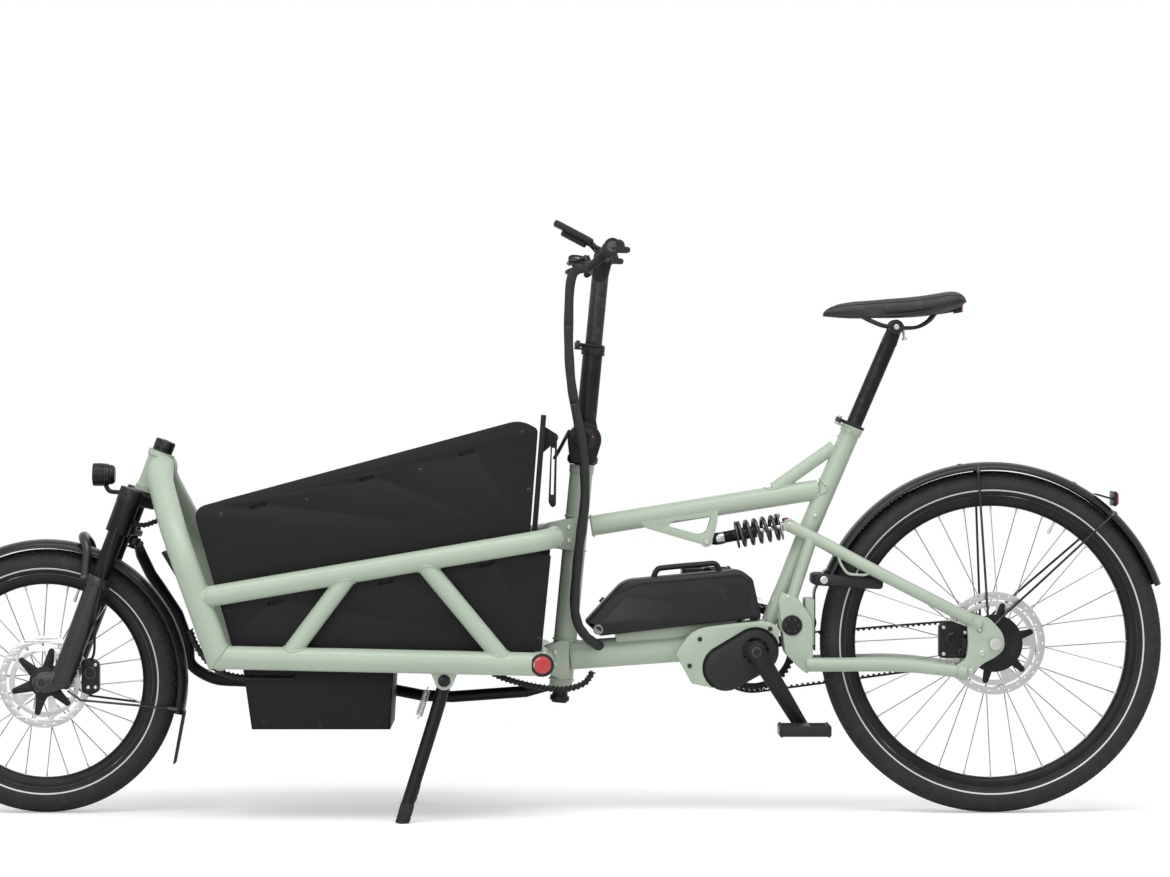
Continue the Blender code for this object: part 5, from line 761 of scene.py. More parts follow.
seat = bmesh.new()
foot = SEAT_TUBE_TOP - SEAT_TUBE_LENGTH * SEAT_UP
add_turned(seat, foot, SEAT_UP,
           [(0, 0.0155), (0.075, 0.0158), (0.175, 0.019), (0.4, 0.019), (0.402, 0.0212), (0.414, 0.0214),
            (0.415, 0.0208), (0.415, 0.0159), (0.2, 0.0159)], 44)
strut_foot, strut_head = Vector((0.462, 0, 0.633)), Vector((0.59, 0, 0.723))
strut_lie = (strut_head - strut_foot).normalized()
add_tube(seat, [strut_foot, strut_head - 0.012 * strut_lie], 0.013, 30)
add_weld(seat, strut_foot + 0.05 * strut_lie, -strut_lie, 0.013, TOP_TUBE_START, TOP_LIE, 0.0204, 0.0018)
add_weld(seat, strut_foot + 0.05 * strut_lie, strut_lie, 0.013, SEAT_TUBE_TOP, SEAT_UP, 0.0192, 0.0018)
lug_end = foot + 0.042 * SEAT_UP
add_plate(seat, strap((PIVOT.x, PIVOT.z), (lug_end.x, lug_end.z), 0.0205, 0.014, 18), 0.026, side_on(),
          edge=0.003)
add_turned(seat, PIVOT - Vector((0, 0.0394, 0)), Vector((0, 1, 0)), [
    (0, 0.023), (0.0012, 0.024), (0.0776, 0.024), (0.0788, 0.023), (0.0788, 0.0106), (0, 0.0106),
], 44, ring=True)
seat_collar = SEAT_TUBE_TOP - 0.005 * SEAT_UP
add_clamp_tab(seat, seat_collar, SEAT_UP)
piece(seat, "seat_tube_and_strut", "frame", SAGE, "sage_paint", "seat_tube")
clamp_pin = bmesh.new()
add_clamp_pin(clamp_pin, seat_collar, SEAT_UP)
for side in (-1, 1):
    add_screw(clamp_pin, SEAT_TUBE_TOP - 0.19 * SEAT_UP + Vector((0, side * 0.0185, 0)), Vector((0, side, 0)),
              0.0035, 0.0025)
piece(clamp_pin, "seat_clamp_pin", "frame", BRIGHT_STEEL, "bright_steel")
add_quick_lever("seat_quick_lever", "seat_clamp_lever", seat_collar, SEAT_UP)


# Cargo box: a tub with a footwell sunk through its floor, two side boards, a rear board and the front board.
# Coated plywood boards, black on both faces, edges sealed;
# the tub is folded black sheet. Screwed to the frame.

board_finish = Finish("coated_black_board")
film = board_finish.noise(9, 5)
mesh_x = board_finish.node("TexWave", {"wave_type": "BANDS", "bands_direction": "X"},
                           {"Vector": board_finish.place, "Scale": 180, "Distortion": 0.3})
mesh_z = board_finish.node("TexWave", {"wave_type": "BANDS", "bands_direction": "Z"},
                           {"Vector": board_finish.place, "Scale": 180, "Distortion": 0.3})
weave = mesh_x * mesh_z
streaks = board_finish.node("Mapping", {},
                            {"Vector": board_finish.place, "Rotation": (0, 0.2, 0), "Scale": (3, 3, 40)})
scuffs = board_finish.above(board_finish.noise(6, 5, streaks), 0.6, 0.82) * 0.22
shade = board_finish.mix(board_finish.above(film, 0.3, 0.7) * 0.5, (0.0075, 0.0075, 0.008),
                         (0.0115, 0.0115, 0.012))
shade = board_finish.mix(scuffs, shade, (0.03, 0.03, 0.031))
BOARD = board_finish.done(Base_Color=shade, Specular_IOR_Level=0.2,
                          Roughness=film * 0.14 + scuffs * 0.4 + 0.4,
                          Normal=board_finish.bump(weave, 0.00008, 0.4))

PANEL_INNER = 0.1822
PANEL_THICKNESS = 0.01
SIDE_BOARD = ((-0.58, 0.318, 0), (-0.587, 0.343, 0.006), (-0.661, 0.6, 0.028), (-0.0344, 0.769, 0.024),
              (0.0, 0.7497, 0.008), (-0.0155, 0.546, 0), (-0.0155, 0.516, 0), (0.0249, 0.51, 0.003),
              (0.0069, 0.329, 0), (0.005, 0.327, 0), (-0.006, 0.327, 0), (-0.009, 0.318, 0))
SLOTS = ((-0.5347, 0.6043), (-0.3277, 0.6567), (-0.1366, 0.7057), (-0.502, 0.4206), (-0.2902, 0.46),
         (-0.097, 0.4943))
slot_lean = Vector((0.011, 0.0028))

for side, label in SIDES:
    board = bmesh.new()
    slots = [strap(tuple(Vector(at) - slot_lean), tuple(Vector(at) + slot_lean), 0.0033, 0.00325, 8)
             for at in SLOTS]
    add_plate(board, soft(SIDE_BOARD), PANEL_THICKNESS, side_on(side * (PANEL_INNER + PANEL_THICKNESS / 2)),
              slots, 0.0014)
    piece(board, f"side_board_{label}", "frame", BOARD, "coated_board", f"side_panel_{label}")
    screws = bmesh.new()
    for x, z in ((-0.606, 0.588), (-0.596, 0.405), (-0.03, 0.745), (-0.018, 0.635), (0.002, 0.35),
                 (-0.442, 0.616), (-0.225, 0.673)):
        add_screw(screws, Vector((x, side * (PANEL_INNER + PANEL_THICKNESS - 0.0008), z)),
                  Vector((0, side, 0)), 0.0036, 0.0018)
    piece(screws, f"board_screws_{label}", "frame", DARK_SCREW, "black_metal")

tub = bmesh.new()
half = PANEL_INNER - 0.0003
add_plate(tub, [(-0.578, 0.3222), (-0.543, 0.3222), (-0.543, 0.332), (-0.5772, 0.332)], 2 * half,
          side_on(), edge=0.0006)
add_plate(tub, [(-0.29, 0.3222), (-0.0303, 0.3222), (-0.0303, 0.332), (-0.282, 0.332)], 2 * half,
          side_on(), edge=0.0006)
for side in (-1, 1):
    strip = [(-0.548, 0.3222), (-0.283, 0.3222), (-0.283, 0.332), (-0.548, 0.332)]
    add_plate(tub, strip, half - 0.1212, side_on(side * (half + 0.1212) / 2), edge=0.0006)
well_side = [(-0.575, 0.331), (-0.552, 0.172), (-0.285, 0.172), (-0.276, 0.331)]
for side in (-1, 1):
    add_plate(tub, well_side, 0.004, side_on(side * 0.123), edge=0.0008)
for ends in (((-0.575, 0.331), (-0.552, 0.1722)), ((-0.285, 0.1722), (-0.276, 0.331))):
    low_to_high = Vector(ends[1]) - Vector(ends[0])
    normal = Vector((-low_to_high.y, low_to_high.x)).normalized() * 0.002
    inward = normal if (Vector((-0.42, 0.25)) - Vector(ends[0])).dot(normal) > 0 else -normal
    wall = [tuple(Vector(ends[0])), tuple(Vector(ends[1])), tuple(Vector(ends[1]) + 2 * inward),
            tuple(Vector(ends[0]) + 2 * inward)]
    add_plate(tub, wall, 0.25, side_on(), edge=0.0006)
add_plate(tub, [(-0.552, 0.172), (-0.285, 0.172), (-0.2852, 0.176), (-0.5514, 0.176)], 0.25, side_on(),
          edge=0.0008)
front_board = [(-0.579, 0.322), (-0.569, 0.322), (-0.643, 0.59), (-0.652, 0.588)]
add_plate(tub, front_board, 2 * half - 0.001, side_on(), edge=0.0012)
bmesh.ops.remove_doubles(tub, verts=tub.verts, dist=0.000005)
piece(tub, "box_tub", "frame", BOARD, "coated_board", "cargo_tub")

well_screws = bmesh.new()
for x, z in ((-0.554, 0.318), (-0.528, 0.186), (-0.308, 0.186), (-0.296, 0.318), (-0.42, 0.179)):
    for side in (-1, 1):
        add_screw(well_screws, Vector((x, side * 0.1245, z)), Vector((0, side, 0)), 0.003, 0.0014)
piece(well_screws, "footwell_rivets", "frame", DARK_SCREW, "black_metal")

rear_board = bmesh.new()
rear_outline = [(-0.02, 0.322), (0.016, 0.778), (0.006, 0.7787), (-0.03, 0.322)]
add_plate(rear_board, rear_outline, 2 * (PANEL_INNER - 0.0003), side_on(), edge=0.0014)
PARK_PIVOT = Vector((0.03, -0.1425, 0.735))
ear = [(0.004, 0.762), (0.01, 0.706), *arc((PARK_PIVOT.x, PARK_PIVOT.z), 0.009, -60, 60, 12)]
for side in (-1, 1):
    add_plate(rear_board, ear, 0.004, side_on(PARK_PIVOT.y + side * 0.0083), edge=0.0008)
add_turned(rear_board, PARK_PIVOT - Vector((0, 0.011, 0)), Vector((0, 1, 0)),
           [(0, 0.0034), (0.0006, 0.004), (0.0214, 0.004), (0.022, 0.0034)], 20)
piece(rear_board, "rear_board", "frame", BOARD, "coated_board", "rear_panel")


# Parking brake lever: a long black lever that hangs behind the rear board and locks a brake through a cable.
# Pressed alloy blade with a rolled edge, on a steel pin.

park = bmesh.new()
blade = soft(((0.025, 0.734, 0), (0.02, 0.61, 0.004), (0.027, 0.6, 0.003), (0.0345, 0.604, 0.004),
              (0.037, 0.734, 0)), 6)
slit = soft(((0.0268, 0.715, 0.002), (0.0245, 0.625, 0.002), (0.03, 0.625, 0.002), (0.0325, 0.715, 0.002)), 4)
add_plate(park, blade, 0.01, side_on(PARK_PIVOT.y), [slit], 0.002)
add_turned(park, PARK_PIVOT - Vector((0, 0.006, 0)), Vector((0, 1, 0)),
           [(0, 0.0078), (0.0007, 0.0085), (0.0113, 0.0085), (0.012, 0.0078), (0.012, 0.0044), (0, 0.0044)],
           32, ring=True)
piece(park, "parking_lever", "parking_brake_lever", BLACK_METAL, "black_metal", "parking_brake_lever")


# Battery: a long pack that lies on the down tube's cradle,
# with a carrying handle on top and a lock at its front foot.
# Two moulded shells with a parting line, screwed together.

BATTERY_OUTLINE = ((0.0916, 0.3745, 0.004), (0.1669, 0.4553, 0.02), (0.3958, 0.4766, 0.016),
                   (0.4192, 0.4584, 0.006), (0.4355, 0.3826, 0.006), (0.4056, 0.3804, 0.004),
                   (0.1209, 0.3472, 0.004))


pack = bmesh.new()
add_plate(pack, soft(BATTERY_OUTLINE, 10), 0.096, side_on(), edge=0.008)
piece(pack, "battery_case", "frame", BLACK_PLASTIC, "black_plastic", "battery", sharp=50)
trims = bmesh.new()
panel = soft(
    ((0.123, 0.372, 0.006), (0.17, 0.424, 0.016), (0.39, 0.443, 0.012), (0.407, 0.433, 0.008),
     (0.416, 0.393, 0.006), (0.402, 0.3895, 0.004), (0.132, 0.3585, 0.004)), 8,
)
for side in (-1, 1):
    add_plate(trims, panel, 0.0022, side_on(side * 0.0485), edge=0.0009)
    add_tube(trims, [Vector((x, side * 0.0484, z)) for x, z in
                     ((0.15, 0.431), (0.2, 0.45), (0.395, 0.4665), (0.412, 0.454))], 0.0011, 8)
piece(trims, "battery_side_panels", "frame",
      moulded("satin_black_panel", (0.011, 0.011, 0.012), 0.34, 1400, 0.00004), "black_plastic")
handle = bmesh.new()
bow = through(
    [Vector(place)
     for place in ((0.225, 0, 0.456), (0.233, 0, 0.474), (0.248, 0, 0.479), (0.32, 0, 0.4855),
                   (0.348, 0, 0.4862), (0.356, 0, 0.469))], 6,
)
for y in (-0.0085, 0, 0.0085):
    add_tube(handle, [place + Vector((0, y, 0)) for place in bow], 0.0052, 16)
add_turned(handle, Vector((0.126, 0, 0.415)), Vector((-0.73, 0, 0.68)),
           [(0, 0.006), (0.003, 0.0062), (0.0042, 0.005), (0.0044, 0.0022)], 28)
piece(handle, "battery_handle", "frame", BLACK_PLASTIC, "black_plastic")
lock = bmesh.new()
add_turned(lock, Vector((0.1172, -0.0455, 0.36)), Vector((0, -1, 0)),
           [(0, 0.01), (0.0028, 0.01), (0.0034, 0.0094), (0.0034, 0.0066), (0.0022, 0.0062),
            (0.0022, 0.0012), (0.0014, 0.001)], 32)
piece(lock, "battery_lock", "frame", bright_metal("lock_barrel_metal", (0.24, 0.24, 0.25), 0.34),
      "bright_steel")


# Motor: a round-ended alloy case under the down tube,
# with a ribbed cooling belly and a plain cover on each side.
# Die-cast case, plastic covers held by small screws; the crank's spindle runs through it.

motor = bmesh.new()
add_plate(motor, strap(*MOTOR_ENDS, *MOTOR_RADII, 30), 0.084, side_on(), edge=0.004)
for side in (-1, 1):
    add_plate(motor, strap(*MOTOR_ENDS, 0.04, 0.0415, 26), 0.01, side_on(side * 0.0448), edge=0.0032)
    add_turned(motor, Vector((MOTOR_ENDS[0][0] + 0.002, side * 0.044, MOTOR_ENDS[0][1] + 0.001)),
               Vector((0, side, 0)),
               [(0, 0.033), (0.005, 0.0325), (0.0058, 0.0305), (0.0052, 0.0285), (0.0056, 0.027),
                (0.006, 0.025), (0.0059, 0.004)], 56)
    add_turned(motor, CRANK_AXIS + Vector((0, side * 0.044, 0)), Vector((0, side, 0)),
               [(0, 0.029), (0.0045, 0.0285), (0.0058, 0.0265), (0.0058, 0.02), (0.003, 0.019),
                (0.003, 0.0126), (0, 0.0126)], 48, ring=True)
for step in range(9):
    angle = math.radians(-112 + 9 * step)
    place = Vector(
        (MOTOR_ENDS[0][0] + 0.044 * math.cos(angle), 0, MOTOR_ENDS[0][1] + 0.044 * math.sin(angle))
    )
    out_of = Vector((math.cos(angle), 0, math.sin(angle)))
    add_tube(motor,
             [place - Vector((0, 0.036, 0)) + 0.0005 * out_of,
              place + Vector((0, 0.036, 0)) + 0.0005 * out_of], 0.0012, 8)
piece(motor, "motor_case", "frame",
      moulded("motor_cover_plastic", (0.016, 0.016, 0.0165), 0.42, 900, 0.00006), "black_plastic",
      "motor_unit")
motor_screws = bmesh.new()
for side in (-1, 1):
    for angle, end in ((70, 0), (160, 0), (215, 0), (275, 0), (-55, 1), (20, 1), (95, 1)):
        turn = math.radians(angle)
        centre, radius = MOTOR_ENDS[end], MOTOR_RADII[end] - 0.007
        add_screw(motor_screws,
                  Vector(
                      (centre[0] + radius * math.cos(turn), side * 0.042, centre[1] + radius * math.sin(turn))
                  ), Vector((0, side, 0)), 0.0034, 0.0024)
for x, z in ((0.315, 0.342), (0.452, 0.362), (0.295, 0.29)):
    add_screw(motor_screws, Vector((x, -0.0515, z)), Vector((0, -1, 0)), 0.0046, 0.003)
piece(motor_screws, "motor_screws", "frame", DARK_SCREW, "black_metal")


# Swingarm: two pivot plates carry an upper and a lower stay on each side,
# which meet at a forged dropout behind the axle.
# Hydroformed aluminium tubes welded to plates, coated like the frame.

PIVOT_PLATE = ((0.4748, 0.4343, 0.003), (0.4676, 0.4163, 0.004), (0.4774, 0.3495, 0.02),
               (0.4813, 0.3135, 0.01), (0.5144, 0.28, 0.008), (0.526, 0.2743, 0.004),
               (0.5352, 0.3008, 0.01), (0.5352, 0.3788, 0.01), (0.5085, 0.42, 0.008))
UPPER_STAY = ((0.4914, 0.027, 0.5623), (0.525, 0.0335, 0.545), (0.56, 0.043, 0.527), (0.6, 0.056, 0.505),
              (0.66, 0.07, 0.473), (0.74, 0.0795, 0.432), (0.859, 0.082, 0.371))
LOWER_STAY = ((0.524, 0.046, 0.292), (0.58, 0.05, 0.292), (0.64, 0.058, 0.293),
              (0.7, 0.071, 0.293), (0.76, 0.082, 0.288), (0.83, 0.0822, 0.279))
DROPOUT = ((0.845, 0.392, 0.008), (0.874, 0.386, 0.01), (0.902, 0.356, 0.014), (0.906, 0.325, 0.014),
           (0.886, 0.308, 0.01), (0.862, 0.296, 0.01), (0.83, 0.264, 0.008), (0.808, 0.268, 0.006),
           (0.808, 0.29, 0.006), (0.83, 0.306, 0.008), (0.834, 0.335, 0.008), (0.832, 0.37, 0.006))
REAR_AXLE = Vector((0.8865, 0, 0.3345))

for side, label in SIDES:
    arm = bmesh.new()
    add_plate(arm, soft(PIVOT_PLATE, 6), 0.012, side_on(side * 0.046),
              [circle((PIVOT.x, PIVOT.z), 0.0108, 36)], 0.002)
    add_tube(arm, [Vector((0.494, side * 0.0385, 0.417)), Vector((0.533, side * 0.037, 0.536))], 0.0115, 28)
    upper = through([across(place, side) for place in UPPER_STAY], 5)
    add_tube(arm, upper, 0.012, 30)
    lower = through([across(place, side) for place in LOWER_STAY], 5)
    add_tube(arm, lower, 0.0138, 30,
             [1 - 0.13 * max(0, step - 12) / (len(lower) - 13) for step in range(len(lower))])
    add_plate(arm, soft(DROPOUT, 6), 0.0137, side_on(side * 0.08115),
              [circle((REAR_AXLE.x, REAR_AXLE.z), 0.0079, 28), circle((0.856, 0.362), 0.0048, 20)], 0.0022)
    add_turned(arm, SHOCK_REAR + Vector((0, side * 0.0135, 0)), Vector((0, side, 0)),
               [(0, 0.0122), (0.0008, 0.013), (0.0167, 0.013), (0.0177, 0.0122)], 32)
    for place, lie, radius, size in ((0.0, Vector((0.313, 0, 0.95)), 0.0118, 0.0015),):
        ring = [Vector((0.4958 + radius * math.cos(a), side * 0.0385 + radius * math.sin(a),
                        0.4225 + 0.3 * radius * -math.cos(a)))
                for a in turns_of(40)]
        add_bead(arm, ring, size)
    for x, z, lie in ((0.84, 0.3808, UPPER_STAY), (0.812, 0.2812, LOWER_STAY)):
        near, far = across(lie[-2], side), across(lie[-1], side)
        heading = (far - near).normalized()
        there = facing(near + (x - near.x) / heading.x * heading, heading)
        radius = 0.0124 if lie is UPPER_STAY else 0.0128
        ring = [there @ Vector((radius * math.cos(a), radius * math.sin(a), 0)) for a in turns_of(44)]
        add_bead(arm, ring, 0.0015)
    if side > 0:
        add_turned(arm, Vector((0.5292, 0.046, 0.3685)), Vector((0, 1, 0)),
                   [(0, 0.005), (0.0245, 0.005), (0.025, 0.0042)], 20)
    piece(arm, f"swingarm_side_{label}", "swingarm", SAGE, "sage_paint", f"swingarm_{label}")
arm_screws = bmesh.new()
for side in (-1, 1):
    for x, z, radius in ((0.861, 0.3165, 0.0052), (0.8395, 0.282, 0.005), (0.856, 0.362, 0.004)):
        add_screw(arm_screws, Vector((x, side * 0.0872, z)), Vector((0, side, 0)), radius, 0.003)
    add_screw(arm_screws, SHOCK_REAR + Vector((0, side * 0.0305, 0)), Vector((0, side, 0)), 0.0062, 0.0034)
    add_screw(arm_screws, Vector((0.487, side * 0.0515, 0.424)), Vector((0, side, 0)), 0.0036, 0.002)
piece(arm_screws, "swingarm_screws", "swingarm", BRIGHT_STEEL, "bright_steel")

bridge = bmesh.new()
half = 0.0397
place = Matrix.Translation((0.5301, 0, 0.375)) @ Matrix.Rotation(math.pi / 2, 4, "Y")
add_plate(
    bridge, soft(rectangle(0.045, half, 0), 1), 0.0182, place,
    [soft(((-0.017, -0.02, 0.006), (-0.017, 0.02, 0.006), (0.023, 0.02, 0.006), (0.023, -0.02, 0.006)), 6)],
    0.002,
)
piece(bridge, "swingarm_bridge", "swingarm", SAGE, "sage_paint", "swingarm_yoke")

pivot = bmesh.new()
add_turned(pivot, PIVOT - Vector((0, 0.056, 0)), Vector((0, 1, 0)),
           [(0, 0.006), (0.0004, 0.015), (0.0012, 0.0182), (0.0022, 0.02), (0.0036, 0.02),
            (0.0037, 0.01), (0.1083, 0.01), (0.1084, 0.014), (0.11, 0.014), (0.1108, 0.013)], 48)
for step in range(6):
    turn = math.pi / 3 * step
    add_turned(pivot, PIVOT + Vector((0.0125 * math.cos(turn), -0.0552, 0.0125 * math.sin(turn))),
               Vector((0, -1, 0)), [(0, 0.0017), (0.001, 0.0015)], 12)
piece(pivot, "swingarm_pivot", "swingarm", BLACK_METAL, "black_metal", "pivot_axle")


# Shock: an air-free damper with a coil spring round it,
# pinned between the top tube's bracket and the swingarm.
# Turned black body, hard-chromed shaft, a wound spring in black enamel, and a red knob that sets its rebound.

SHOCK_LIE = (SHOCK_REAR - SHOCK_FRONT).normalized()
SHOCK_LENGTH = (SHOCK_REAR - SHOCK_FRONT).length
SHOCK_RISE = Vector((-SHOCK_LIE.z, 0, SHOCK_LIE.x))
SPRING_START, SPRING_END = 0.0636, 0.147
SPRING_RADIUS, SPRING_WIRE = 0.02325, 0.0075


def along_shock(distance, y=0.0, up=0.0):
    return SHOCK_FRONT + distance * SHOCK_LIE + Vector((0, y, 0)) + up * SHOCK_RISE


damper = bmesh.new()
seat_at = SPRING_START - 0.0003 - 0.008
threads = []
for step in range(14):
    threads += [(0.016 + 0.0022 * step, 0.01195), (0.0168 + 0.0022 * step, 0.01135),
                (0.0176 + 0.0022 * step, 0.01135)]
add_turned(damper, along_shock(0.008), SHOCK_LIE,
           [(0, 0.0085), (0.004, 0.0105), (0.008, 0.0119), *[t for t in threads if t[0] < seat_at - 0.006],
            (seat_at - 0.0045, 0.012), (seat_at - 0.004, 0.0245), (seat_at - 0.0032, 0.0268),
            (seat_at - 0.0008, 0.0268), (seat_at, 0.0258), (seat_at, 0.012), (0.091, 0.012),
            (0.092, 0.0112), (0.092, 0.0054), (0.016, 0.0054), (0.014, 0.0)], 44)
add_turned(damper, SHOCK_FRONT - Vector((0, 0.012, 0)), Vector((0, 1, 0)),
           [(0, 0.0102), (0.0008, 0.011), (0.0232, 0.011), (0.024, 0.0102), (0.024, 0.0054), (0, 0.0054)],
           32, ring=True)
piece(damper, "shock_damper", "shock", BLACK_METAL, "black_metal", "shock_body")
chrome = bmesh.new()
cup = SPRING_END + 0.0003 - 0.066
add_turned(chrome, along_shock(0.066), SHOCK_LIE,
           [(0, 0.005), (cup, 0.005), (cup, 0.0262), (cup + 0.0006, 0.0269), (cup + 0.0026, 0.0269),
            (cup + 0.0034, 0.0256), (cup + 0.0042, 0.0092), (SHOCK_LENGTH - 0.074 , 0.009)], 44)
add_turned(chrome, SHOCK_REAR - Vector((0, 0.012, 0)), Vector((0, 1, 0)),
           [(0, 0.0105), (0.0008, 0.0114), (0.0232, 0.0114), (0.024, 0.0105), (0.024, 0.0068), (0, 0.0068)],
           32, ring=True)
piece(chrome, "shock_shaft_and_cup", "shock_shaft", bright_metal("chromed_shaft", (0.5, 0.5, 0.51), 0.18),
      "bright_steel", "shock_shaft")
coil = bmesh.new()
turns = 5.25
first, climb = SPRING_START + SPRING_WIRE / 2, SPRING_END - SPRING_START - SPRING_WIRE
places = []
for number in range(round(turns * 32) + 1):
    turn = number / 32
    share = min(max((turn - 0.35) / (turns - 0.7), 0), 1)
    places.append(along_shock(first + climb * share, SPRING_RADIUS * math.cos(2 * math.pi * turn),
                              SPRING_RADIUS * math.sin(2 * math.pi * turn)))
add_tube(coil, places, SPRING_WIRE / 2, 14)
coil_piece = piece(coil, "shock_coil", "shock",
                   dark_metal("spring_enamel", (0.013, 0.013, 0.014), 0.3, 200, 0.1, 0.5), "black_metal",
                   "shock_spring")
tuple(along_shock(SPRING_START))
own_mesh(coil_piece)
knob = bmesh.new()
add_turned(knob, along_shock(0.16, 0, 0.009), SHOCK_RISE,
           [(0, 0.004), (0.001, 0.0055), (0.006, 0.0055), (0.0068, 0.0048)], 28)
for step in range(12):
    turn = 2 * math.pi * step / 12
    foot_at = along_shock(0.16 + 0.0055 * math.cos(turn), 0.0055 * math.sin(turn), 0.0105)
    add_tube(knob, [foot_at, foot_at + 0.0046 * SHOCK_RISE], 0.0006, 6)
piece(knob, "rebound_knob", "shock_shaft",
      dark_metal("red_anodised", (0.42, 0.012, 0.014), 0.28, 500, 0.9, 0.3), "black_metal")
reservoir = bmesh.new()
add_turned(reservoir, along_shock(0.02, 0, -0.0005), SHOCK_LIE,
           [(0, 0.0119), (0.0006, 0.0122), (0.015, 0.0122), (0.0156, 0.0119)], 44)
piece(reservoir, "shock_collar", "shock", bright_metal("brushed_damper_alloy", (0.42, 0.42, 0.42), 0.3),
      "bright_steel")


# Tyres: wide road tyres with a fine block tread, a rubber sidewall and a thin reflective line near the rim.
# Moulded rubber over cord; the blocks stand about a millimetre proud of their grooves.

def tyre_rubber(name, centre, line_radius):
    """Rubber that is dusty on the tread, with the sidewall's moulded ribs and its reflective line."""
    rubber = Finish(name)
    apart = rubber.node("VectorMath", {"operation": "SUBTRACT"}, {0: rubber.place, 1: tuple(centre)})
    flat_place = rubber.node("VectorMath", {"operation": "MULTIPLY"}, {0: apart, 1: (1, 0, 1)})
    away = rubber.node("VectorMath", {"operation": "LENGTH"}, {0: flat_place}, output=1)
    line = rubber.above(away, line_radius - 0.0003, line_radius) * (
        1 - rubber.above(away, line_radius + 0.0025, line_radius + 0.0028)
    )
    dust = rubber.above(rubber.noise(34, 6), 0.45, 0.8)
    worn = rubber.above(away, line_radius + 0.034, line_radius + 0.041)
    shade = rubber.mix(dust * 0.5, (0.0135, 0.0133, 0.013), (0.03, 0.029, 0.0275))
    shade = rubber.mix(worn * 0.35, shade, (0.04, 0.039, 0.037))
    shade = rubber.mix(line, shade, (0.62, 0.63, 0.64))
    ribs = rubber.node("Math", {"operation": "SINE"}, {0: away * 2600})
    grit = rubber.noise(900, 3)
    return rubber.done(Base_Color=shade, Roughness=0.8 - line * 0.45 - dust * 0.08,
                       Normal=rubber.bump(ribs * 0.25 + grit, 0.0002, 0.5))


def add_tyre(shape, centre, outer, bead, half, steps):
    """The casing spun about the axle; every other face of its tread rows is then raised as a block."""
    depth = outer - bead - 0.0011
    casing = [(1.0, 0.0), (0.997, 0.1), (0.985, 0.22), (0.962, 0.34), (0.93, 0.46), (0.885, 0.58),
              (0.83, 0.7), (0.75, 0.82), (0.64, 0.92), (0.52, 0.985), (0.4, 1.0), (0.28, 0.96),
              (0.16, 0.84), (0.07, 0.68), (0.0, 0.5)]
    section = [(-half * wide, bead + depth * high) for high, wide in reversed(casing)]
    section += [(half * wide, bead + depth * high) for high, wide in casing[1:]]
    part = bmesh.new()
    points = [part.verts.new((radius, 0, along)) for along, radius in section]
    edges = [part.edges.new(pair) for pair in zip(points, points[1:] + points[:1])]
    bmesh.ops.spin(part, geom=points + edges, axis=(0, 0, 1), cent=(0, 0, 0), angle=2 * math.pi, steps=steps,
                   use_merge=True)
    bmesh.ops.remove_doubles(part, verts=part.verts, dist=0.000005)
    bmesh.ops.recalc_face_normals(part, faces=part.faces)
    blocks = []
    pitch = 2 * math.pi / steps
    for face in part.faces:
        middle = face.calc_center_median()
        radius, height = math.hypot(middle.x, middle.y), abs(middle.z)
        if radius < bead + 0.6 * depth:
            continue
        row = 0 if height < 0.1 * half else 1 if height < 0.34 * half else 2 if height < 0.58 * half else 3
        number = int(math.floor((math.atan2(middle.y, middle.x) % (2 * math.pi)) / pitch + 0.01))
        if (number + row + (middle.z > 0)) % 3 or row == 0:
            blocks.append(face)
    bmesh.ops.inset_individual(part, faces=blocks, thickness=0.0007, depth=0.001, use_even_offset=True)
    bmesh.ops.transform(part, matrix=facing(centre, Vector((0, 1, 0))), verts=part.verts)
    mesh = bpy.data.meshes.new("tyre")
    part.to_mesh(mesh)
    part.free()
    add_mesh(shape, mesh)


for name, body, centre, outer, bead, steps in (("rear_tyre", "rear_wheel", REAR_AXLE, 0.3345, 0.287, 216),
                                               ("front_tyre", "front_wheel", FRONT_AXLE, 0.258, 0.2105, 168)):
    casing = bmesh.new()
    add_tyre(casing, centre, outer, bead, 0.0275, steps)
    piece(casing, f"{name}_rubber", body, tyre_rubber(f"{name}_compound", centre, bead + 0.0085), "tyre",
          name, sharp=30)


# Rims: deep black box-section rims with an eyelet at each spoke; the valve stands opposite the join.
# Extruded and rolled aluminium, anodised black, its sidewalls faintly brushed.

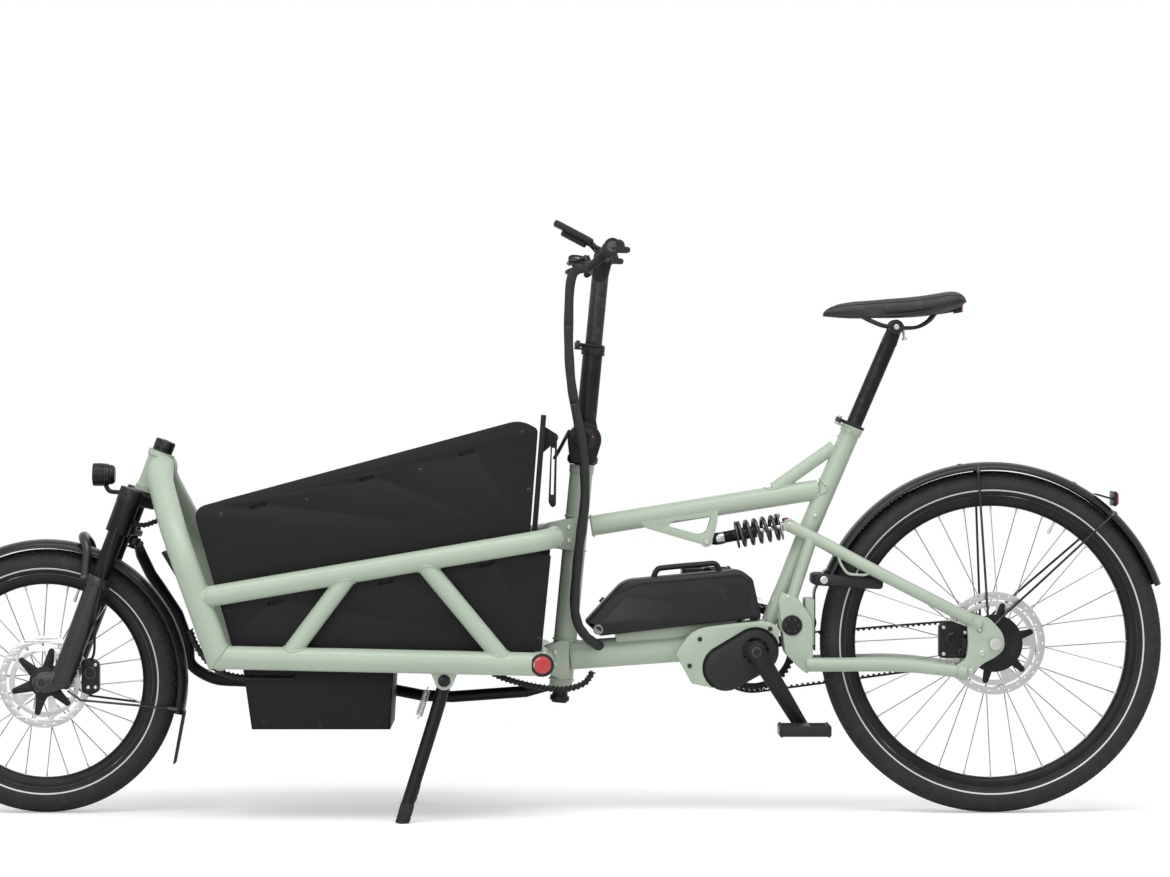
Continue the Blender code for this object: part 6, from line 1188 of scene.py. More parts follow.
for name, body, centre, bead, steps, count in (("rear_rim", "rear_wheel", REAR_AXLE, 0.287, 144, 32),
                                               ("front_rim", "front_wheel", FRONT_AXLE, 0.2105, 120, 28)):
    hoop = bmesh.new()
    outer = bead - 0.0003
    depth = 0.0212
    add_turned(hoop, centre, Vector((0, 1, 0)),
               [(0.015, outer), (-0.015, outer), (-0.0152, outer - 0.002), (-0.0146, outer - 0.0035),
                (-0.015, outer - 0.005), (-0.014, outer - 0.6 * depth), (-0.01, outer - 0.9 * depth),
                (-0.006, outer - depth), (0.006, outer - depth), (0.01, outer - 0.9 * depth),
                (0.014, outer - 0.6 * depth), (0.015, outer - 0.005), (0.0146, outer - 0.0035),
                (0.0152, outer - 0.002)], steps, ring=True)
    piece(hoop, f"{name}_hoop", body, BLACK_METAL, "black_metal", name)
    nipples = bmesh.new()
    for number in range(count):
        angle = 2 * math.pi * number / count
        out_of = Vector((math.cos(angle), 0, math.sin(angle)))
        lean = Vector((0, 0.003 if number % 2 else -0.003, 0))
        add_turned(nipples, centre + (outer - depth - 0.0085) * out_of + lean, out_of,
                   [(0, 0.0014), (0.0004, 0.0019), (0.007, 0.0019), (0.0078, 0.0031), (0.0095, 0.0034)], 10)
    valve_turn = 2 * math.pi * 5.5 / count
    out_of = Vector((math.cos(valve_turn), 0, math.sin(valve_turn)))
    add_turned(nipples, centre + (outer - depth - 0.026) * out_of, out_of,
               [(0, 0.0022), (0.0006, 0.003), (0.01, 0.0031), (0.0104, 0.0026), (0.026, 0.0026),
                (0.0262, 0.005), (0.0275, 0.0052)], 18)
    piece(nipples, f"{name}_nipples_and_valve", body, BRIGHT_STEEL, "bright_steel")


# Hubs and spokes: a large geared rear hub and a slim front hub,
# each laced to its rim with round steel spokes.
# Forged and turned hub shells in black; plain-gauge spokes that cross between the flanges and the rim.

def add_spokes(shape, centre, count, hub_radius, rim_radius, hub_y, lean, thickness=0.00105):
    for number in range(count):
        side = 1 if number % 2 else -1
        angle = 2 * math.pi * number / count
        ends = [centre + Vector((radius * math.cos(angle + turn), side * y, radius * math.sin(angle + turn)))
                for radius, y, turn in ((hub_radius, hub_y, side * lean), (rim_radius, 0.003, 0))]
        heading = (ends[1] - ends[0]).normalized()
        bend = ends[0] + Vector((0, -side * 0.0045, 0))
        add_tube(shape,
                 [bend, ends[0] - 0.0006 * heading + Vector((0, side * 0.0012, 0)), ends[0] + 0.003 * heading,
                  ends[1]], thickness, 8)


rear_shell = bmesh.new()
add_turned(rear_shell, REAR_AXLE, Vector((0, 1, 0)),
           [(-0.0605, 0.02), (-0.04, 0.0205), (-0.0345, 0.024), (-0.0335, 0.047), (-0.0325, 0.048),
            (-0.0275, 0.048), (-0.0262, 0.0468), (-0.024, 0.0405), (-0.012, 0.0385), (0.012, 0.0385),
            (0.024, 0.0405), (0.0262, 0.0468), (0.0275, 0.048), (0.0325, 0.048), (0.0335, 0.047),
            (0.0345, 0.03), (0.04, 0.0205), (0.0685, 0.02), (0.0685, 0.0082), (-0.0605, 0.0082)], 72,
           ring=True)
piece(rear_shell, "rear_hub_shell", "rear_wheel", BLACK_METAL, "black_metal", "rear_hub")
front_shell = bmesh.new()
add_turned(front_shell, FRONT_AXLE, Vector((0, 1, 0)),
           [(-0.0495, 0.0135), (-0.037, 0.014), (-0.0365, 0.02), (-0.031, 0.02), (-0.0292, 0.028),
            (-0.0285, 0.029), (-0.0245, 0.029), (-0.023, 0.026), (-0.02, 0.019), (-0.008, 0.016),
            (0.008, 0.016), (0.02, 0.019), (0.023, 0.026), (0.0245, 0.029), (0.0285, 0.029), (0.0292, 0.028),
            (0.031, 0.015), (0.0495, 0.0135), (0.0495, 0.0082), (-0.0495, 0.0082)], 64, ring=True)
piece(front_shell, "front_hub_shell", "front_wheel", BLACK_METAL, "black_metal", "front_hub")
SPOKE_STEEL = bright_metal("spoke_steel", (0.33, 0.33, 0.335), 0.3)
for name, body, centre, count, hub_radius, rim_radius, hub_y, lean in (
    ("rear_spokes", "rear_wheel", REAR_AXLE, 32, 0.045, 0.261, 0.03, 0.3),
    ("front_spokes", "front_wheel", FRONT_AXLE, 28, 0.026, 0.1845, 0.026, 0.55),
):
    wires = bmesh.new()
    add_spokes(wires, centre, count, hub_radius, rim_radius, hub_y, lean)
    piece(wires, name, body, SPOKE_STEEL, "bright_steel")


# Brake discs: a drilled steel track on swept arms, with a slotted inner ring that the speed sensor reads.
# Stamped stainless steel about two millimetres thick, six screws to the hub's face.

disc_steel = Finish("ground_disc_steel")
rings = disc_steel.noise(1200, 2)
film = disc_steel.above(disc_steel.noise(50, 5), 0.45, 0.8)
DISC_STEEL = disc_steel.done(
    Base_Color=disc_steel.mix(film * 0.5, (0.52, 0.51, 0.5), (0.36, 0.35, 0.34)), Metallic=1.0,
    Roughness=rings * 0.14 + film * 0.12 + 0.24, Normal=disc_steel.bump(rings, 0.00005, 0.3))

for name, body, centre, y, radius, ring_radius, arms, holes_count in (
    ("rear_rotor", "rear_wheel", REAR_AXLE, -0.059, 0.0998, 0.0755, 5, 30),
    ("front_rotor", "front_wheel", FRONT_AXLE, -0.035, 0.0898, 0.0625, 5, 28),
):
    disc = bmesh.new()
    middle = (centre.x, centre.z)
    windows = [circle(middle, 0.0203, 40)]
    for number in range(arms):
        first = 360 / arms * number
        for inner, outer, turn, wide in ((0.03, ring_radius - 0.004, 14, 360 / arms - 20),
                                         (ring_radius + 0.0065, radius - 0.0145, 4, 360 / arms - 9)):
            swept = 16 * (outer - inner) / 0.04
            windows.append(arc(middle, inner, first + turn, first + turn + wide, 14)
                           + arc(middle, outer, first + turn + wide + swept - 16,
                                 first + turn + swept - 16 + 0, 14))
    for number in range(holes_count):
        angle = 2 * math.pi * number / holes_count
        across_track = radius - (0.0045, 0.0075, 0.0105)[number % 3]
        windows.append(
            circle((middle[0] + across_track * math.cos(angle), middle[1] + across_track * math.sin(angle)),
                   0.0017, 10)
        )
    add_plate(disc, circle(middle, radius, 120), 0.002, side_on(y), windows, 0.0003)
    piece(disc, f"{name}_disc", body, DISC_STEEL, "bright_steel", name)
    carrier = bmesh.new()
    hub_reach = 0.056 if body == "rear_wheel" else 0.03
    carrier_at = side_on(y - 0.0021)
    add_plate(carrier, circle((centre.x, centre.z), hub_reach, 72), 0.002, carrier_at, edge=0.0006)
    for arm in range(6):
        lean = 2 * math.pi * arm / 6 + 0.3
        tip_of_arm = (centre.x + (ring_radius - 0.0015) * math.cos(lean),
                      centre.z + (ring_radius - 0.0015) * math.sin(lean))
        add_plate(carrier, strap((centre.x, centre.z), tip_of_arm, 0.015, 0.0058, 12), 0.0018, carrier_at,
                  edge=0.0005)
    piece(carrier, f"{name}_carrier", body, BLACK_METAL, "black_metal")
    disc_screws = bmesh.new()
    for number in range(6):
        angle = 2 * math.pi * (number + 0.5) / 6
        add_screw(disc_screws,
                  centre + Vector((0.025 * math.cos(angle), y - 0.0008, 0.025 * math.sin(angle))),
                  Vector((0, -1, 0)), 0.0032, 0.0018)
    piece(disc_screws, f"{name}_screws", body, DARK_SCREW, "black_metal")


# Rear axle and brake: a steel axle bolted through both dropouts,
# and a two-piston caliper that straddles the disc.
# Machined steel; the caliper is a forged black body in two halves,
# bolted to the left stay, with a banjo for its hose.

axle = bmesh.new()
add_turned(axle, REAR_AXLE - Vector((0, 0.096, 0)), Vector((0, 1, 0)),
           [(0, 0.009), (0.0006, 0.0116), (0.0077, 0.012), (0.0077, 0.0075), (0.022, 0.0075), (0.022, 0.014),
            (0.0349, 0.014), (0.0349, 0.0075), (0.1651, 0.0075), (0.1651, 0.014), (0.17, 0.014),
            (0.17, 0.0075), (0.1843, 0.0075), (0.1843, 0.012), (0.1914, 0.0116), (0.192, 0.009)], 36)
piece(axle, "rear_axle_and_nuts", "swingarm", BRIGHT_STEEL, "bright_steel", "rear_axle")

caliper = bmesh.new()
shape_rear = soft(
    ((0.779, 0.306, 0.008), (0.837, 0.306, 0.006), (0.837, 0.366, 0.006), (0.796, 0.3798, 0.008),
     (0.779, 0.37, 0.006)), 8,
)
add_plate(caliper, shape_rear, 0.0076, side_on(-0.0494), edge=0.0016)
add_plate(caliper, shape_rear, 0.0086, side_on(-0.0652), edge=0.0016)
add_plate(caliper,
          soft(((0.779, 0.322, 0.003), (0.7845, 0.322, 0.001), (0.7845, 0.364, 0.001), (0.779, 0.364, 0.003)),
               4), 0.019, side_on(-0.056), edge=0.001)
add_plate(caliper,
          soft(((0.822, 0.312, 0.004), (0.85, 0.312, 0.004), (0.85, 0.345, 0.004), (0.822, 0.345, 0.004)),
               5), 0.01, side_on(-0.069), edge=0.0014)
for x, z, radius in ((0.806, 0.343, 0.0125), (0.822, 0.318, 0.006)):
    add_turned(caliper, Vector((x, -0.069, z)), Vector((0, -1, 0)),
               [(0, radius), (0.0022, radius), (0.003, radius - 0.001), (0.003, radius * 0.55),
                (0.0018, radius * 0.45)], 32)
piece(caliper, "rear_caliper_body", "swingarm", BLACK_METAL, "black_metal", "rear_caliper")
caliper_screws = bmesh.new()
for x, z in ((0.788, 0.314), (0.788, 0.366), (0.83, 0.356), (0.844, 0.32), (0.844, 0.338)):
    add_screw(caliper_screws, Vector((x, -0.0695 if x < 0.835 else -0.0735, z)), Vector((0, -1, 0)), 0.0036,
              0.0026)
piece(caliper_screws, "rear_caliper_screws", "swingarm", BRIGHT_STEEL, "bright_steel")


# Mudguards: long gutters over both wheels with a rolled lip, wire stays and, in front, a loose rubber flap.
# Black polycarbonate over an aluminium core; the stays are stainless wire in black, clipped to the skin.

def add_gutter(shape, centre, outer, skirt, half, start, end, steps):
    """The gutter's section, spun about the axle between two angles, with both ends closed."""
    rise = outer - skirt
    high = [(1.0, 0.05), (0.985, 0.22), (0.94, 0.42), (0.86, 0.6), (0.72, 0.76), (0.55, 0.88),
            (0.34, 0.955), (0.14, 0.99)]
    out_side = [(half * wide, skirt + rise * up)
                for up, wide in high] + [(half, skirt), (half - 0.0006, skirt - 0.0006)]
    inside = [(half * wide - 0.0022 * wide ** 3, skirt + rise * up - 0.0018 * (1 - wide ** 3))
              for up, wide in high]
    section = [(-y, r) for y, r in reversed(out_side)] + out_side
    section += [(half - 0.0022, skirt)] + [(y, r) for y, r in reversed(inside)] + [(-y, r) for y, r in inside]
    section += [(-half + 0.0022, skirt)]
    part = bmesh.new()
    turn = Matrix.Rotation(math.radians(start), 4, "Y").inverted()
    points = [part.verts.new(turn @ Vector((radius, y, 0))) for y, radius in section]
    face = part.faces.new(points)
    sweep = math.radians(end - start)
    bmesh.ops.spin(part, geom=[face, *face.edges, *face.verts], axis=(0, -1, 0), cent=(0, 0, 0), angle=sweep,
                   steps=steps, use_merge=False)
    bmesh.ops.recalc_face_normals(part, faces=part.faces)
    bmesh.ops.translate(part, verts=part.verts, vec=centre)
    mesh = bpy.data.meshes.new("gutter")
    part.to_mesh(mesh)
    part.free()
    add_mesh(shape, mesh)


GUARD_PLASTIC = moulded("satin_guard_plastic", (0.013, 0.013, 0.0135), 0.3, 1100, 0.00004)
STAY_FOOT = 0.0718
REAR_STAYS = (((0.8745, STAY_FOOT, 0.379), (0.874, 0.0715, 0.386), (0.86, 0.031, 0.664), (0.86, 0.029, 0.68)),
              ((0.888, STAY_FOOT, 0.372), (0.9, 0.0715, 0.385), (0.965, 0.066, 0.443), (1.119, 0.031, 0.58),
               (1.129, 0.0285, 0.588)))
guard = bmesh.new()
add_gutter(guard, REAR_AXLE, 0.352, 0.337, 0.031, 18.9, 157.2, 110)
shield = soft(
    ((0.5395, 0.318, 0.0006), (0.5395, 0.436, 0.01), (0.56, 0.474, 0.006), (0.57, 0.478, 0.001),
     (0.572, 0.474, 0.001), (0.563, 0.471, 0.004), (0.542, 0.4345, 0.008), (0.542, 0.318, 0.0006)), 5,
)
add_plate(guard, shield, 0.05, side_on(), edge=0.0006)
piece(guard, "rear_mudguard", "swingarm", GUARD_PLASTIC, "black_plastic", "rear_fender")
wires = bmesh.new()
for side in (-1, 1):
    for route in REAR_STAYS:
        add_tube(wires, [across(place, side) for place in route], 0.0023, 12)
        end = across(route[-1], side)
        before = across(route[-2], side)
        add_tube(wires, [end.lerp(before, 0.0), end.lerp(before, 0.9)], 0.0042, 14)
piece(wires, "rear_guard_stays", "swingarm", BLACK_METAL, "black_metal")
guard_rivets = bmesh.new()
for angle in (62, 100):
    turn = math.radians(angle)
    out_of = Vector((math.cos(turn), 0, math.sin(turn)))
    add_turned(guard_rivets, REAR_AXLE + 0.3512 * out_of, out_of,
               [(0, 0.0052), (0.0014, 0.005), (0.0022, 0.0034)], 20)
piece(guard_rivets, "rear_guard_rivets", "swingarm", DARK_SCREW, "black_metal")

FRONT_STAY = ((-0.9148, 0.062, 0.2422), (-0.89, 0.064, 0.224), (-0.725, 0.032, 0.206), (-0.704, 0.029, 0.204))
guard = bmesh.new()
add_gutter(guard, FRONT_AXLE, 0.277, 0.2605, 0.03, -14, 155, 110)
piece(guard, "front_mudguard", "fork_lowers", GUARD_PLASTIC, "black_plastic", "front_fender")
flap = bmesh.new()
add_plate(flap,
          soft(
              ((-0.713, 0.096, 0.0006), (-0.7105, 0.096, 0.0006), (-0.6915, 0.196, 0.002),
               (-0.694, 0.201, 0.001)), 4,
          ), 0.056, side_on(), edge=0.0007)
for up in range(5):
    share = 0.12 + 0.16 * up
    low = Vector((-0.7108, 0, 0.096)).lerp(Vector((-0.6918, 0, 0.196)), share)
    add_tube(flap, [low + Vector((0, y, 0)) for y in (-0.024, 0.024)], 0.0008, 8)
rubber_flap = moulded("soft_flap_rubber", (0.017, 0.017, 0.017), 0.78, 500)
piece(flap, "front_guard_flap", "fork_lowers", rubber_flap, "black_rubber")
wires = bmesh.new()
for side in (-1, 1):
    add_tube(wires, [across(place, side) for place in FRONT_STAY], 0.0023, 12)
    end, before = across(FRONT_STAY[-1], side), across(FRONT_STAY[-2], side)
    add_tube(wires, [end, end.lerp(before, 0.9)], 0.004, 14)
piece(wires, "front_guard_stays", "fork_lowers", BLACK_METAL, "black_metal")


# Belt drive: a toothed belt runs from the big belt ring on
# the right crank to a small sprocket, over a plain idler.
# Cast polyurethane belt with its teeth inside, driven by anodised rings that have a groove for every tooth.

CHAINRING_TEETH, SPROCKET_TEETH, BELT_TEETH = 50, 24, 124
BELT_LINE = 0.062
IDLER = Vector((0.5292, 0, 0.3685))
TOOTH_BASE, BELT_BACK, BELT_LAND, BELT_TIP = 0.006, 0.0022, -0.0012, -0.0046


def belt_runs(pitch):
    """The loop as arcs and straights for this pitch, with where each begins along it."""
    wheels = ((Vector((CRANK_AXIS.x, CRANK_AXIS.z)), CHAINRING_TEETH * pitch / (2 * math.pi)),
              (Vector((REAR_AXLE.x, REAR_AXLE.z)), SPROCKET_TEETH * pitch / (2 * math.pi)),
              (Vector((IDLER.x, IDLER.z)), -0.021))
    lines = []
    for number, (centre, radius) in enumerate(wheels):
        other, other_radius = wheels[(number + 1) % 3]
        reach = other - centre
        heading = reach.normalized()
        lean = (radius - other_radius) / reach.length
        normal = lean * heading + math.sqrt(1 - lean ** 2) * Vector((heading.y, -heading.x))
        lines.append((centre + radius * normal, other + other_radius * normal, normal))
    runs, start = [], 0
    for number, (centre, radius) in enumerate(wheels):
        arriving, leaving = lines[number - 1][2], lines[number][2]
        begin = math.atan2(arriving.y, arriving.x)
        sweep = math.atan2(leaving.y, leaving.x) - begin
        while sweep * radius < 0:
            sweep += math.copysign(2 * math.pi, radius)
        runs.append(("arc", start, start + abs(sweep * radius), centre, radius, begin))
        start += abs(sweep * radius)
        head, tail, normal = lines[number]
        runs.append(("line", start, start + (tail - head).length, head, tail, normal))
        start += (tail - head).length
    return runs, start


pitch = 0.011
for _ in range(60):
    pitch = belt_runs(pitch)[1] / BELT_TEETH
runs, loop = belt_runs(pitch)
CHAINRING_RADIUS = CHAINRING_TEETH * pitch / (2 * math.pi)
SPROCKET_RADIUS = SPROCKET_TEETH * pitch / (2 * math.pi)


def belt_point(distance, offset):
    """The place this far along the belt and this far outside its pitch line."""
    distance %= loop
    for kind, start, end, *rest in runs:
        if distance <= end:
            break
    if kind == "arc":
        centre, radius, begin = rest
        angle = begin + (distance - start) / radius
        return tuple(centre + (radius + offset) * Vector((math.cos(angle), math.sin(angle))))
    head, tail, normal = rest
    return tuple(head.lerp(tail, (distance - start) / (end - start)) + offset * normal)


TOOTH_SHAPE = ((-0.5, 0.0), (-0.4, 0.3), (-0.3, 0.72), (-0.16, 0.95), (0, 1.0), (0.16, 0.95),
               (0.3, 0.72), (0.4, 0.3), (0.5, 0.0))
back = [belt_point(loop * step / 620, BELT_BACK) for step in range(620)]
teeth = [belt_point((number + TOOTH_BASE / pitch * along) * pitch, BELT_LAND + (BELT_TIP - BELT_LAND) * high)
         for number in range(BELT_TEETH) for along, high in TOOTH_SHAPE]
belt = bmesh.new()
add_plate(belt, back, 0.012, side_on(BELT_LINE), [teeth], 0.0004)


def crossing(shape, name, material, slot, first, second, start, end, *nodes):
    """Make a piece with its finish, shaded smooth, and hide its CAD nodes; first, second, start and end are
    not used.
    """
    mesh = bpy.data.meshes.new(name)
    shape.to_mesh(mesh)
    shape.free()
    mesh.shade_smooth()
    mesh.materials.append(material)
    made = bpy.data.objects.new(name, mesh)
    bpy.context.scene.collection.objects.link(made)
    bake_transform(made)
    for node in nodes:
        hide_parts(node)
    return made


BELT_RUBBER = moulded("belt_polyurethane", (0.016, 0.016, 0.016), 0.6, 800, 0.00008)
crossing(belt, "toothed_belt", BELT_RUBBER, "black_rubber", "frame", "swingarm",
         (0.515, 0.062, 0.35), (0.56, 0.062, 0.35), "drive_belt")


def grooved(centre, radius, count, phase):
    """A ring's outline with a groove for every tooth of the belt."""
    outline = []
    for number in range(count):
        angle = phase + 2 * math.pi * number / count
        for along, high in TOOTH_SHAPE:
            turn = angle + along * (TOOTH_BASE + 0.0012) / radius
            height = BELT_LAND - 0.0005 + (BELT_TIP - 0.0008 - BELT_LAND + 0.0005) * high
            outline.append(
                (centre[0] + (radius + height) * math.cos(turn),
                 centre[1] + (radius + height) * math.sin(turn))
            )
    return outline


sprocket = bmesh.new()
middle = (REAR_AXLE.x, REAR_AXLE.z)
sprocket_phase = runs[2][5] - runs[2][1] / SPROCKET_RADIUS
holes = [
    circle(middle, 0.0211, 40)
] + [circle((middle[0] + 0.029 * math.cos(a), middle[1] + 0.029 * math.sin(a)), 0.003, 14)
                                        for a in (math.pi / 4 * step for step in range(8))]
add_plate(sprocket, grooved(middle, SPROCKET_RADIUS, SPROCKET_TEETH, sprocket_phase), 0.0128,
          side_on(BELT_LINE), holes, 0.0004)
piece(sprocket, "belt_sprocket", "rear_sprocket", bright_metal("sprocket_steel", (0.3, 0.3, 0.31), 0.34),
      "bright_steel", "rear_sprocket")
idler = bmesh.new()
add_turned(idler, IDLER + Vector((0, BELT_LINE - 0.0085, 0)), Vector((0, 1, 0)),
           [(0, 0.0198), (0.0006, 0.0205), (0.002, 0.0205), (0.0024, 0.0185), (0.0146, 0.0185),
            (0.015, 0.0205), (0.0164, 0.0205), (0.017, 0.0198), (0.017, 0.013), (0.015, 0.012),
            (0.015, 0.0054), (0, 0.0054)], 48, ring=True)
piece(idler, "belt_idler_wheel", "belt_idler", BLACK_METAL, "black_metal", "belt_idler")


# Cranks and pedals: forged arms on the motor's spindle,
# the right one with the belt ring; platform pedals with grip pins.
# Forged aluminium in satin black; the pedals are moulded bodies on steel pins, their treads ribbed.

CRANK_WAY = Vector((0.519, 0, -0.855)).normalized()

for side, label in SIDES:
    end = CRANK_AXIS - side * 0.17 * CRANK_WAY
    arm = bmesh.new()
    add_plate(arm, strap((CRANK_AXIS.x, CRANK_AXIS.z), (end.x, end.z), 0.0185, 0.0135, 20), 0.014,
              side_on(side * 0.083), [circle((end.x, end.z), 0.0077, 24)], 0.004)
    add_turned(arm, CRANK_AXIS + Vector((0, side * 0.0512, 0)), Vector((0, side, 0)),
               [(0, 0.0158), (0.0008, 0.0165), (0.026, 0.0168), (0.029, 0.015)], 36)
    add_turned(arm, CRANK_AXIS + Vector((0, side * 0.001, 0)), Vector((0, side, 0)),
               [(0, 0.012), (0.079, 0.012)], 32)
    if side > 0:
        windows = []
        for number in range(5):
            first = 72 * number - 58.7
            windows.append(arc((CRANK_AXIS.x, CRANK_AXIS.z), 0.03, first + 22, first + 50, 8)
                           + arc((CRANK_AXIS.x, CRANK_AXIS.z), CHAINRING_RADIUS - 0.017, first + 64,
                                 first + 8, 16))
        add_plate(arm, grooved((CRANK_AXIS.x, CRANK_AXIS.z), CHAINRING_RADIUS, CHAINRING_TEETH, runs[0][5]),
                  0.01, side_on(BELT_LINE), windows, 0.0004)
    piece(arm, f"crank_arm_{label}", "cranks", BLACK_METAL, "black_metal", f"crank_{label}")
    bolt = bmesh.new()
    add_turned(bolt, CRANK_AXIS + Vector((0, side * 0.0898, 0)), Vector((0, side, 0)), [
        (-0.001, 0.0098), (0.0003, 0.0098), (0.0008, 0.009), (0.0008, 0.005), (-0.001, 0.0046)], 28)
    piece(bolt, f"crank_bolt_{label}", "cranks", DARK_SCREW, "black_metal")
    pedal = bmesh.new()
    middle = end + Vector((0, side * 0.1465, 0))
    body = soft(rectangle(0.05, 0.0485, 0.012), 6)
    openings = [soft(rectangle(0.015, 0.0335, 0.005, ahead), 5) for ahead in (-0.026, 0.026)]
    add_plate(pedal, body, 0.02, Matrix.Translation(middle), openings, 0.0025)
    for ahead in (-0.0455, 0.0455):
        for number in range(9):
            y = -0.038 + 0.0095 * number
            for up in (-1, 1):
                add_turned(pedal, Vector((middle.x + ahead, middle.y + y, middle.z + up * 0.0095)),
                           Vector((0, 0, up)), [(0, 0.0022), (0.0024, 0.0017)], 10)
    add_tube(pedal, [middle + Vector((0, y, 0)) for y in (-0.047, 0.047)], 0.0095, 24)
    add_turned(pedal, end + Vector((0, side * 0.0772, 0)), Vector((0, side, 0)),
               [(0, 0.0062), (0.0006, 0.007), (0.015, 0.007), (0.0152, 0.0088), (0.019, 0.0088),
                (0.021, 0.008), (0.023, 0.008)], 28)
    piece(pedal, f"pedal_body_{label}", f"pedal_{label}", BLACK_PLASTIC, "black_plastic", f"pedal_{label}")
    for fore, aft in ((-1, "front"), (1, "rear")):
        glint_strip = bmesh.new()
        face = soft(rectangle(0.03, 0.0055, 0.001), 3)
        upright = (Matrix.Translation((middle.x + fore * 0.0496, middle.y, middle.z))
                   @ Matrix.Rotation(math.pi / 2, 4, "Z") @ Matrix.Rotation(math.pi / 2, 4, "X"))
        add_plate(glint_strip, face, 0.0016, upright, edge=0.0004)
        amber = Finish(f"amber_prisms_{label}_{aft}")
        cells = amber.node("TexVoronoi", {"distance": "CHEBYCHEV"},
                           {"Vector": amber.place, "Scale": 500, "Randomness": 0.1})
        # The lighter and darker prism facets in the amber colour are painted glints.
        amber.done(Base_Color=amber.mix(cells, (0.55, 0.24, 0.02), (0.34, 0.13, 0.01)),
                   Roughness=cells * 0.15 + 0.15, Normal=amber.bump(cells, 0.0003, 0.5))
        piece(glint_strip, f"pedal_reflector_{label}_{aft}", f"pedal_{label}", amber.material,
              "black_plastic")


# Fork: crown, upper legs and the steering arm turn in the head tube;
# the lowers slide on the legs and hold the wheel.
# Forged crown, ground black stanchions, cast lowers joined by an arch; satin black all over.

LEG_SPREAD, CROWN_OFFSET = 0.065, 0.022
crown_top, crown_bottom = 0.085, 0.115
upper_fork = bmesh.new()
add_turned(upper_fork, on_head(crown_bottom - 0.002), HEAD_UP,
           [(0, 0.0143), (0.1134, 0.0143), (0.1136, 0.0192), (0.1145, 0.02), (0.118, 0.02),
            (0.1184, 0.0192), (0.1196, 0.0192), (0.12, 0.02), (0.134, 0.02), (0.1362, 0.0192),
            (0.137, 0.0172), (0.137, 0.0062), (0.1352, 0.0056), (0.135, 0.001)], 44)
level = facing(on_head(crown_top + 0.015), HEAD_UP)
for side in (-1, 1):
    spread = side * LEG_SPREAD
    add_turned(upper_fork, on_head(0.377, CROWN_OFFSET, spread), HEAD_UP,
               [(0, 0.0166), (0.0006, 0.017), (0.2005, 0.017), (0.201, 0.0224), (0.202, 0.023),
                (0.261, 0.023), (0.2618, 0.0238), (0.29, 0.0238), (0.2914, 0.0232), (0.292, 0.0218),
                (0.292, 0.015), (0.2908, 0.014), (0.2906, 0.001)], 40)
    add_plate(upper_fork, strap((0, 0), (-CROWN_OFFSET, spread), 0.026, 0.0225), 0.026, level, edge=0.0055)
    if side > 0:
        add_plate(upper_fork, strap((-CROWN_OFFSET, LEG_SPREAD), (0, 0.1), 0.024, 0.012, 16), 0.012,
                  facing(on_head(0.171), HEAD_UP), edge=0.0024)
        add_turned(upper_fork, on_head(0.204, 0, 0.1), HEAD_UP,
                   [(0, 0.0092), (0.0006, 0.01), (0.0026, 0.01), (0.003, 0.0092), (0.003, 0.006),
                    (0.034, 0.006)], 28)
piece(upper_fork, "fork_crown_and_legs", "fork", BLACK_METAL, "black_metal", "fork_upper")
crown_screws = bmesh.new()
add_screw(crown_screws, on_head(-0.0225), HEAD_UP, 0.0052, 0.0026)
for side in (-1, 1):
    add_turned(crown_screws, on_head(0.0862, CROWN_OFFSET, side * LEG_SPREAD), HEAD_UP, [
        (-0.001, 0.0138), (0.0008, 0.0134), (0.0014, 0.012), (0.0014, 0.006), (0.0004, 0.0054)], 30)
add_screw(crown_screws, on_head(0.164, 0, 0.1), HEAD_UP, 0.006, 0.004)
piece(crown_screws, "fork_caps_and_screws", "fork", DARK_SCREW, "black_metal")

LOWER_METAL = dark_metal("cast_lowers_black", (0.016, 0.016, 0.017), 0.36, 300, 0.35, 0.25)
lowers = bmesh.new()
add_turned(lowers, FRONT_AXLE - Vector((0, 0.0785, 0)), Vector((0, 1, 0)), [
    (0, 0.006), (0.0006, 0.0072), (0.0012, 0.0075), (0.1558, 0.0075), (0.1564, 0.0072), (0.157, 0.006)], 32)
for side in (-1, 1):
    spread = side * LEG_SPREAD
    add_turned(lowers, on_head(0.495, CROWN_OFFSET, spread), HEAD_UP,
               [(0, 0.015), (0.001, 0.0172), (0.006, 0.0208), (0.02, 0.0214), (0.209, 0.0225),
                (0.2104, 0.024), (0.2116, 0.0245), (0.2262, 0.0245), (0.2276, 0.0238), (0.228, 0.0215),
                (0.228, 0.0173), (0.05, 0.0173), (0.0496, 0.0)], 44)
    foot_at = on_head(0.479, CROWN_OFFSET)
    add_plate(lowers, strap((FRONT_AXLE.x, FRONT_AXLE.z), (foot_at.x, foot_at.z), 0.0195, 0.019, 20), 0.0295,
              side_on(side * 0.0652), edge=0.005)
half_arch = [Vector((-0.89, 0, 0.541)), Vector((-0.888, 0.025, 0.537)),
             Vector((-0.879, 0.045, 0.515)), on_head(0.279, 0.0497, 0.062)]
arch = through([across(place, -1) for place in reversed(half_arch[1:])] + half_arch, 7)
add_tube(lowers, arch, 0.009, 22)
piece(lowers, "fork_lowers_and_arch", "fork_lowers", LOWER_METAL, "black_metal", "fork_lowers")
lower_caps = bmesh.new()
for side in (-1, 1):
    add_turned(lower_caps, FRONT_AXLE + Vector((0, side * 0.0792, 0)), Vector((0, side, 0)), [
        (0, 0.0112), (0.002, 0.0112), (0.0028, 0.0104), (0.0028, 0.0052), (0.0012, 0.0046)], 32)
    add_screw(lower_caps, on_head(0.4935, CROWN_OFFSET, side * LEG_SPREAD), -HEAD_UP, 0.0062, 0.0026)
piece(lower_caps, "front_axle_caps", "fork_lowers", DARK_SCREW, "black_metal")

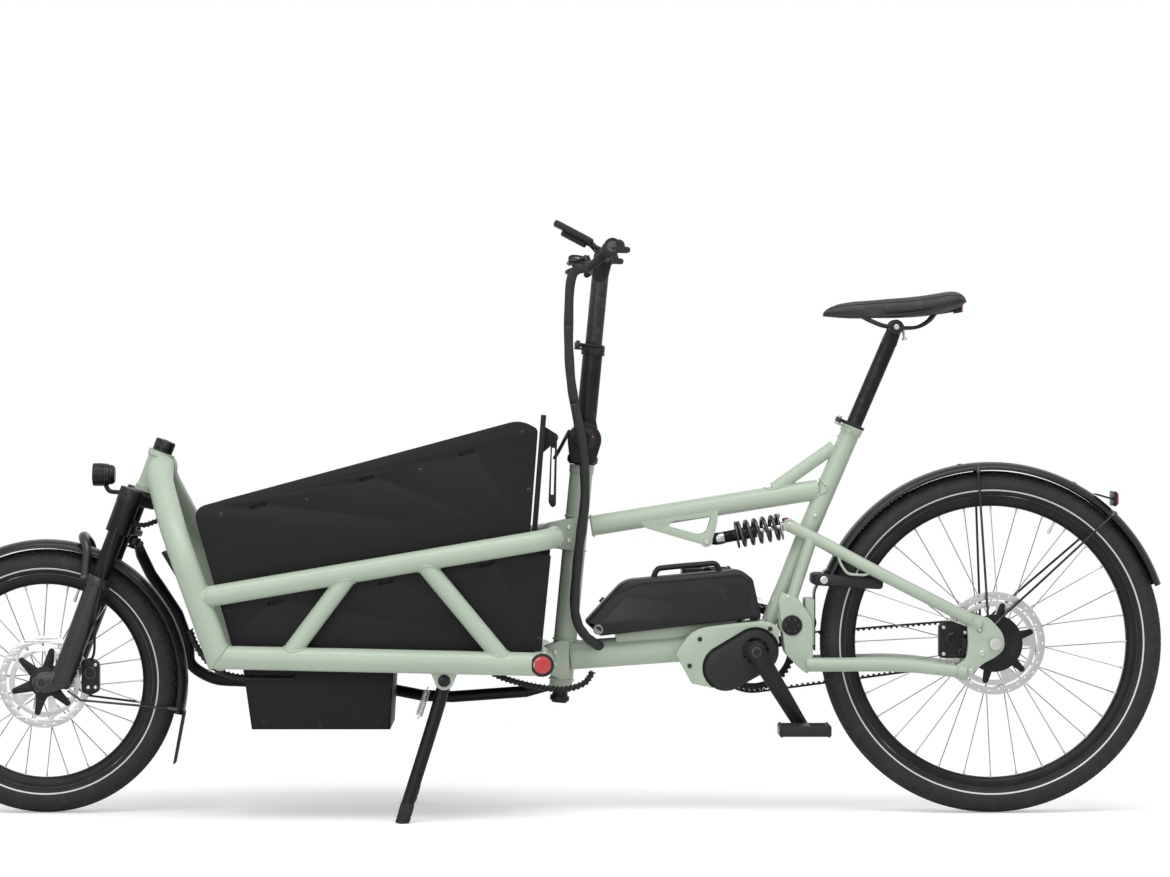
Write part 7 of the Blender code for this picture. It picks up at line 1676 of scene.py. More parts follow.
front_caliper = bmesh.new()
outline = soft(
    ((-0.893, 0.24, 0.006), (-0.872, 0.232, 0.006), (-0.855, 0.24, 0.006), (-0.855, 0.296, 0.008),
     (-0.872, 0.305, 0.006), (-0.889, 0.3, 0.006)), 8,
)
add_plate(front_caliper, outline, 0.009, side_on(-0.0275), edge=0.0016)
add_plate(front_caliper, [(max(x, -0.889), z) for x, z in outline], 0.012, side_on(-0.044), edge=0.0016)
add_plate(front_caliper,
          soft(
              ((-0.86, 0.243, 0.002), (-0.8552, 0.243, 0.002), (-0.8552, 0.293, 0.002),
               (-0.86, 0.293, 0.002)), 4,
          ), 0.024, side_on(-0.0375), edge=0.001)
add_turned(front_caliper, Vector((-0.872, -0.0492, 0.276)), Vector((0, -1, 0)), [
    (0, 0.0125), (0.003, 0.0125), (0.004, 0.0113), (0.004, 0.007), (0.0026, 0.0064)], 32)
piece(front_caliper, "front_caliper_body", "fork_lowers", BLACK_METAL, "black_metal", "front_caliper")
screws = bmesh.new()
for x, z in ((-0.862, 0.248), (-0.862, 0.292), (-0.876, 0.248)):
    add_screw(screws, Vector((x, -0.0498, z)), Vector((0, -1, 0)), 0.0034, 0.0024)
piece(screws, "front_caliper_screws", "fork_lowers", BRIGHT_STEEL, "bright_steel")


# Headlamp: a short round lamp on a bent arm from the fork's crown, with a clear lens over a bright dish.
# Die-cast black body with cooling ribs at the back; polycarbonate lens.

LAMP = Vector((-0.8506, 0, 0.6615))
lamp_shell = bmesh.new()
add_turned(lamp_shell, LAMP - Vector((0.0215, 0, 0)), Vector((1, 0, 0)),
           [(0.003, 0.018), (0, 0.0188), (0, 0.0205), (0.0012, 0.0222), (0.004, 0.0225), (0.02, 0.0225),
            (0.0205, 0.0212), (0.0225, 0.0212), (0.023, 0.0222), (0.0255, 0.0222), (0.026, 0.0206),
            (0.028, 0.0206), (0.0285, 0.0214), (0.031, 0.021), (0.0315, 0.0192), (0.034, 0.019),
            (0.035, 0.0196), (0.04, 0.018), (0.043, 0.015)], 56)
foot_at = on_head(0.098, 0.0319)
arm_route = through(
    [LAMP + Vector((0.003, 0, -0.018)), LAMP + Vector((0.006, 0, -0.026)),
     LAMP + Vector((0.013, 0, -0.033)), LAMP.lerp(foot_at, 0.6) + Vector((0.003, 0, -0.013)), foot_at], 6,
)
for y in (-0.0035, 0.0035):
    add_tube(lamp_shell, [place + Vector((0, y, 0)) for place in arm_route], 0.0042, 16)
add_plate(lamp_shell, soft(rectangle(0.009, 0.008, 0.002), 4), 0.004, facing(foot_at, HEAD_FORWARD),
          edge=0.0008)
piece(lamp_shell, "headlamp_body", "fork", BLACK_METAL, "black_metal", "headlamp")
lamp_glass = Finish("clear_lamp_lens")
painted_lamp_glint = lamp_glass.node("TexVoronoi", {"distance": "MANHATTAN"}, {"Vector": lamp_glass.place, "Scale": 260})
# The lighter and darker facets in the lens colour are painted glints.
lamp_glass.done(Base_Color=lamp_glass.mix(painted_lamp_glint, (0.62, 0.64, 0.66), (0.3, 0.31, 0.33)),
                Roughness=painted_lamp_glint * 0.1 + 0.06, Metallic=0.4, Coat_Weight=1.0, Coat_Roughness=0.03,
                Normal=lamp_glass.bump(painted_lamp_glint, 0.0006, 0.4))
glass = bmesh.new()
add_turned(glass, LAMP - Vector((0.0213, 0, 0)), Vector((1, 0, 0)),
           [(0.0002, 0.004), (0.0006, 0.012), (0.0014, 0.017), (0.003, 0.019), (0.004, 0.018)], 48)
piece(glass, "headlamp_lens", "fork", lamp_glass.material, "black_plastic")


# Steering rod: a long bent tube under the box that links
# the column's lever to the fork's arm, an eye at each end.
# Black coated steel tube with ball joints; lock nuts sit against both eyes.

ROD_ROUTE = ((-0.79, 0.128, 0.5), (-0.772, 0.14, 0.46), (-0.757, 0.15, 0.437), (-0.722, 0.172, 0.38),
             (-0.702, 0.18, 0.32), (-0.695, 0.18, 0.278), (-0.65, 0.18, 0.25), (-0.598, 0.178, 0.245),
             (-0.3, 0.172, 0.23), (-0.23, 0.15, 0.218), (-0.17, 0.128, 0.217), (-0.024, 0.105, 0.229))
front_eye = on_head(0.189, 0, 0.1)
rear_eye = on_column(0.45, 0.094)
pin_axis = (STEER_UP - Vector((0, 0.0307, 0))).normalized()
route = [front_eye + Vector((0.006, 0.016, -0.002)), *(Vector(place) for place in ROD_ROUTE)]
smooth_route = route[:4] + through(route[4:9], 6) + route[9:]
smooth_route += [rear_eye + Vector((-0.026, 0.0015, 0.0035)), rear_eye + Vector((-0.0128, 0.0008, 0.0035))]
link = bmesh.new()
add_tube(link, smooth_route, 0.0115, 24, [0.7, *[1] * (len(smooth_route) - 3), 0.52, 0.42])
add_turned(link, front_eye - 0.008 * HEAD_UP, HEAD_UP,
           [(0, 0.0128), (0.001, 0.014), (0.015, 0.014), (0.016, 0.0128), (0.016, 0.0086), (0, 0.0086)],
           36, ring=True)
add_turned(link, rear_eye - 0.0008 * pin_axis, pin_axis,
           [(0, 0.0138), (0.0006, 0.0145), (0.0087, 0.0145), (0.0093, 0.0138), (0.0093, 0.0056), (0, 0.0056)],
           36, ring=True)
near, far = smooth_route[0], smooth_route[1]
add_turned(link, near.lerp(far, 0.1), far - near,
           [(0, 0.01), (0.0006, 0.0108), (0.006, 0.0108), (0.0066, 0.01)], 6)
piece(link, "steering_link", "steering_rod", BLACK_METAL, "black_metal", "steering_rod")


# Steering column: it turns in the steering tube,
# with the lever for the rod below and the folding joint's fork on top.
# Machined and welded aluminium in black,
# a steel pin through its two ears and a serrated dial that locks the fold.

HINGE = STEER_TOP + 0.05 * STEER_UP
column = bmesh.new()
bottom = 0.467
add_turned(column, on_column(bottom), STEER_UP,
           [(0, 0.014), (0.001, 0.015), (bottom + 0.001, 0.015), (bottom + 0.001, 0.025),
            (bottom + 0.003, 0.0262), (bottom + 0.006, 0.0295), (bottom + 0.007, 0.03),
            (bottom + 0.017, 0.03), (bottom + 0.018, 0.029)], 48)
for side in (-1, 1):
    ear_foot, ear_head = on_column(-0.02), HINGE
    outline = strap((ear_foot.x, ear_foot.z), (ear_head.x, ear_head.z), 0.027, 0.033, 24)
    cut_line = on_column(-0.0038)
    outline = [(x, max(z, cut_line.z - (x - cut_line.x) * math.tan(math.radians(5.5)))) for x, z in outline]
    add_plate(column, outline, 0.012, side_on(side * 0.024), edge=0.0022)
add_turned(column, HINGE - Vector((0, 0.03, 0)), Vector((0, 1, 0)), [(0, 0.006), (0.06, 0.006)], 28)
add_plate(column, strap((0, 0), (0, 0.094), 0.019, 0.011, 20), 0.0105, facing(on_column(0.4584), STEER_UP),
          edge=0.002)
add_turned(column, on_column(0.45, 0.094) - 0.008 * pin_axis, pin_axis,
           [(0, 0.005), (0.0155, 0.005), (0.016, 0.0044)], 24)
piece(column, "steering_column", "steerer", BLACK_METAL, "black_metal", "steerer_column")
dial = bmesh.new()
add_turned(dial, HINGE - Vector((0, 0.03, 0)), Vector((0, -1, 0)),
           [(0, 0.0215), (0.0006, 0.0225), (0.003, 0.0225), (0.0042, 0.0205), (0.0044, 0.012),
            (0.0034, 0.0105), (0.0038, 0.004)], 48)
for step in range(24):
    turn = 2 * math.pi * step / 24
    rim_at = HINGE + Vector((0.0222 * math.cos(turn), -0.0318, 0.0222 * math.sin(turn)))
    add_tube(dial, [rim_at - Vector((0, 0.0012, 0)), rim_at + Vector((0, 0.0014, 0))], 0.0011, 8)
piece(dial, "fold_lock_dial", "steerer", BLACK_PLASTIC, "black_plastic")
marks = bmesh.new()
for turn in (20, 140, 260):
    a = math.radians(turn)
    spot = HINGE + Vector((0.0165 * math.cos(a), -0.0339, 0.0165 * math.sin(a)))
    add_turned(marks, spot, Vector((0, -1, 0)), [(0, 0.002), (0.0006, 0.0017)], 16)
piece(marks, "fold_dial_marks", "steerer", bright_metal("mark_metal", (0.45, 0.1, 0.09), 0.4), "bright_steel")


# Handlebar post: a telescoping post above the fold,
# with a clamp at its top and the inner post running up to the bar.
# Drawn aluminium tube, satin black; the clamp has a quick lever like the seat's.

POST_CLAMP = HINGE + 0.186 * STEER_UP
post = bmesh.new()
post_start = HINGE + 0.0365 * STEER_UP
length = (POST_CLAMP - post_start).length
add_turned(post, post_start, STEER_UP,
           [(0, 0.0172), (0.004, 0.0194), (0.005, 0.0195), (length - 0.02, 0.0195),
            (length - 0.0195, 0.0226), (length - 0.0185, 0.023), (length - 0.001, 0.023), (length, 0.0222),
            (length, 0.017), (length - 0.13, 0.017), (length - 0.131, 0)], 44)
tongue_end = HINGE + 0.045 * STEER_UP
add_plate(post, strap((HINGE.x, HINGE.z), (tongue_end.x, tongue_end.z), 0.029, 0.017, 22), 0.035, side_on(),
          edge=0.0025)
post_collar = POST_CLAMP - 0.009 * STEER_UP
add_clamp_tab(post, post_collar, STEER_UP)
add_clamp_pin(post, post_collar, STEER_UP)
piece(post, "post_tube_and_tongue", "handlebar_post", BLACK_METAL, "black_metal", "handlebar_post")
add_quick_lever("post_quick_lever", "post_clamp_lever", post_collar, STEER_UP)


# Handlebar: the inner post, a short stem and a nearly straight bar,
# with the clamps and mounts of the brake levers.
# Butted aluminium tube; the stem is forged, its face plate held by four screws.

BAR_MIDDLE = Vector((0.128, 0, 1.088))
BAR_KNEE = Vector((0.1353, 0.18, 1.0925))
BAR_END = Vector((0.14, 0.318, 1.096))
LEVER_AXIS = Vector((-0.323, 0, 0.946)).normalized()
LEVER_POINT = Vector((0.092, 0.185, 1.078))


def on_bar(y, side):
    """A point on the straight outer part of the handlebar."""
    return across(BAR_KNEE.lerp(BAR_END, (y - BAR_KNEE.y) / (BAR_END.y - BAR_KNEE.y)), side)


bar = bmesh.new()
top_of_post = POST_CLAMP + 0.144 * STEER_UP
add_turned(bar, POST_CLAMP - 0.08 * STEER_UP, STEER_UP,
           [(0, 0.0158), (0.001, 0.0165), (0.223, 0.0165), (0.224, 0.0155)], 40)
half_bar = [BAR_MIDDLE, Vector((0.131, 0.1, 1.09)), BAR_KNEE, BAR_END]
bar_route = through([across(place, -1) for place in reversed(half_bar[1:])] + half_bar, 8)
add_tube(bar, bar_route, 0.0112, 28)
add_tube(bar, [BAR_MIDDLE + Vector((0, y, 0)) for y in (-0.034, -0.03, 0.03, 0.034)], 0.0145, 32,
         [0.8, 1, 1, 0.8])
neck_foot = top_of_post - 0.004 * STEER_UP
add_plate(bar, strap((neck_foot.x, neck_foot.z), (BAR_MIDDLE.x, BAR_MIDDLE.z), 0.0165, 0.019, 24), 0.038,
          side_on(), edge=0.0045)
for side in (-1, 1):
    near, far = on_bar(0.18, side), on_bar(0.195, side)
    add_turned(bar, near, far - near,
               [(0, 0.0148), (0.0008, 0.0155), ((far - near).length - 0.0008, 0.0155),
                ((far - near).length, 0.0148)], 32)
    foot_at = LEVER_POINT - 0.019 * LEVER_AXIS
    on = on_bar(0.1875, side)
    add_plate(bar, strap((foot_at.x, foot_at.z), (on.x, on.z), 0.0068, 0.011, 14), 0.013,
              side_on(side * 0.187), edge=0.0022)
    low, high = (across(LEVER_POINT + height * LEVER_AXIS, side) for height in (-0.022, 0.007))
    add_turned(bar, low, high - low, [(0, 0.003), (0.0285, 0.003), (0.029, 0.0022)], 20)
    add_turned(bar, across(Vector((0.104, 0.18, 1.067)), side), across(Vector((0.006, -0.062, 0.004)), side),
               [(0, 0.006), (0.001, 0.0072), (0.03, 0.0078), (0.034, 0.0066), (0.048, 0.0046), (0.05, 0.003)],
               24)
piece(bar, "handlebar_and_stem", "handlebar", BLACK_METAL, "black_metal", "handlebar")
stem_screws = bmesh.new()
toward = Vector((-0.35, 0, 0.94)).normalized()
for y in (-0.0135, 0.0135):
    for step in (-0.011, 0.011):
        add_screw(stem_screws, BAR_MIDDLE + Vector((step * toward.z, y, -step * toward.x)) + 0.017 * toward,
                  toward, 0.003, 0.0024)
piece(stem_screws, "stem_screws", "handlebar", DARK_SCREW, "black_metal")


# Grips: soft rubber sleeves with a wide wing under the palm, ribbed round the bar and closed by a lock ring.
# Moulded over a hard core, clamped with one small screw.

GRIP_RUBBER = moulded("ribbed_grip_rubber", (0.02, 0.02, 0.02), 0.72, 520, 0.0002)
for side, label in SIDES:
    grip = bmesh.new()
    near, far = on_bar(0.205, side), on_bar(0.32, side)
    length = (far - near).length
    ribs = [(0, 0.0152), (0.0008, 0.016), (0.009, 0.016), (0.01, 0.0148)]
    ribs += [(0.012 + 0.0045 * step + part, 0.0158 if part in (0.001, 0.0028) else 0.015)
             for step in range(20) for part in (0.0, 0.001, 0.0028, 0.0038)]
    ribs += [(length - 0.008, 0.0156), (length - 0.0008, 0.016), (length, 0.015), (length, 0.0122),
             (0, 0.0122)]
    add_turned(grip, near, far - near, ribs, 36, ring=True)
    wing = soft(
        ((0.138, side * 0.23, 0.006), (0.16, side * 0.246, 0.012), (0.174, side * 0.272, 0.01),
         (0.1747, side * 0.304, 0.01), (0.164, side * 0.318, 0.006), (0.138, side * 0.319, 0.003)), 8,
    )
    tilt = Matrix.Translation((0, 0, 1.1018)) @ Matrix.Rotation(math.radians(4), 4, "Y")
    add_plate(grip, wing, 0.011, tilt, edge=0.004)
    palm = [on_bar(y, side) + Vector((0.013, 0, 0.003))
            for y in (0.228, 0.236, 0.246, 0.26, 0.28, 0.3, 0.312, 0.318)]
    add_tube(grip, palm, 0.0118, 24, [0.45, 0.72, 0.9, 1.0, 1.0, 0.96, 0.84, 0.62])
    bmesh.ops.recalc_face_normals(grip, faces=grip.faces)
    piece(grip, f"grip_sleeve_{label}", "handlebar", GRIP_RUBBER, "black_rubber", f"grip_{label}")


# Display: a small tilted screen on a stalk ahead of the bar, with a bezel and a glossy dark glass.
# Two-part moulded case with a glass front.

display_tilt = Matrix.Translation((0.0695, 0, 1.1355)) @ Matrix.Rotation(math.radians(28), 4, "Y")
case = bmesh.new()
face = soft(rectangle(0.0425, 0.0275, 0.007), 8)
add_plate(case, face, 0.012, display_tilt, edge=0.0028)
out_of = Vector((-0.028, 0, 0.03)).normalized()
add_turned(case, BAR_MIDDLE + 0.0178 * out_of, out_of, [(0, 0.0062), (0.006, 0.0064), (0.028, 0.0064)], 28)
back_of = soft(((-0.025, -0.018, 0.006), (0.03, -0.018, 0.006), (0.03, 0.018, 0.006), (-0.025, 0.018, 0.006)),
               8)
add_plate(case, back_of, 0.011, display_tilt @ Matrix.Translation((0.004, 0, -0.0105)), edge=0.003)
for y in (-0.012, 0.012):
    add_tube(case,
             [BAR_MIDDLE + Vector((-0.006, y, 0.015)), Vector((0.098, y, 1.114)),
              Vector((0.085, y, 1.124))], 0.004, 16)
piece(case, "display_case", "handlebar", BLACK_PLASTIC, "black_plastic", "display")
screen_glass = Finish("dark_screen_glass")
smear = screen_glass.above(screen_glass.noise(60, 4), 0.4, 0.75)
screen_glass.done(Base_Color=screen_glass.mix(smear * 0.5, (0.01, 0.011, 0.013), (0.03, 0.033, 0.038)),
                  Roughness=smear * 0.1 + 0.05, Coat_Weight=1.0, Coat_Roughness=0.03,
                  Normal=screen_glass.bump(smear, 0.00004, 0.2))
screen = bmesh.new()
face = soft(rectangle(0.0365, 0.0225, 0.004), 8)
add_plate(screen, face, 0.001, display_tilt @ Matrix.Translation((0, 0, 0.0061)), edge=0.0003)
piece(screen, "display_glass", "handlebar", screen_glass.material, "black_plastic")


# Brake levers: curved two-finger blades in front of the grips, each on a pin in its mount.
# Forged aluminium, black, flattened towards the tip where the fingers lie.

for side, label in SIDES:
    brake = bmesh.new()
    pivot_at = across(LEVER_POINT, side)
    add_turned(brake, pivot_at - 0.0045 * LEVER_AXIS, LEVER_AXIS,
               [(0, 0.0068), (0.0007, 0.0075), (0.0083, 0.0075), (0.009, 0.0068), (0.009, 0.0034),
                (0, 0.0034)], 28, ring=True)
    blade = [Vector((0.088, 0.1885, 1.0767)), Vector((0.064, 0.214, 1.0685)), Vector((0.059, 0.24, 1.0668)),
             Vector((0.06, 0.27, 1.0671)), Vector((0.062, 0.302, 1.0678))]
    blade = through([across(place, side) for place in blade], 8)
    last = len(blade) - 1
    add_tube(brake, blade, 0.0045, 18,
             [1.0 + 0.1 * math.sin(math.pi * step / last) - 0.12 * (step / last) for step in range(last + 1)])
    add_turned(brake, blade[-1] - Vector((0, side * 0.001, 0)), blade[-1] - blade[-2], [
        (-0.003, 0.004), (0.0, 0.0052), (0.0028, 0.005), (0.0044, 0.0036), (0.005, 0.0014)], 20)
    piece(brake, f"brake_blade_{label}", f"brake_lever_{label}", BLACK_METAL, "black_metal",
          f"brake_lever_{label}")


# Cable sleeve: a zipped textile tube that gathers hoses and wires from the bar down to the down tube's port.
# Woven polyester round a bundle about 17 mm thick; it is one sleeve, shown in three lengths.

def woven(name, colour, lighter):
    """Fine diagonal braid with a faint sheen, its strands crossing over and under."""
    braid = Finish(name)
    split = braid.node("SeparateXYZ", {}, {0: braid.place})
    height = Wire(braid, split.socket.node.outputs[2])
    side_way = Wire(braid, split.socket.node.outputs[0]) + Wire(braid, split.socket.node.outputs[1])
    first = braid.node("Math", {"operation": "SINE"}, {0: (height + side_way) * 2400})
    second = braid.node("Math", {"operation": "SINE"}, {0: (height - side_way) * 2400})
    strands = first * second
    fluff = braid.noise(400, 4)
    shade = braid.mix(braid.above(strands + fluff * 0.6, -0.5, 1.1), colour, lighter)
    return braid.done(Base_Color=shade, Roughness=fluff * 0.15 + 0.72,
                      Normal=braid.bump(strands, 0.0004, 0.6))


SLEEVE_CLOTH = woven("black_braided_sleeve", (0.01, 0.01, 0.011), (0.032, 0.032, 0.034))
SLEEVE_ROUTE = ((0.0658, -0.05, 1.0473), (0.0596, -0.05, 0.9534), (0.0623, -0.05, 0.8666),
                (0.0711, -0.05, 0.8004), (0.0876, -0.05, 0.71), (0.0915, -0.05, 0.6204), (0.085, -0.05, 0.56),
                (0.0779, -0.051, 0.5005), (0.0711, -0.054, 0.416), (0.077, -0.058, 0.374),
                (0.093, -0.052, 0.348), (0.111, -0.034, 0.333), (0.123, -0.018, 0.324))
sleeve_points = [Vector(place) for place in SLEEVE_ROUTE]
whole = through([Vector((0.095, -0.044, 1.066)), *sleeve_points], 8)
cuts = (0, 2 * 8, 4 * 8, len(whole) - 1)
for number, (name, body, other, start, end) in enumerate((
    ("sleeve_upper", "handlebar_post", "handlebar", whole[cuts[1]], whole[0]),
    ("sleeve_middle", "steerer", "handlebar_post", (0.0876, -0.05, 0.71), (0.0711, -0.05, 0.8004)),
    ("sleeve_lower", "frame", "steerer", (0.0711, -0.054, 0.416), (0.0915, -0.05, 0.6204)),
)):
    sleeve = bmesh.new()
    length = whole[cuts[number]:cuts[number + 1] + 1]
    add_tube(sleeve, length, 0.0092, 24,
             [1 + 0.04 * math.sin(0.9 * (cuts[number] + step)) for step in range(len(length))])
    crossing(sleeve, name, SLEEVE_CLOTH, "woven_sleeve", body, other, start, end, "cable_sleeve")


# Seatpost: a plain round post that slides in the seat tube,
# with a two-bolt clamp that grips the saddle's rails.
# Drawn and forged aluminium, satin black; the clamp's bolts are steel.

SADDLE_CLAMP = Vector((0.7, 0, 0.95))
POST_FOOT = SEAT_TUBE_TOP - 0.135 * SEAT_UP
POST_HEAD = SEAT_TUBE_TOP + 0.186 * SEAT_UP
seatpost = bmesh.new()
add_turned(seatpost, POST_FOOT, SEAT_UP,
           [(0, 0.0148), (0.0008, 0.01545), (0.317, 0.01545), (0.319, 0.015), (0.321, 0.0138)], 44)
add_plate(seatpost,
          strap((POST_HEAD.x - 0.006 * SEAT_UP.x, POST_HEAD.z - 0.006 * SEAT_UP.z),
                (SADDLE_CLAMP.x, SADDLE_CLAMP.z), 0.0152, 0.013, 24), 0.028, side_on(), edge=0.0055)
add_turned(seatpost, SADDLE_CLAMP - Vector((0, 0.032, 0)), Vector((0, 1, 0)),
           [(0, 0.0128), (0.0012, 0.0142), (0.015, 0.015), (0.0152, 0.0135), (0.0488, 0.0135),
            (0.049, 0.015), (0.0628, 0.0142), (0.064, 0.0128)], 36)
piece(seatpost, "seatpost_and_clamp", "saddle", BLACK_METAL, "black_metal", "seatpost")
clamp_bolts = bmesh.new()
for side in (-1, 1):
    add_screw(clamp_bolts, SADDLE_CLAMP + Vector((0.0, side * 0.0325, 0)), Vector((0, side, 0)), 0.0052,
              0.0034)
add_tube(clamp_bolts, [SADDLE_CLAMP + Vector((0.0145, 0, 0.006)), SADDLE_CLAMP + Vector((0.018, 0, -0.021))],
         0.0027, 14)
add_screw(clamp_bolts, SADDLE_CLAMP + Vector((0.0182, 0, -0.0215)), Vector((0.13, 0, -0.99)).normalized(),
          0.0048, 0.004)
piece(clamp_bolts, "saddle_clamp_bolts", "saddle", BRIGHT_STEEL, "bright_steel")


# Saddle: foam on a moulded base, under a stretched synthetic
# cover with a pressed centre groove and sewn side panels.
# The rails are solid steel rod sprung into sockets of the base.

saddle_rails = bmesh.new()
for side in (-1, 1):
    rail = [Vector((0.63, side * 0.014, 0.974)), Vector((0.656, side * 0.02, 0.961)),
            Vector((0.685, side * 0.022, 0.9515)), Vector((0.735, side * 0.022, 0.949)),
            Vector((0.762, side * 0.024, 0.96)), Vector((0.778, side * 0.026, 0.978))]
    add_tube(saddle_rails, through(rail, 6), 0.0035, 16)
piece(saddle_rails, "saddle_rails", "saddle", DARK_SCREW, "black_metal")

SADDLE_SECTIONS = ((0.556, 0.01, 0.985, 0.97), (0.568, 0.016, 0.9935, 0.968), (0.6, 0.021, 1.001, 0.966),
                   (0.65, 0.028, 1.005, 0.967), (0.7, 0.044, 1.0085, 0.968), (0.74, 0.064, 1.011, 0.97),
                   (0.775, 0.082, 1.016, 0.974), (0.808, 0.086, 1.021, 0.982), (0.828, 0.07, 1.019, 0.99),
                   (0.837, 0.045, 1.01, 0.996))


SADDLE_NOSE, SADDLE_TAIL = 0.556, 0.837


def blended_section(where):
    """Half width, top and bottom of the saddle at a share of its length, read smoothly from the sections."""
    spot = where * (len(SADDLE_SECTIONS) - 1)
    index = min(int(spot), len(SADDLE_SECTIONS) - 2)
    t = spot - index
    p0 = SADDLE_SECTIONS[max(index - 1, 0)]
    p1, p2 = SADDLE_SECTIONS[index], SADDLE_SECTIONS[index + 1]
    p3 = SADDLE_SECTIONS[min(index + 2, len(SADDLE_SECTIONS) - 1)]
    return [
        0.5 * (2 * b + (c - a) * t + (2 * a - 5 * b + 4 * c - d) * t * t + (3 * b - a - 3 * c + d) * t ** 3)
        for a, b, c, d in zip(p0, p1, p2, p3)
    ]


def saddle_share(x):
    """How far along the saddle this X lies, from 0 at its nose to just under 1 at its tail."""
    return min(max((x - SADDLE_NOSE) / (SADDLE_TAIL - SADDLE_NOSE), 0.0), 0.999)


def saddle_ring(shape, where, shrink):
    """One closed ring of the saddle: a crowned top, round shoulders and drawn-in sides, smaller by shrink."""
    x, half, top, bottom = blended_section(where)
    half, top, bottom = half - shrink, top - shrink, bottom + shrink
    tall = top - bottom
    ring = []
    for step in range(32):
        turn = 2 * math.pi * step / 32
        outward, up = math.cos(turn), math.sin(turn)
        wide = abs(outward) ** 0.72 * (1 if outward >= 0 else -1)
        high = abs(up) ** 0.8 * (1 if up >= 0 else -1)
        y = half * wide * (1.0 if up > -0.15 else 1.0 - 0.1 * abs(up + 0.15))
        z = (top + bottom) / 2 + tall / 2 * high
        if up > 0:
            z -= 0.0035 * math.exp(-(y / 0.0085) ** 2) * min(1, half / 0.03) * up
        ring.append(shape.verts.new((x, y, z)))
    return ring


def saddle_body(shrink):
    """The saddle's closed padded form, lofted from rings and capped at nose and tail."""
    body = bmesh.new()
    count = 44
    rings = [saddle_ring(body, step / (count - 1), shrink) for step in range(count)]
    for first, second in zip(rings, rings[1:]):
        loops = [
            [body.edges.get((ring[i], ring[(i + 1) % 32])) or body.edges.new((ring[i], ring[(i + 1) % 32]))
             for i in range(32)] for ring in (first, second)
        ]
        bmesh.ops.bridge_loops(body, edges=loops[0] + loops[1])
    for ring, away in ((rings[0], -1), (rings[-1], 1)):
        cap = bmesh.ops.contextual_create(body,
                                          geom=[body.edges.get((ring[i], ring[(i + 1) % 32]))
                                                for i in range(32)])["faces"]
        for amount, out in ((0.003, 0.003), (0.003, 0.0014)):
            bmesh.ops.inset_region(body, faces=cap, thickness=amount, use_even_offset=True)
            for corner in {corner for face in cap for corner in face.verts}:
                corner.co.x += away * out
    bmesh.ops.recalc_face_normals(body, faces=body.faces)
    return body


pad_mesh = bpy.data.meshes.new("saddle_pad")
loft = saddle_body(0.002)
loft.to_mesh(pad_mesh)
loft.free()
pad = bpy.data.objects.new("saddle_pad", pad_mesh)
bpy.context.scene.collection.objects.link(pad)


def baked(made):
    """Put the result of a piece's modifiers in its own mesh."""
    bpy.context.view_layer.update()
    evaluated = made.evaluated_get(bpy.context.evaluated_depsgraph_get())
    result = bpy.data.meshes.new_from_object(evaluated)
    made.modifiers.clear()
    old, made.data = made.data, result
    bpy.data.meshes.remove(old)


remesh = pad.modifiers.new("even_voxels", "REMESH")
remesh.mode = "VOXEL"
remesh.voxel_size = 0.0045
baked(pad)
before = [corner.co.copy() for corner in pad.data.vertices]
cloth = pad.modifiers.new("stretched_cover", "CLOTH")
cloth.settings.use_pressure = True
cloth.settings.uniform_pressure_force = 4.0
cloth.settings.mass = 0.3
cloth.settings.tension_stiffness = 30
cloth.settings.compression_stiffness = 30
cloth.settings.bending_stiffness = 2.0
cloth.settings.effector_weights.gravity = 0.0
scene = bpy.context.scene
for frame_number in range(1, 21):
    scene.frame_set(frame_number)
baked(pad)
scene.frame_set(1)
FOAM_GIVE = 0.002
for corner, was in zip(pad.data.vertices, before):
    move = corner.co - was
    if move.length > FOAM_GIVE:
        corner.co = was + move.normalized() * FOAM_GIVE
soft_edit = bmesh.new()
soft_edit.from_mesh(pad.data)
for _ in range(16):
    bmesh.ops.smooth_vert(soft_edit, verts=soft_edit.verts, factor=0.5, use_axis_x=True, use_axis_y=True,
                          use_axis_z=True)
for corner in soft_edit.verts:
    place = corner.co
    _, half, top, bottom = blended_section(saddle_share(place.x))
    lip = math.exp(-((place.z - (bottom + 0.0045)) / 0.0012) ** 2)
    if abs(place.y) > half * 0.5:
        place.y -= math.copysign(0.0009 * lip, place.y)
soft_edit.to_mesh(pad.data)
soft_edit.free()
pad.data.shade_smooth()
pad_smooth = pad.modifiers.new("smooth_cover", "SUBSURF")
pad_smooth.levels = pad_smooth.render_levels = 1
baked(pad)
pad.data.shade_smooth()

cover = Finish("pebbled_saddle_cover")
cells = cover.node("TexVoronoi", {"feature": "DISTANCE_TO_EDGE"}, {"Vector": cover.place, "Scale": 700})
pebbles = cover.above(cells, 0.0, 0.28)
rub = cover.above(cover.noise(22, 5), 0.45, 0.72)
cover.done(Base_Color=cover.mix(rub * 0.5 + (1 - pebbles) * 0.12, (0.02, 0.02, 0.021), (0.042, 0.042, 0.044)),
           Roughness=0.62 - rub * 0.1 + pebbles * 0.05,
           Normal=cover.bump(pebbles, 0.00014, 0.6, cover.bump(cover.noise(90, 3), 0.0002, 0.3)))
pad.data.materials.clear()
pad.data.materials.append(cover.material)
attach(pad, "saddle")
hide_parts("saddle")

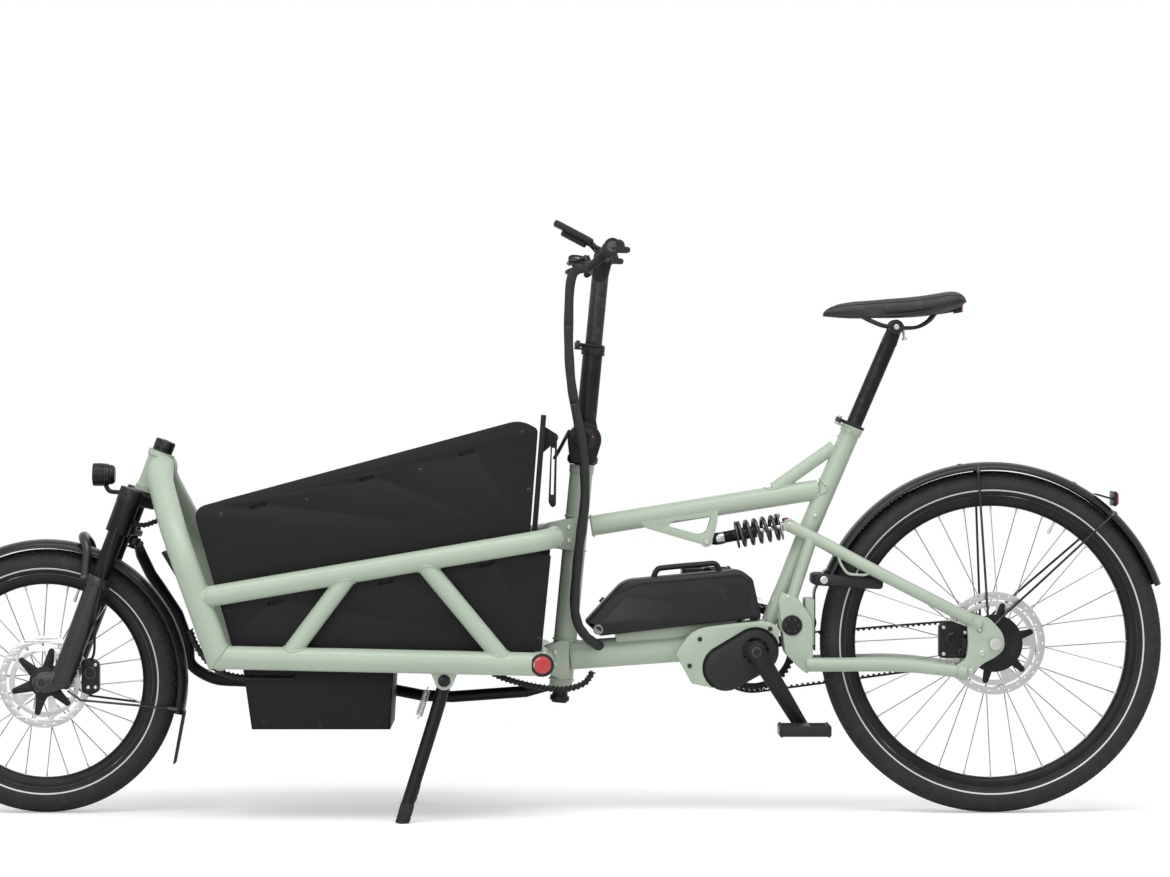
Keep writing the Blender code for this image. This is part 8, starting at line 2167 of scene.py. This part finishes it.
cover_shape = bmesh.new()
cover_shape.from_mesh(pad.data)
cover_tree = BVHTree.FromBMesh(cover_shape)
cover_shape.free()
seams = bmesh.new()
for side in (-1, 1):
    line = []
    for step in range(30):
        share = 0.1 + 0.8 * step / 29
        x, half, top, bottom = blended_section(share)
        turn = math.radians(38)
        line.append(
            Vector(
                (x, side * (half + 0.0002) * math.cos(turn) ** 0.72,
                 (top + bottom) / 2 + (top - bottom) / 2 * math.sin(turn) ** 0.8)
            )
        )
    seated = []
    for spot in line:
        nearest, normal, _, _ = cover_tree.find_nearest(spot)
        seated.append(nearest + 0.0002 * normal)
    add_tube(seams, seated, 0.0008, 8)
piece(seams, "saddle_seams", "saddle", GRIP_RUBBER, "black_rubber")
BASE_HEIGHT = 0.9765
base_shell = bmesh.new()
outline = [(blended_section(step / 24)[0], blended_section(step / 24)[1] * 0.9) for step in range(1, 24)]
outline = outline + [(x, -y) for x, y in reversed(outline)]
add_plate(base_shell, outline, 0.005, Matrix.Translation((0, 0, BASE_HEIGHT)), edge=0.0012)
for corner in base_shell.verts:
    x = corner.co.x
    _, _, _, bottom = blended_section(saddle_share(x))
    corner.co.z += bottom + 0.004 - BASE_HEIGHT
piece(base_shell, "saddle_base", "saddle", BLACK_PLASTIC, "black_plastic")


# Tail lamp: a small red lamp on a bracket at the back of the saddle's rails.
# Moulded black cup with a ribbed red lens.

tail = bmesh.new()
add_plate(tail,
          soft(((0.815, 0.977, 0.002), (0.829, 0.979, 0.002), (0.829, 1.001, 0.002), (0.815, 1.0, 0.002)), 4),
          0.03, side_on(), edge=0.0016)
for y in (-0.01, 0.01):
    add_tube(tail,
             through(
                 [Vector((0.778, y * 2.4, 0.977)), Vector((0.8, y * 1.6, 0.98)),
                  Vector((0.818, y, 0.983))], 5,
             ), 0.0024, 12)
piece(tail, "tail_lamp_cup", "saddle", BLACK_PLASTIC, "black_plastic")
lens = bmesh.new()
for step in range(6):
    z = 0.9812 + step * 0.0034
    add_plate(lens,
              soft(
                  ((0.8285, z - 0.0016, 0.0005), (0.8318, z - 0.0014, 0.0008), (0.8318, z + 0.0014, 0.0008),
                   (0.8285, z + 0.0016, 0.0005)), 3,
              ), 0.0262, side_on(), edge=0.0004)
piece(lens, "tail_lamp_lens", "saddle", RED_LENS, "black_plastic")


# Kickstand: two splayed legs on one cross axle under the lower rails, with moulded feet and a return spring.
# Bent steel tube, black; rubber feet press on the ends.

def cut_at_floor(shape):
    """Cut a closed shape flat where it meets the floor."""
    trim(shape, Vector((0, 0, 0.0002)), Vector((0, 0, -1)))


stand = bmesh.new()
add_turned(stand, STAND_AXIS - Vector((0, 0.208, 0)), Vector((0, 1, 0)),
           [(0, 0.0095), (0.001, 0.011), (0.415, 0.011), (0.416, 0.0095)], 32)
feet = bmesh.new()
for side in (-1, 1):
    leg = [across(Vector(place), side)
           for place in ((-0.179, 0.179, 0.271), (-0.184, 0.183, 0.248), (-0.204, 0.194, 0.178),
                         (-0.254, 0.2108, 0.02))]
    add_tube(stand, through(leg, 8), 0.0125, 28)
    add_turned(stand, across(STAND_AXIS + Vector((0, 0.16, 0)), side), Vector((0, side, 0)), [
        (0, 0.015), (0.001, 0.0162), (0.037, 0.0162), (0.038, 0.015)], 36)
    top = across(Vector((-0.248, 0.2088, 0.038)), side)
    low = across(Vector((-0.2596, 0.2125, -0.0016)), side)
    add_turned(feet, low, top - low,
               [(0, 0.0134), (0.006, 0.0134), (0.0066, 0.0128), (0.01, 0.0128), (0.0106, 0.0134),
                (0.015, 0.0134), (0.0156, 0.0128), (0.019, 0.0128), (0.0196, 0.0134), (0.036, 0.0134),
                (0.041, 0.0126)], 36)
cut_at_floor(feet)
piece(stand, "stand_legs_and_axle", "kickstand", BLACK_METAL, "black_metal", "kickstand")
piece(feet, "stand_feet", "kickstand", GRIP_RUBBER, "black_rubber")


# Hoses and wires: brake hoses and wires leave the bar in loose
# arcs and dive into the sleeve, and a hose runs to each brake.
# Nylon-braced hose 5 mm across; a spiral wrap guards the runs under the tub and beside the head tube.

HOSE = moulded("smooth_black_hose", (0.012, 0.012, 0.012), 0.4, 1200, 0.00003)
for side, label in SIDES:
    hoses = bmesh.new()
    start = across(Vector((0.11, 0.12, 1.0705)), side)
    for number, (ahead, up) in enumerate(((0.05, 0.008), (0.042, -0.004))):
        arc_route = [start + Vector((0, 0, -0.003 * number)),
                     Vector((0.112 - ahead * 0.5, side * 0.088, 1.076 + up)),
                     Vector((0.112 - ahead, side * 0.045 - 0.012, 1.078 + up)),
                     Vector((0.07, -0.042 + 0.004 * side, 1.066)),
                     Vector((0.07 + 0.003 * number, -0.048 + 0.004 * side, 1.044))]
        add_tube(hoses, through(arc_route, 8), 0.0025, 12)
    piece(hoses, f"bar_hoses_{label}", "handlebar", HOSE, "black_rubber")


def add_wrap(shape, route, radius, spacing, strip=0.0016):
    """A cable with a flat spiral strip wound round it."""
    add_tube(shape, route, radius, 16)
    lengths = [0.0]
    for first, second in zip(route, route[1:]):
        lengths.append(lengths[-1] + (second - first).length)
    turns = lengths[-1] / spacing
    count = int(turns * 10)
    coil = []
    for step in range(count + 1):
        reach = lengths[-1] * step / count
        index = max(i for i in range(len(lengths) - 1) if lengths[i] <= reach + 1e-9)
        share = (reach - lengths[index]) / (lengths[index + 1] - lengths[index])
        along = (route[index + 1] - route[index]).normalized()
        side_way = along.cross(Vector((0, 0, 1)) if abs(along.z) < 0.8 else Vector((0, 1, 0))).normalized()
        up = side_way.cross(along)
        turn = 2 * math.pi * turns * step / count
        coil.append(route[index].lerp(route[index + 1], share)
                    + (radius + strip * 0.4) * (math.cos(turn) * side_way + math.sin(turn) * up))
    add_tube(shape, coil, strip, 6)


guards = bmesh.new()
front_run = through(
    [Vector(place)
     for place in ((-0.672, -0.118, 0.364), (-0.662, -0.119, 0.337), (-0.642, -0.122, 0.308),
                   (-0.618, -0.124, 0.286), (-0.586, -0.124, 0.274), (-0.53, -0.124, 0.27),
                   (-0.47, -0.124, 0.27))], 5,
)
add_wrap(guards, front_run, 0.0052, 0.009)
rear_run = through(
    [Vector(place)
     for place in ((-0.09, -0.09, 0.28), (-0.065, -0.085, 0.268), (-0.01, -0.07, 0.252),
                   (0.05, -0.056, 0.245), (0.09, -0.048, 0.256), (0.106, -0.042, 0.278))], 5,
)
add_wrap(guards, rear_run, 0.005, 0.009)
piece(guards, "wrapped_cables", "frame", HOSE, "black_rubber")

fork_hose = bmesh.new()
add_wrap(fork_hose,
         through(
             [Vector(place)
              for place in ((-0.733, -0.042, 0.576), (-0.748, -0.044, 0.57), (-0.768, -0.052, 0.564),
                            (-0.79, -0.06, 0.569), (-0.805, -0.068, 0.585))], 6,
         ), 0.0042, 0.008, 0.0013)
crossing(fork_hose, "fork_hose_loop", HOSE, "black_rubber", "frame", "fork", (-0.738, -0.043, 0.574),
         (-0.804, -0.067, 0.583))
drop_hose = bmesh.new()
add_tube(drop_hose,
         through(
             [Vector(place)
              for place in ((-0.805, -0.068, 0.585), (-0.818, -0.09, 0.55), (-0.833, -0.092, 0.5),
                            (-0.85, -0.091, 0.43), (-0.858, -0.09, 0.38), (-0.862, -0.07, 0.32),
                            (-0.87, -0.05, 0.302))], 8,
         ), 0.0026, 14)
crossing(drop_hose, "front_brake_hose", HOSE, "black_rubber", "fork", "fork_lowers",
         (-0.818, -0.09, 0.55), (-0.85, -0.091, 0.43))


# Controller box: a ribbed heat-sink housing that hangs on the yoke's legs behind the front wheel.
# Die-cast aluminium, black, with slanted cooling ribs.

CONTROL_TOP, CONTROL_FOOT = Vector((-0.735, 0, 0.51)), Vector((-0.682, 0, 0.422))
fall = (CONTROL_FOOT - CONTROL_TOP).normalized()
back = Vector((-fall.z, 0, fall.x))
control = bmesh.new()


def control_at(down, deep):
    """A side-view point of the controller box: down its front face, then deep into it."""
    spot = CONTROL_TOP + down * fall + deep * back
    return (spot.x, spot.z)


tall = (CONTROL_FOOT - CONTROL_TOP).length
skin = [control_at(0, 0), control_at(tall, 0), control_at(tall, 0.006), control_at(0, 0.006)]
add_plate(control, soft([(*corner, 0.0015) for corner in skin], 4), 0.08, side_on(), edge=0.0012)
for number in range(8):
    start = 0.01 + number * (tall - 0.018) / 8
    rib = [control_at(start, 0.0058), control_at(start + 0.0052, 0.0058), control_at(start + 0.006, 0.024),
           control_at(start + 0.0026, 0.024)]
    add_plate(control, rib, 0.076, side_on(), edge=0.0008)
block_side = [control_at(0.006, 0.006), control_at(tall - 0.004, 0.006),
              control_at(tall - 0.006, 0.02), control_at(0.008, 0.02)]
add_plate(control, block_side, 0.066, side_on(), edge=0.0008)
piece(control, "controller_box", "frame", BLACK_METAL, "black_metal")


# Ring lock: a horseshoe lock round the rear tyre,
# under the upper stays, and the loop bracket that holds its mudguard end.
# Hardened steel bow in a black moulded case; the loop is bent steel strip in the frame's colour.

lock = bmesh.new()
outer = [(0.5345, -0.038), (0.539, -0.056), (0.554, -0.066), (0.66, -0.066), (0.67, -0.062), (0.672, -0.056),
         (0.67, -0.051), (0.66, -0.048), (0.574, -0.047), (0.557, -0.042), (0.551, -0.03)]
bow = outer + [(x, -y) for x, y in reversed(outer)]
tip = Matrix.Translation((0.527, 0, 0.459)) @ Matrix.Rotation(
    math.radians(3.5), 4, "Y",
) @ Matrix.Translation((-0.527, 0, 0))
add_plate(lock, bow, 0.023, tip, edge=0.0065)
piece(lock, "ring_lock", "swingarm", BLACK_PLASTIC, "black_plastic")
lock_details = bmesh.new()
add_turned(lock_details, Vector((0.556, -0.0658, 0.4575)), Vector((0, -1, 0)), [
    (0, 0.0074), (0.0012, 0.0074), (0.0018, 0.0066), (0.0018, 0.003), (0.0006, 0.0028)], 28)
piece(lock_details, "ring_lock_keyhole", "swingarm", BRIGHT_STEEL, "bright_steel")
loop_strip = bmesh.new()
for side in (-1, 1):
    hoop = [Vector((0.584, side * 0.072, 0.501)), Vector((0.59, side * 0.07, 0.486)),
            Vector((0.602, side * 0.069, 0.471)), Vector((0.62, side * 0.069, 0.468)),
            Vector((0.636, side * 0.07, 0.468)), Vector((0.644, side * 0.073, 0.473))]
    add_tube(loop_strip, through(hoop, 6), 0.0026, 12)
piece(loop_strip, "lock_loop_bracket", "swingarm", SAGE, "sage_paint")


# Small parts: the stand's return spring, the rear mudguard's tail reflector on its bracket,
# the quick lever of the column's fold, and the webbing behind the strap slots of the side boards.
# Wound steel wire, pressed steel, a red moulded lens, a bent steel lever and woven strap.

stand_spring = bmesh.new()
top, low = Vector((-0.211, -0.156, 0.256)), Vector((-0.23, -0.178, 0.196))
along = low - top
side_way = along.cross(Vector((0, 1, 0))).normalized()
other_way = side_way.cross(along).normalized()
turns, steps_a_turn = 13, 12
wound = []
for step in range(turns * steps_a_turn + 1):
    turn = 2 * math.pi * step / steps_a_turn
    round_about = math.cos(turn) * side_way + math.sin(turn) * other_way
    wound.append(top + along * (0.12 + 0.76 * step / (turns * steps_a_turn)) + 0.0058 * round_about)
add_tube(stand_spring, [top, top + along * 0.08, *wound, low - along * 0.08, low], 0.0011, 8)
piece(stand_spring, "stand_spring", "kickstand", BRIGHT_STEEL, "bright_steel")

tail_plate = bmesh.new()
add_plate(tail_plate,
          soft(((1.092, 0.625, 0.001), (1.126, 0.615, 0.001), (1.126, 0.612, 0.001), (1.092, 0.622, 0.001)),
               3), 0.05, side_on(), edge=0.0006)
add_plate(tail_plate,
          soft(((1.125, 0.6, 0.002), (1.13, 0.6, 0.002), (1.13, 0.629, 0.002), (1.125, 0.629, 0.002)), 4),
          0.07, side_on(), edge=0.0014)
piece(tail_plate, "reflector_bracket", "swingarm", BLACK_METAL, "black_metal")
tail_reflector = bmesh.new()
add_plate(tail_reflector,
          soft(((1.13, 0.602, 0.001), (1.1336, 0.604, 0.0015), (1.1336, 0.625, 0.0015), (1.13, 0.627, 0.001)),
               4), 0.064, side_on(), edge=0.0008)
piece(tail_reflector, "tail_reflector", "swingarm", RED_LENS, "black_plastic")

fold_lever = bmesh.new()
lever_route = through(
    [HINGE + Vector((-0.03, -0.018, 0.017)), HINGE + Vector((-0.036, -0.03, 0.006)),
     HINGE + Vector((-0.048, -0.031, -0.017)), HINGE + Vector((-0.06, -0.031, -0.038))], 6,
)
add_tube(fold_lever, lever_route, 0.0036, 14, [1.0] * (len(lever_route) - 2) + [1.0, 0.7])
piece(fold_lever, "fold_quick_lever", "steerer", BLACK_METAL, "black_metal")

strap_pads = bmesh.new()
for side in (-1, 1):
    for x, z in SLOTS:
        pad_at = [tuple(Vector((x, z)) - 1.15 * slot_lean), tuple(Vector((x, z)) + 1.15 * slot_lean)]
        add_plate(strap_pads, strap(*pad_at, 0.0052, 0.0052, 10), 0.0016,
                  side_on(side * (PANEL_INNER - 0.0012)), edge=0.0003)
piece(strap_pads, "slot_backing", "frame",
      moulded("grey_strap_web", (0.045, 0.045, 0.046), 0.75, 900, 0.0002), "coated_board")


# Floor and light: a white sweep under the bike,
# one wide soft light overhead and a fill from the camera's side.
# They aren't part of the bike.

floor_mesh = bpy.data.meshes.new("studio_floor")
sweep = bmesh.new()
bmesh.ops.create_grid(sweep, x_segments=2, y_segments=2, size=30)
sweep.to_mesh(floor_mesh)
sweep.free()
floor = bpy.data.objects.new("studio_floor", floor_mesh)
bpy.context.scene.collection.objects.link(floor)
sweep_paint = Finish("white_sweep")
sweep_white = sweep_paint.mix(sweep_paint.noise(0.6, 2) * 0.05, (0.93, 0.93, 0.93), (0.9, 0.9, 0.9))
sweep_paint.done(Base_Color=sweep_white, Roughness=0.9)
glow = sweep_paint.node("Emission", {}, {"Color": (1, 1, 1), "Strength": 0.28}, output=0)
both = sweep_paint.node("AddShader", {}, {0: Wire(sweep_paint, sweep_paint.shader.outputs[0]), 1: glow})
spread = sweep_paint.node("VectorMath", {"operation": "MULTIPLY"}, {0: sweep_paint.place, 1: (1.0, 1.5, 1.0)})
distance = sweep_paint.node("VectorMath", {"operation": "LENGTH"}, {0: spread}, output="Value")
backdrop = sweep_paint.node("Emission", {}, {"Color": (1, 1, 1), "Strength": 1.0}, output=0)
fade = sweep_paint.node("MixShader", {}, {0: sweep_paint.above(distance, 1.45, 2.6), 1: both, 2: backdrop})
seen = sweep_paint.node("LightPath", output="Is Camera Ray")
shown = sweep_paint.node("MixShader", {},
                         {0: seen, 1: Wire(sweep_paint, sweep_paint.shader.outputs[0]), 2: fade})
sweep_paint.tree.links.new(shown.socket, sweep_paint.tree.nodes["Material Output"].inputs["Surface"])
floor_mesh.materials.append(sweep_paint.material)

world = bpy.data.worlds.new("studio_air")
world.use_nodes = True
nodes, links = world.node_tree.nodes, world.node_tree.links
air = nodes["Background"]
paths = nodes.new("ShaderNodeLightPath")
seen_or_glossy = nodes.new("ShaderNodeMath")
seen_or_glossy.operation = "MAXIMUM"
strength = nodes.new("ShaderNodeMapRange")
strength.inputs["To Min"].default_value = 0.56
strength.inputs["To Max"].default_value = 1.0
links.new(paths.outputs["Is Camera Ray"], seen_or_glossy.inputs[0])
links.new(paths.outputs["Is Glossy Ray"], seen_or_glossy.inputs[1])
seen_at_all = nodes.new("ShaderNodeMath")
seen_at_all.operation = "MAXIMUM"
links.new(seen_or_glossy.outputs[0], seen_at_all.inputs[0])
links.new(paths.outputs["Is Transmission Ray"], seen_at_all.inputs[1])
links.new(seen_at_all.outputs[0], strength.inputs["Value"])
links.new(strength.outputs[0], air.inputs["Strength"])
air.inputs["Color"].default_value = (1, 1, 1, 1)
bpy.context.scene.world = world

for name, place, aim, width, depth, power in (
    ("overhead_softbox", (0.1, -1.4, 3.4), (0, 0, 0.4), 4.2, 1.8, 88),
    ("camera_side_fill", (-1.6, -4.6, 1.7), (0, 0, 0.5), 2.6, 1.6, 36),
):
    lamp_data = bpy.data.lights.new(name, "AREA")
    lamp_data.shape = "RECTANGLE"
    lamp_data.size, lamp_data.size_y = width, depth
    lamp_data.energy = power
    lamp = bpy.data.objects.new(name, lamp_data)
    lamp.location = place
    lamp.rotation_euler = (Vector(aim) - Vector(place)).to_track_quat("-Z", "Y").to_euler()
    bpy.context.scene.collection.objects.link(lamp)

view = bpy.context.scene.view_settings
view.view_transform = "Standard"
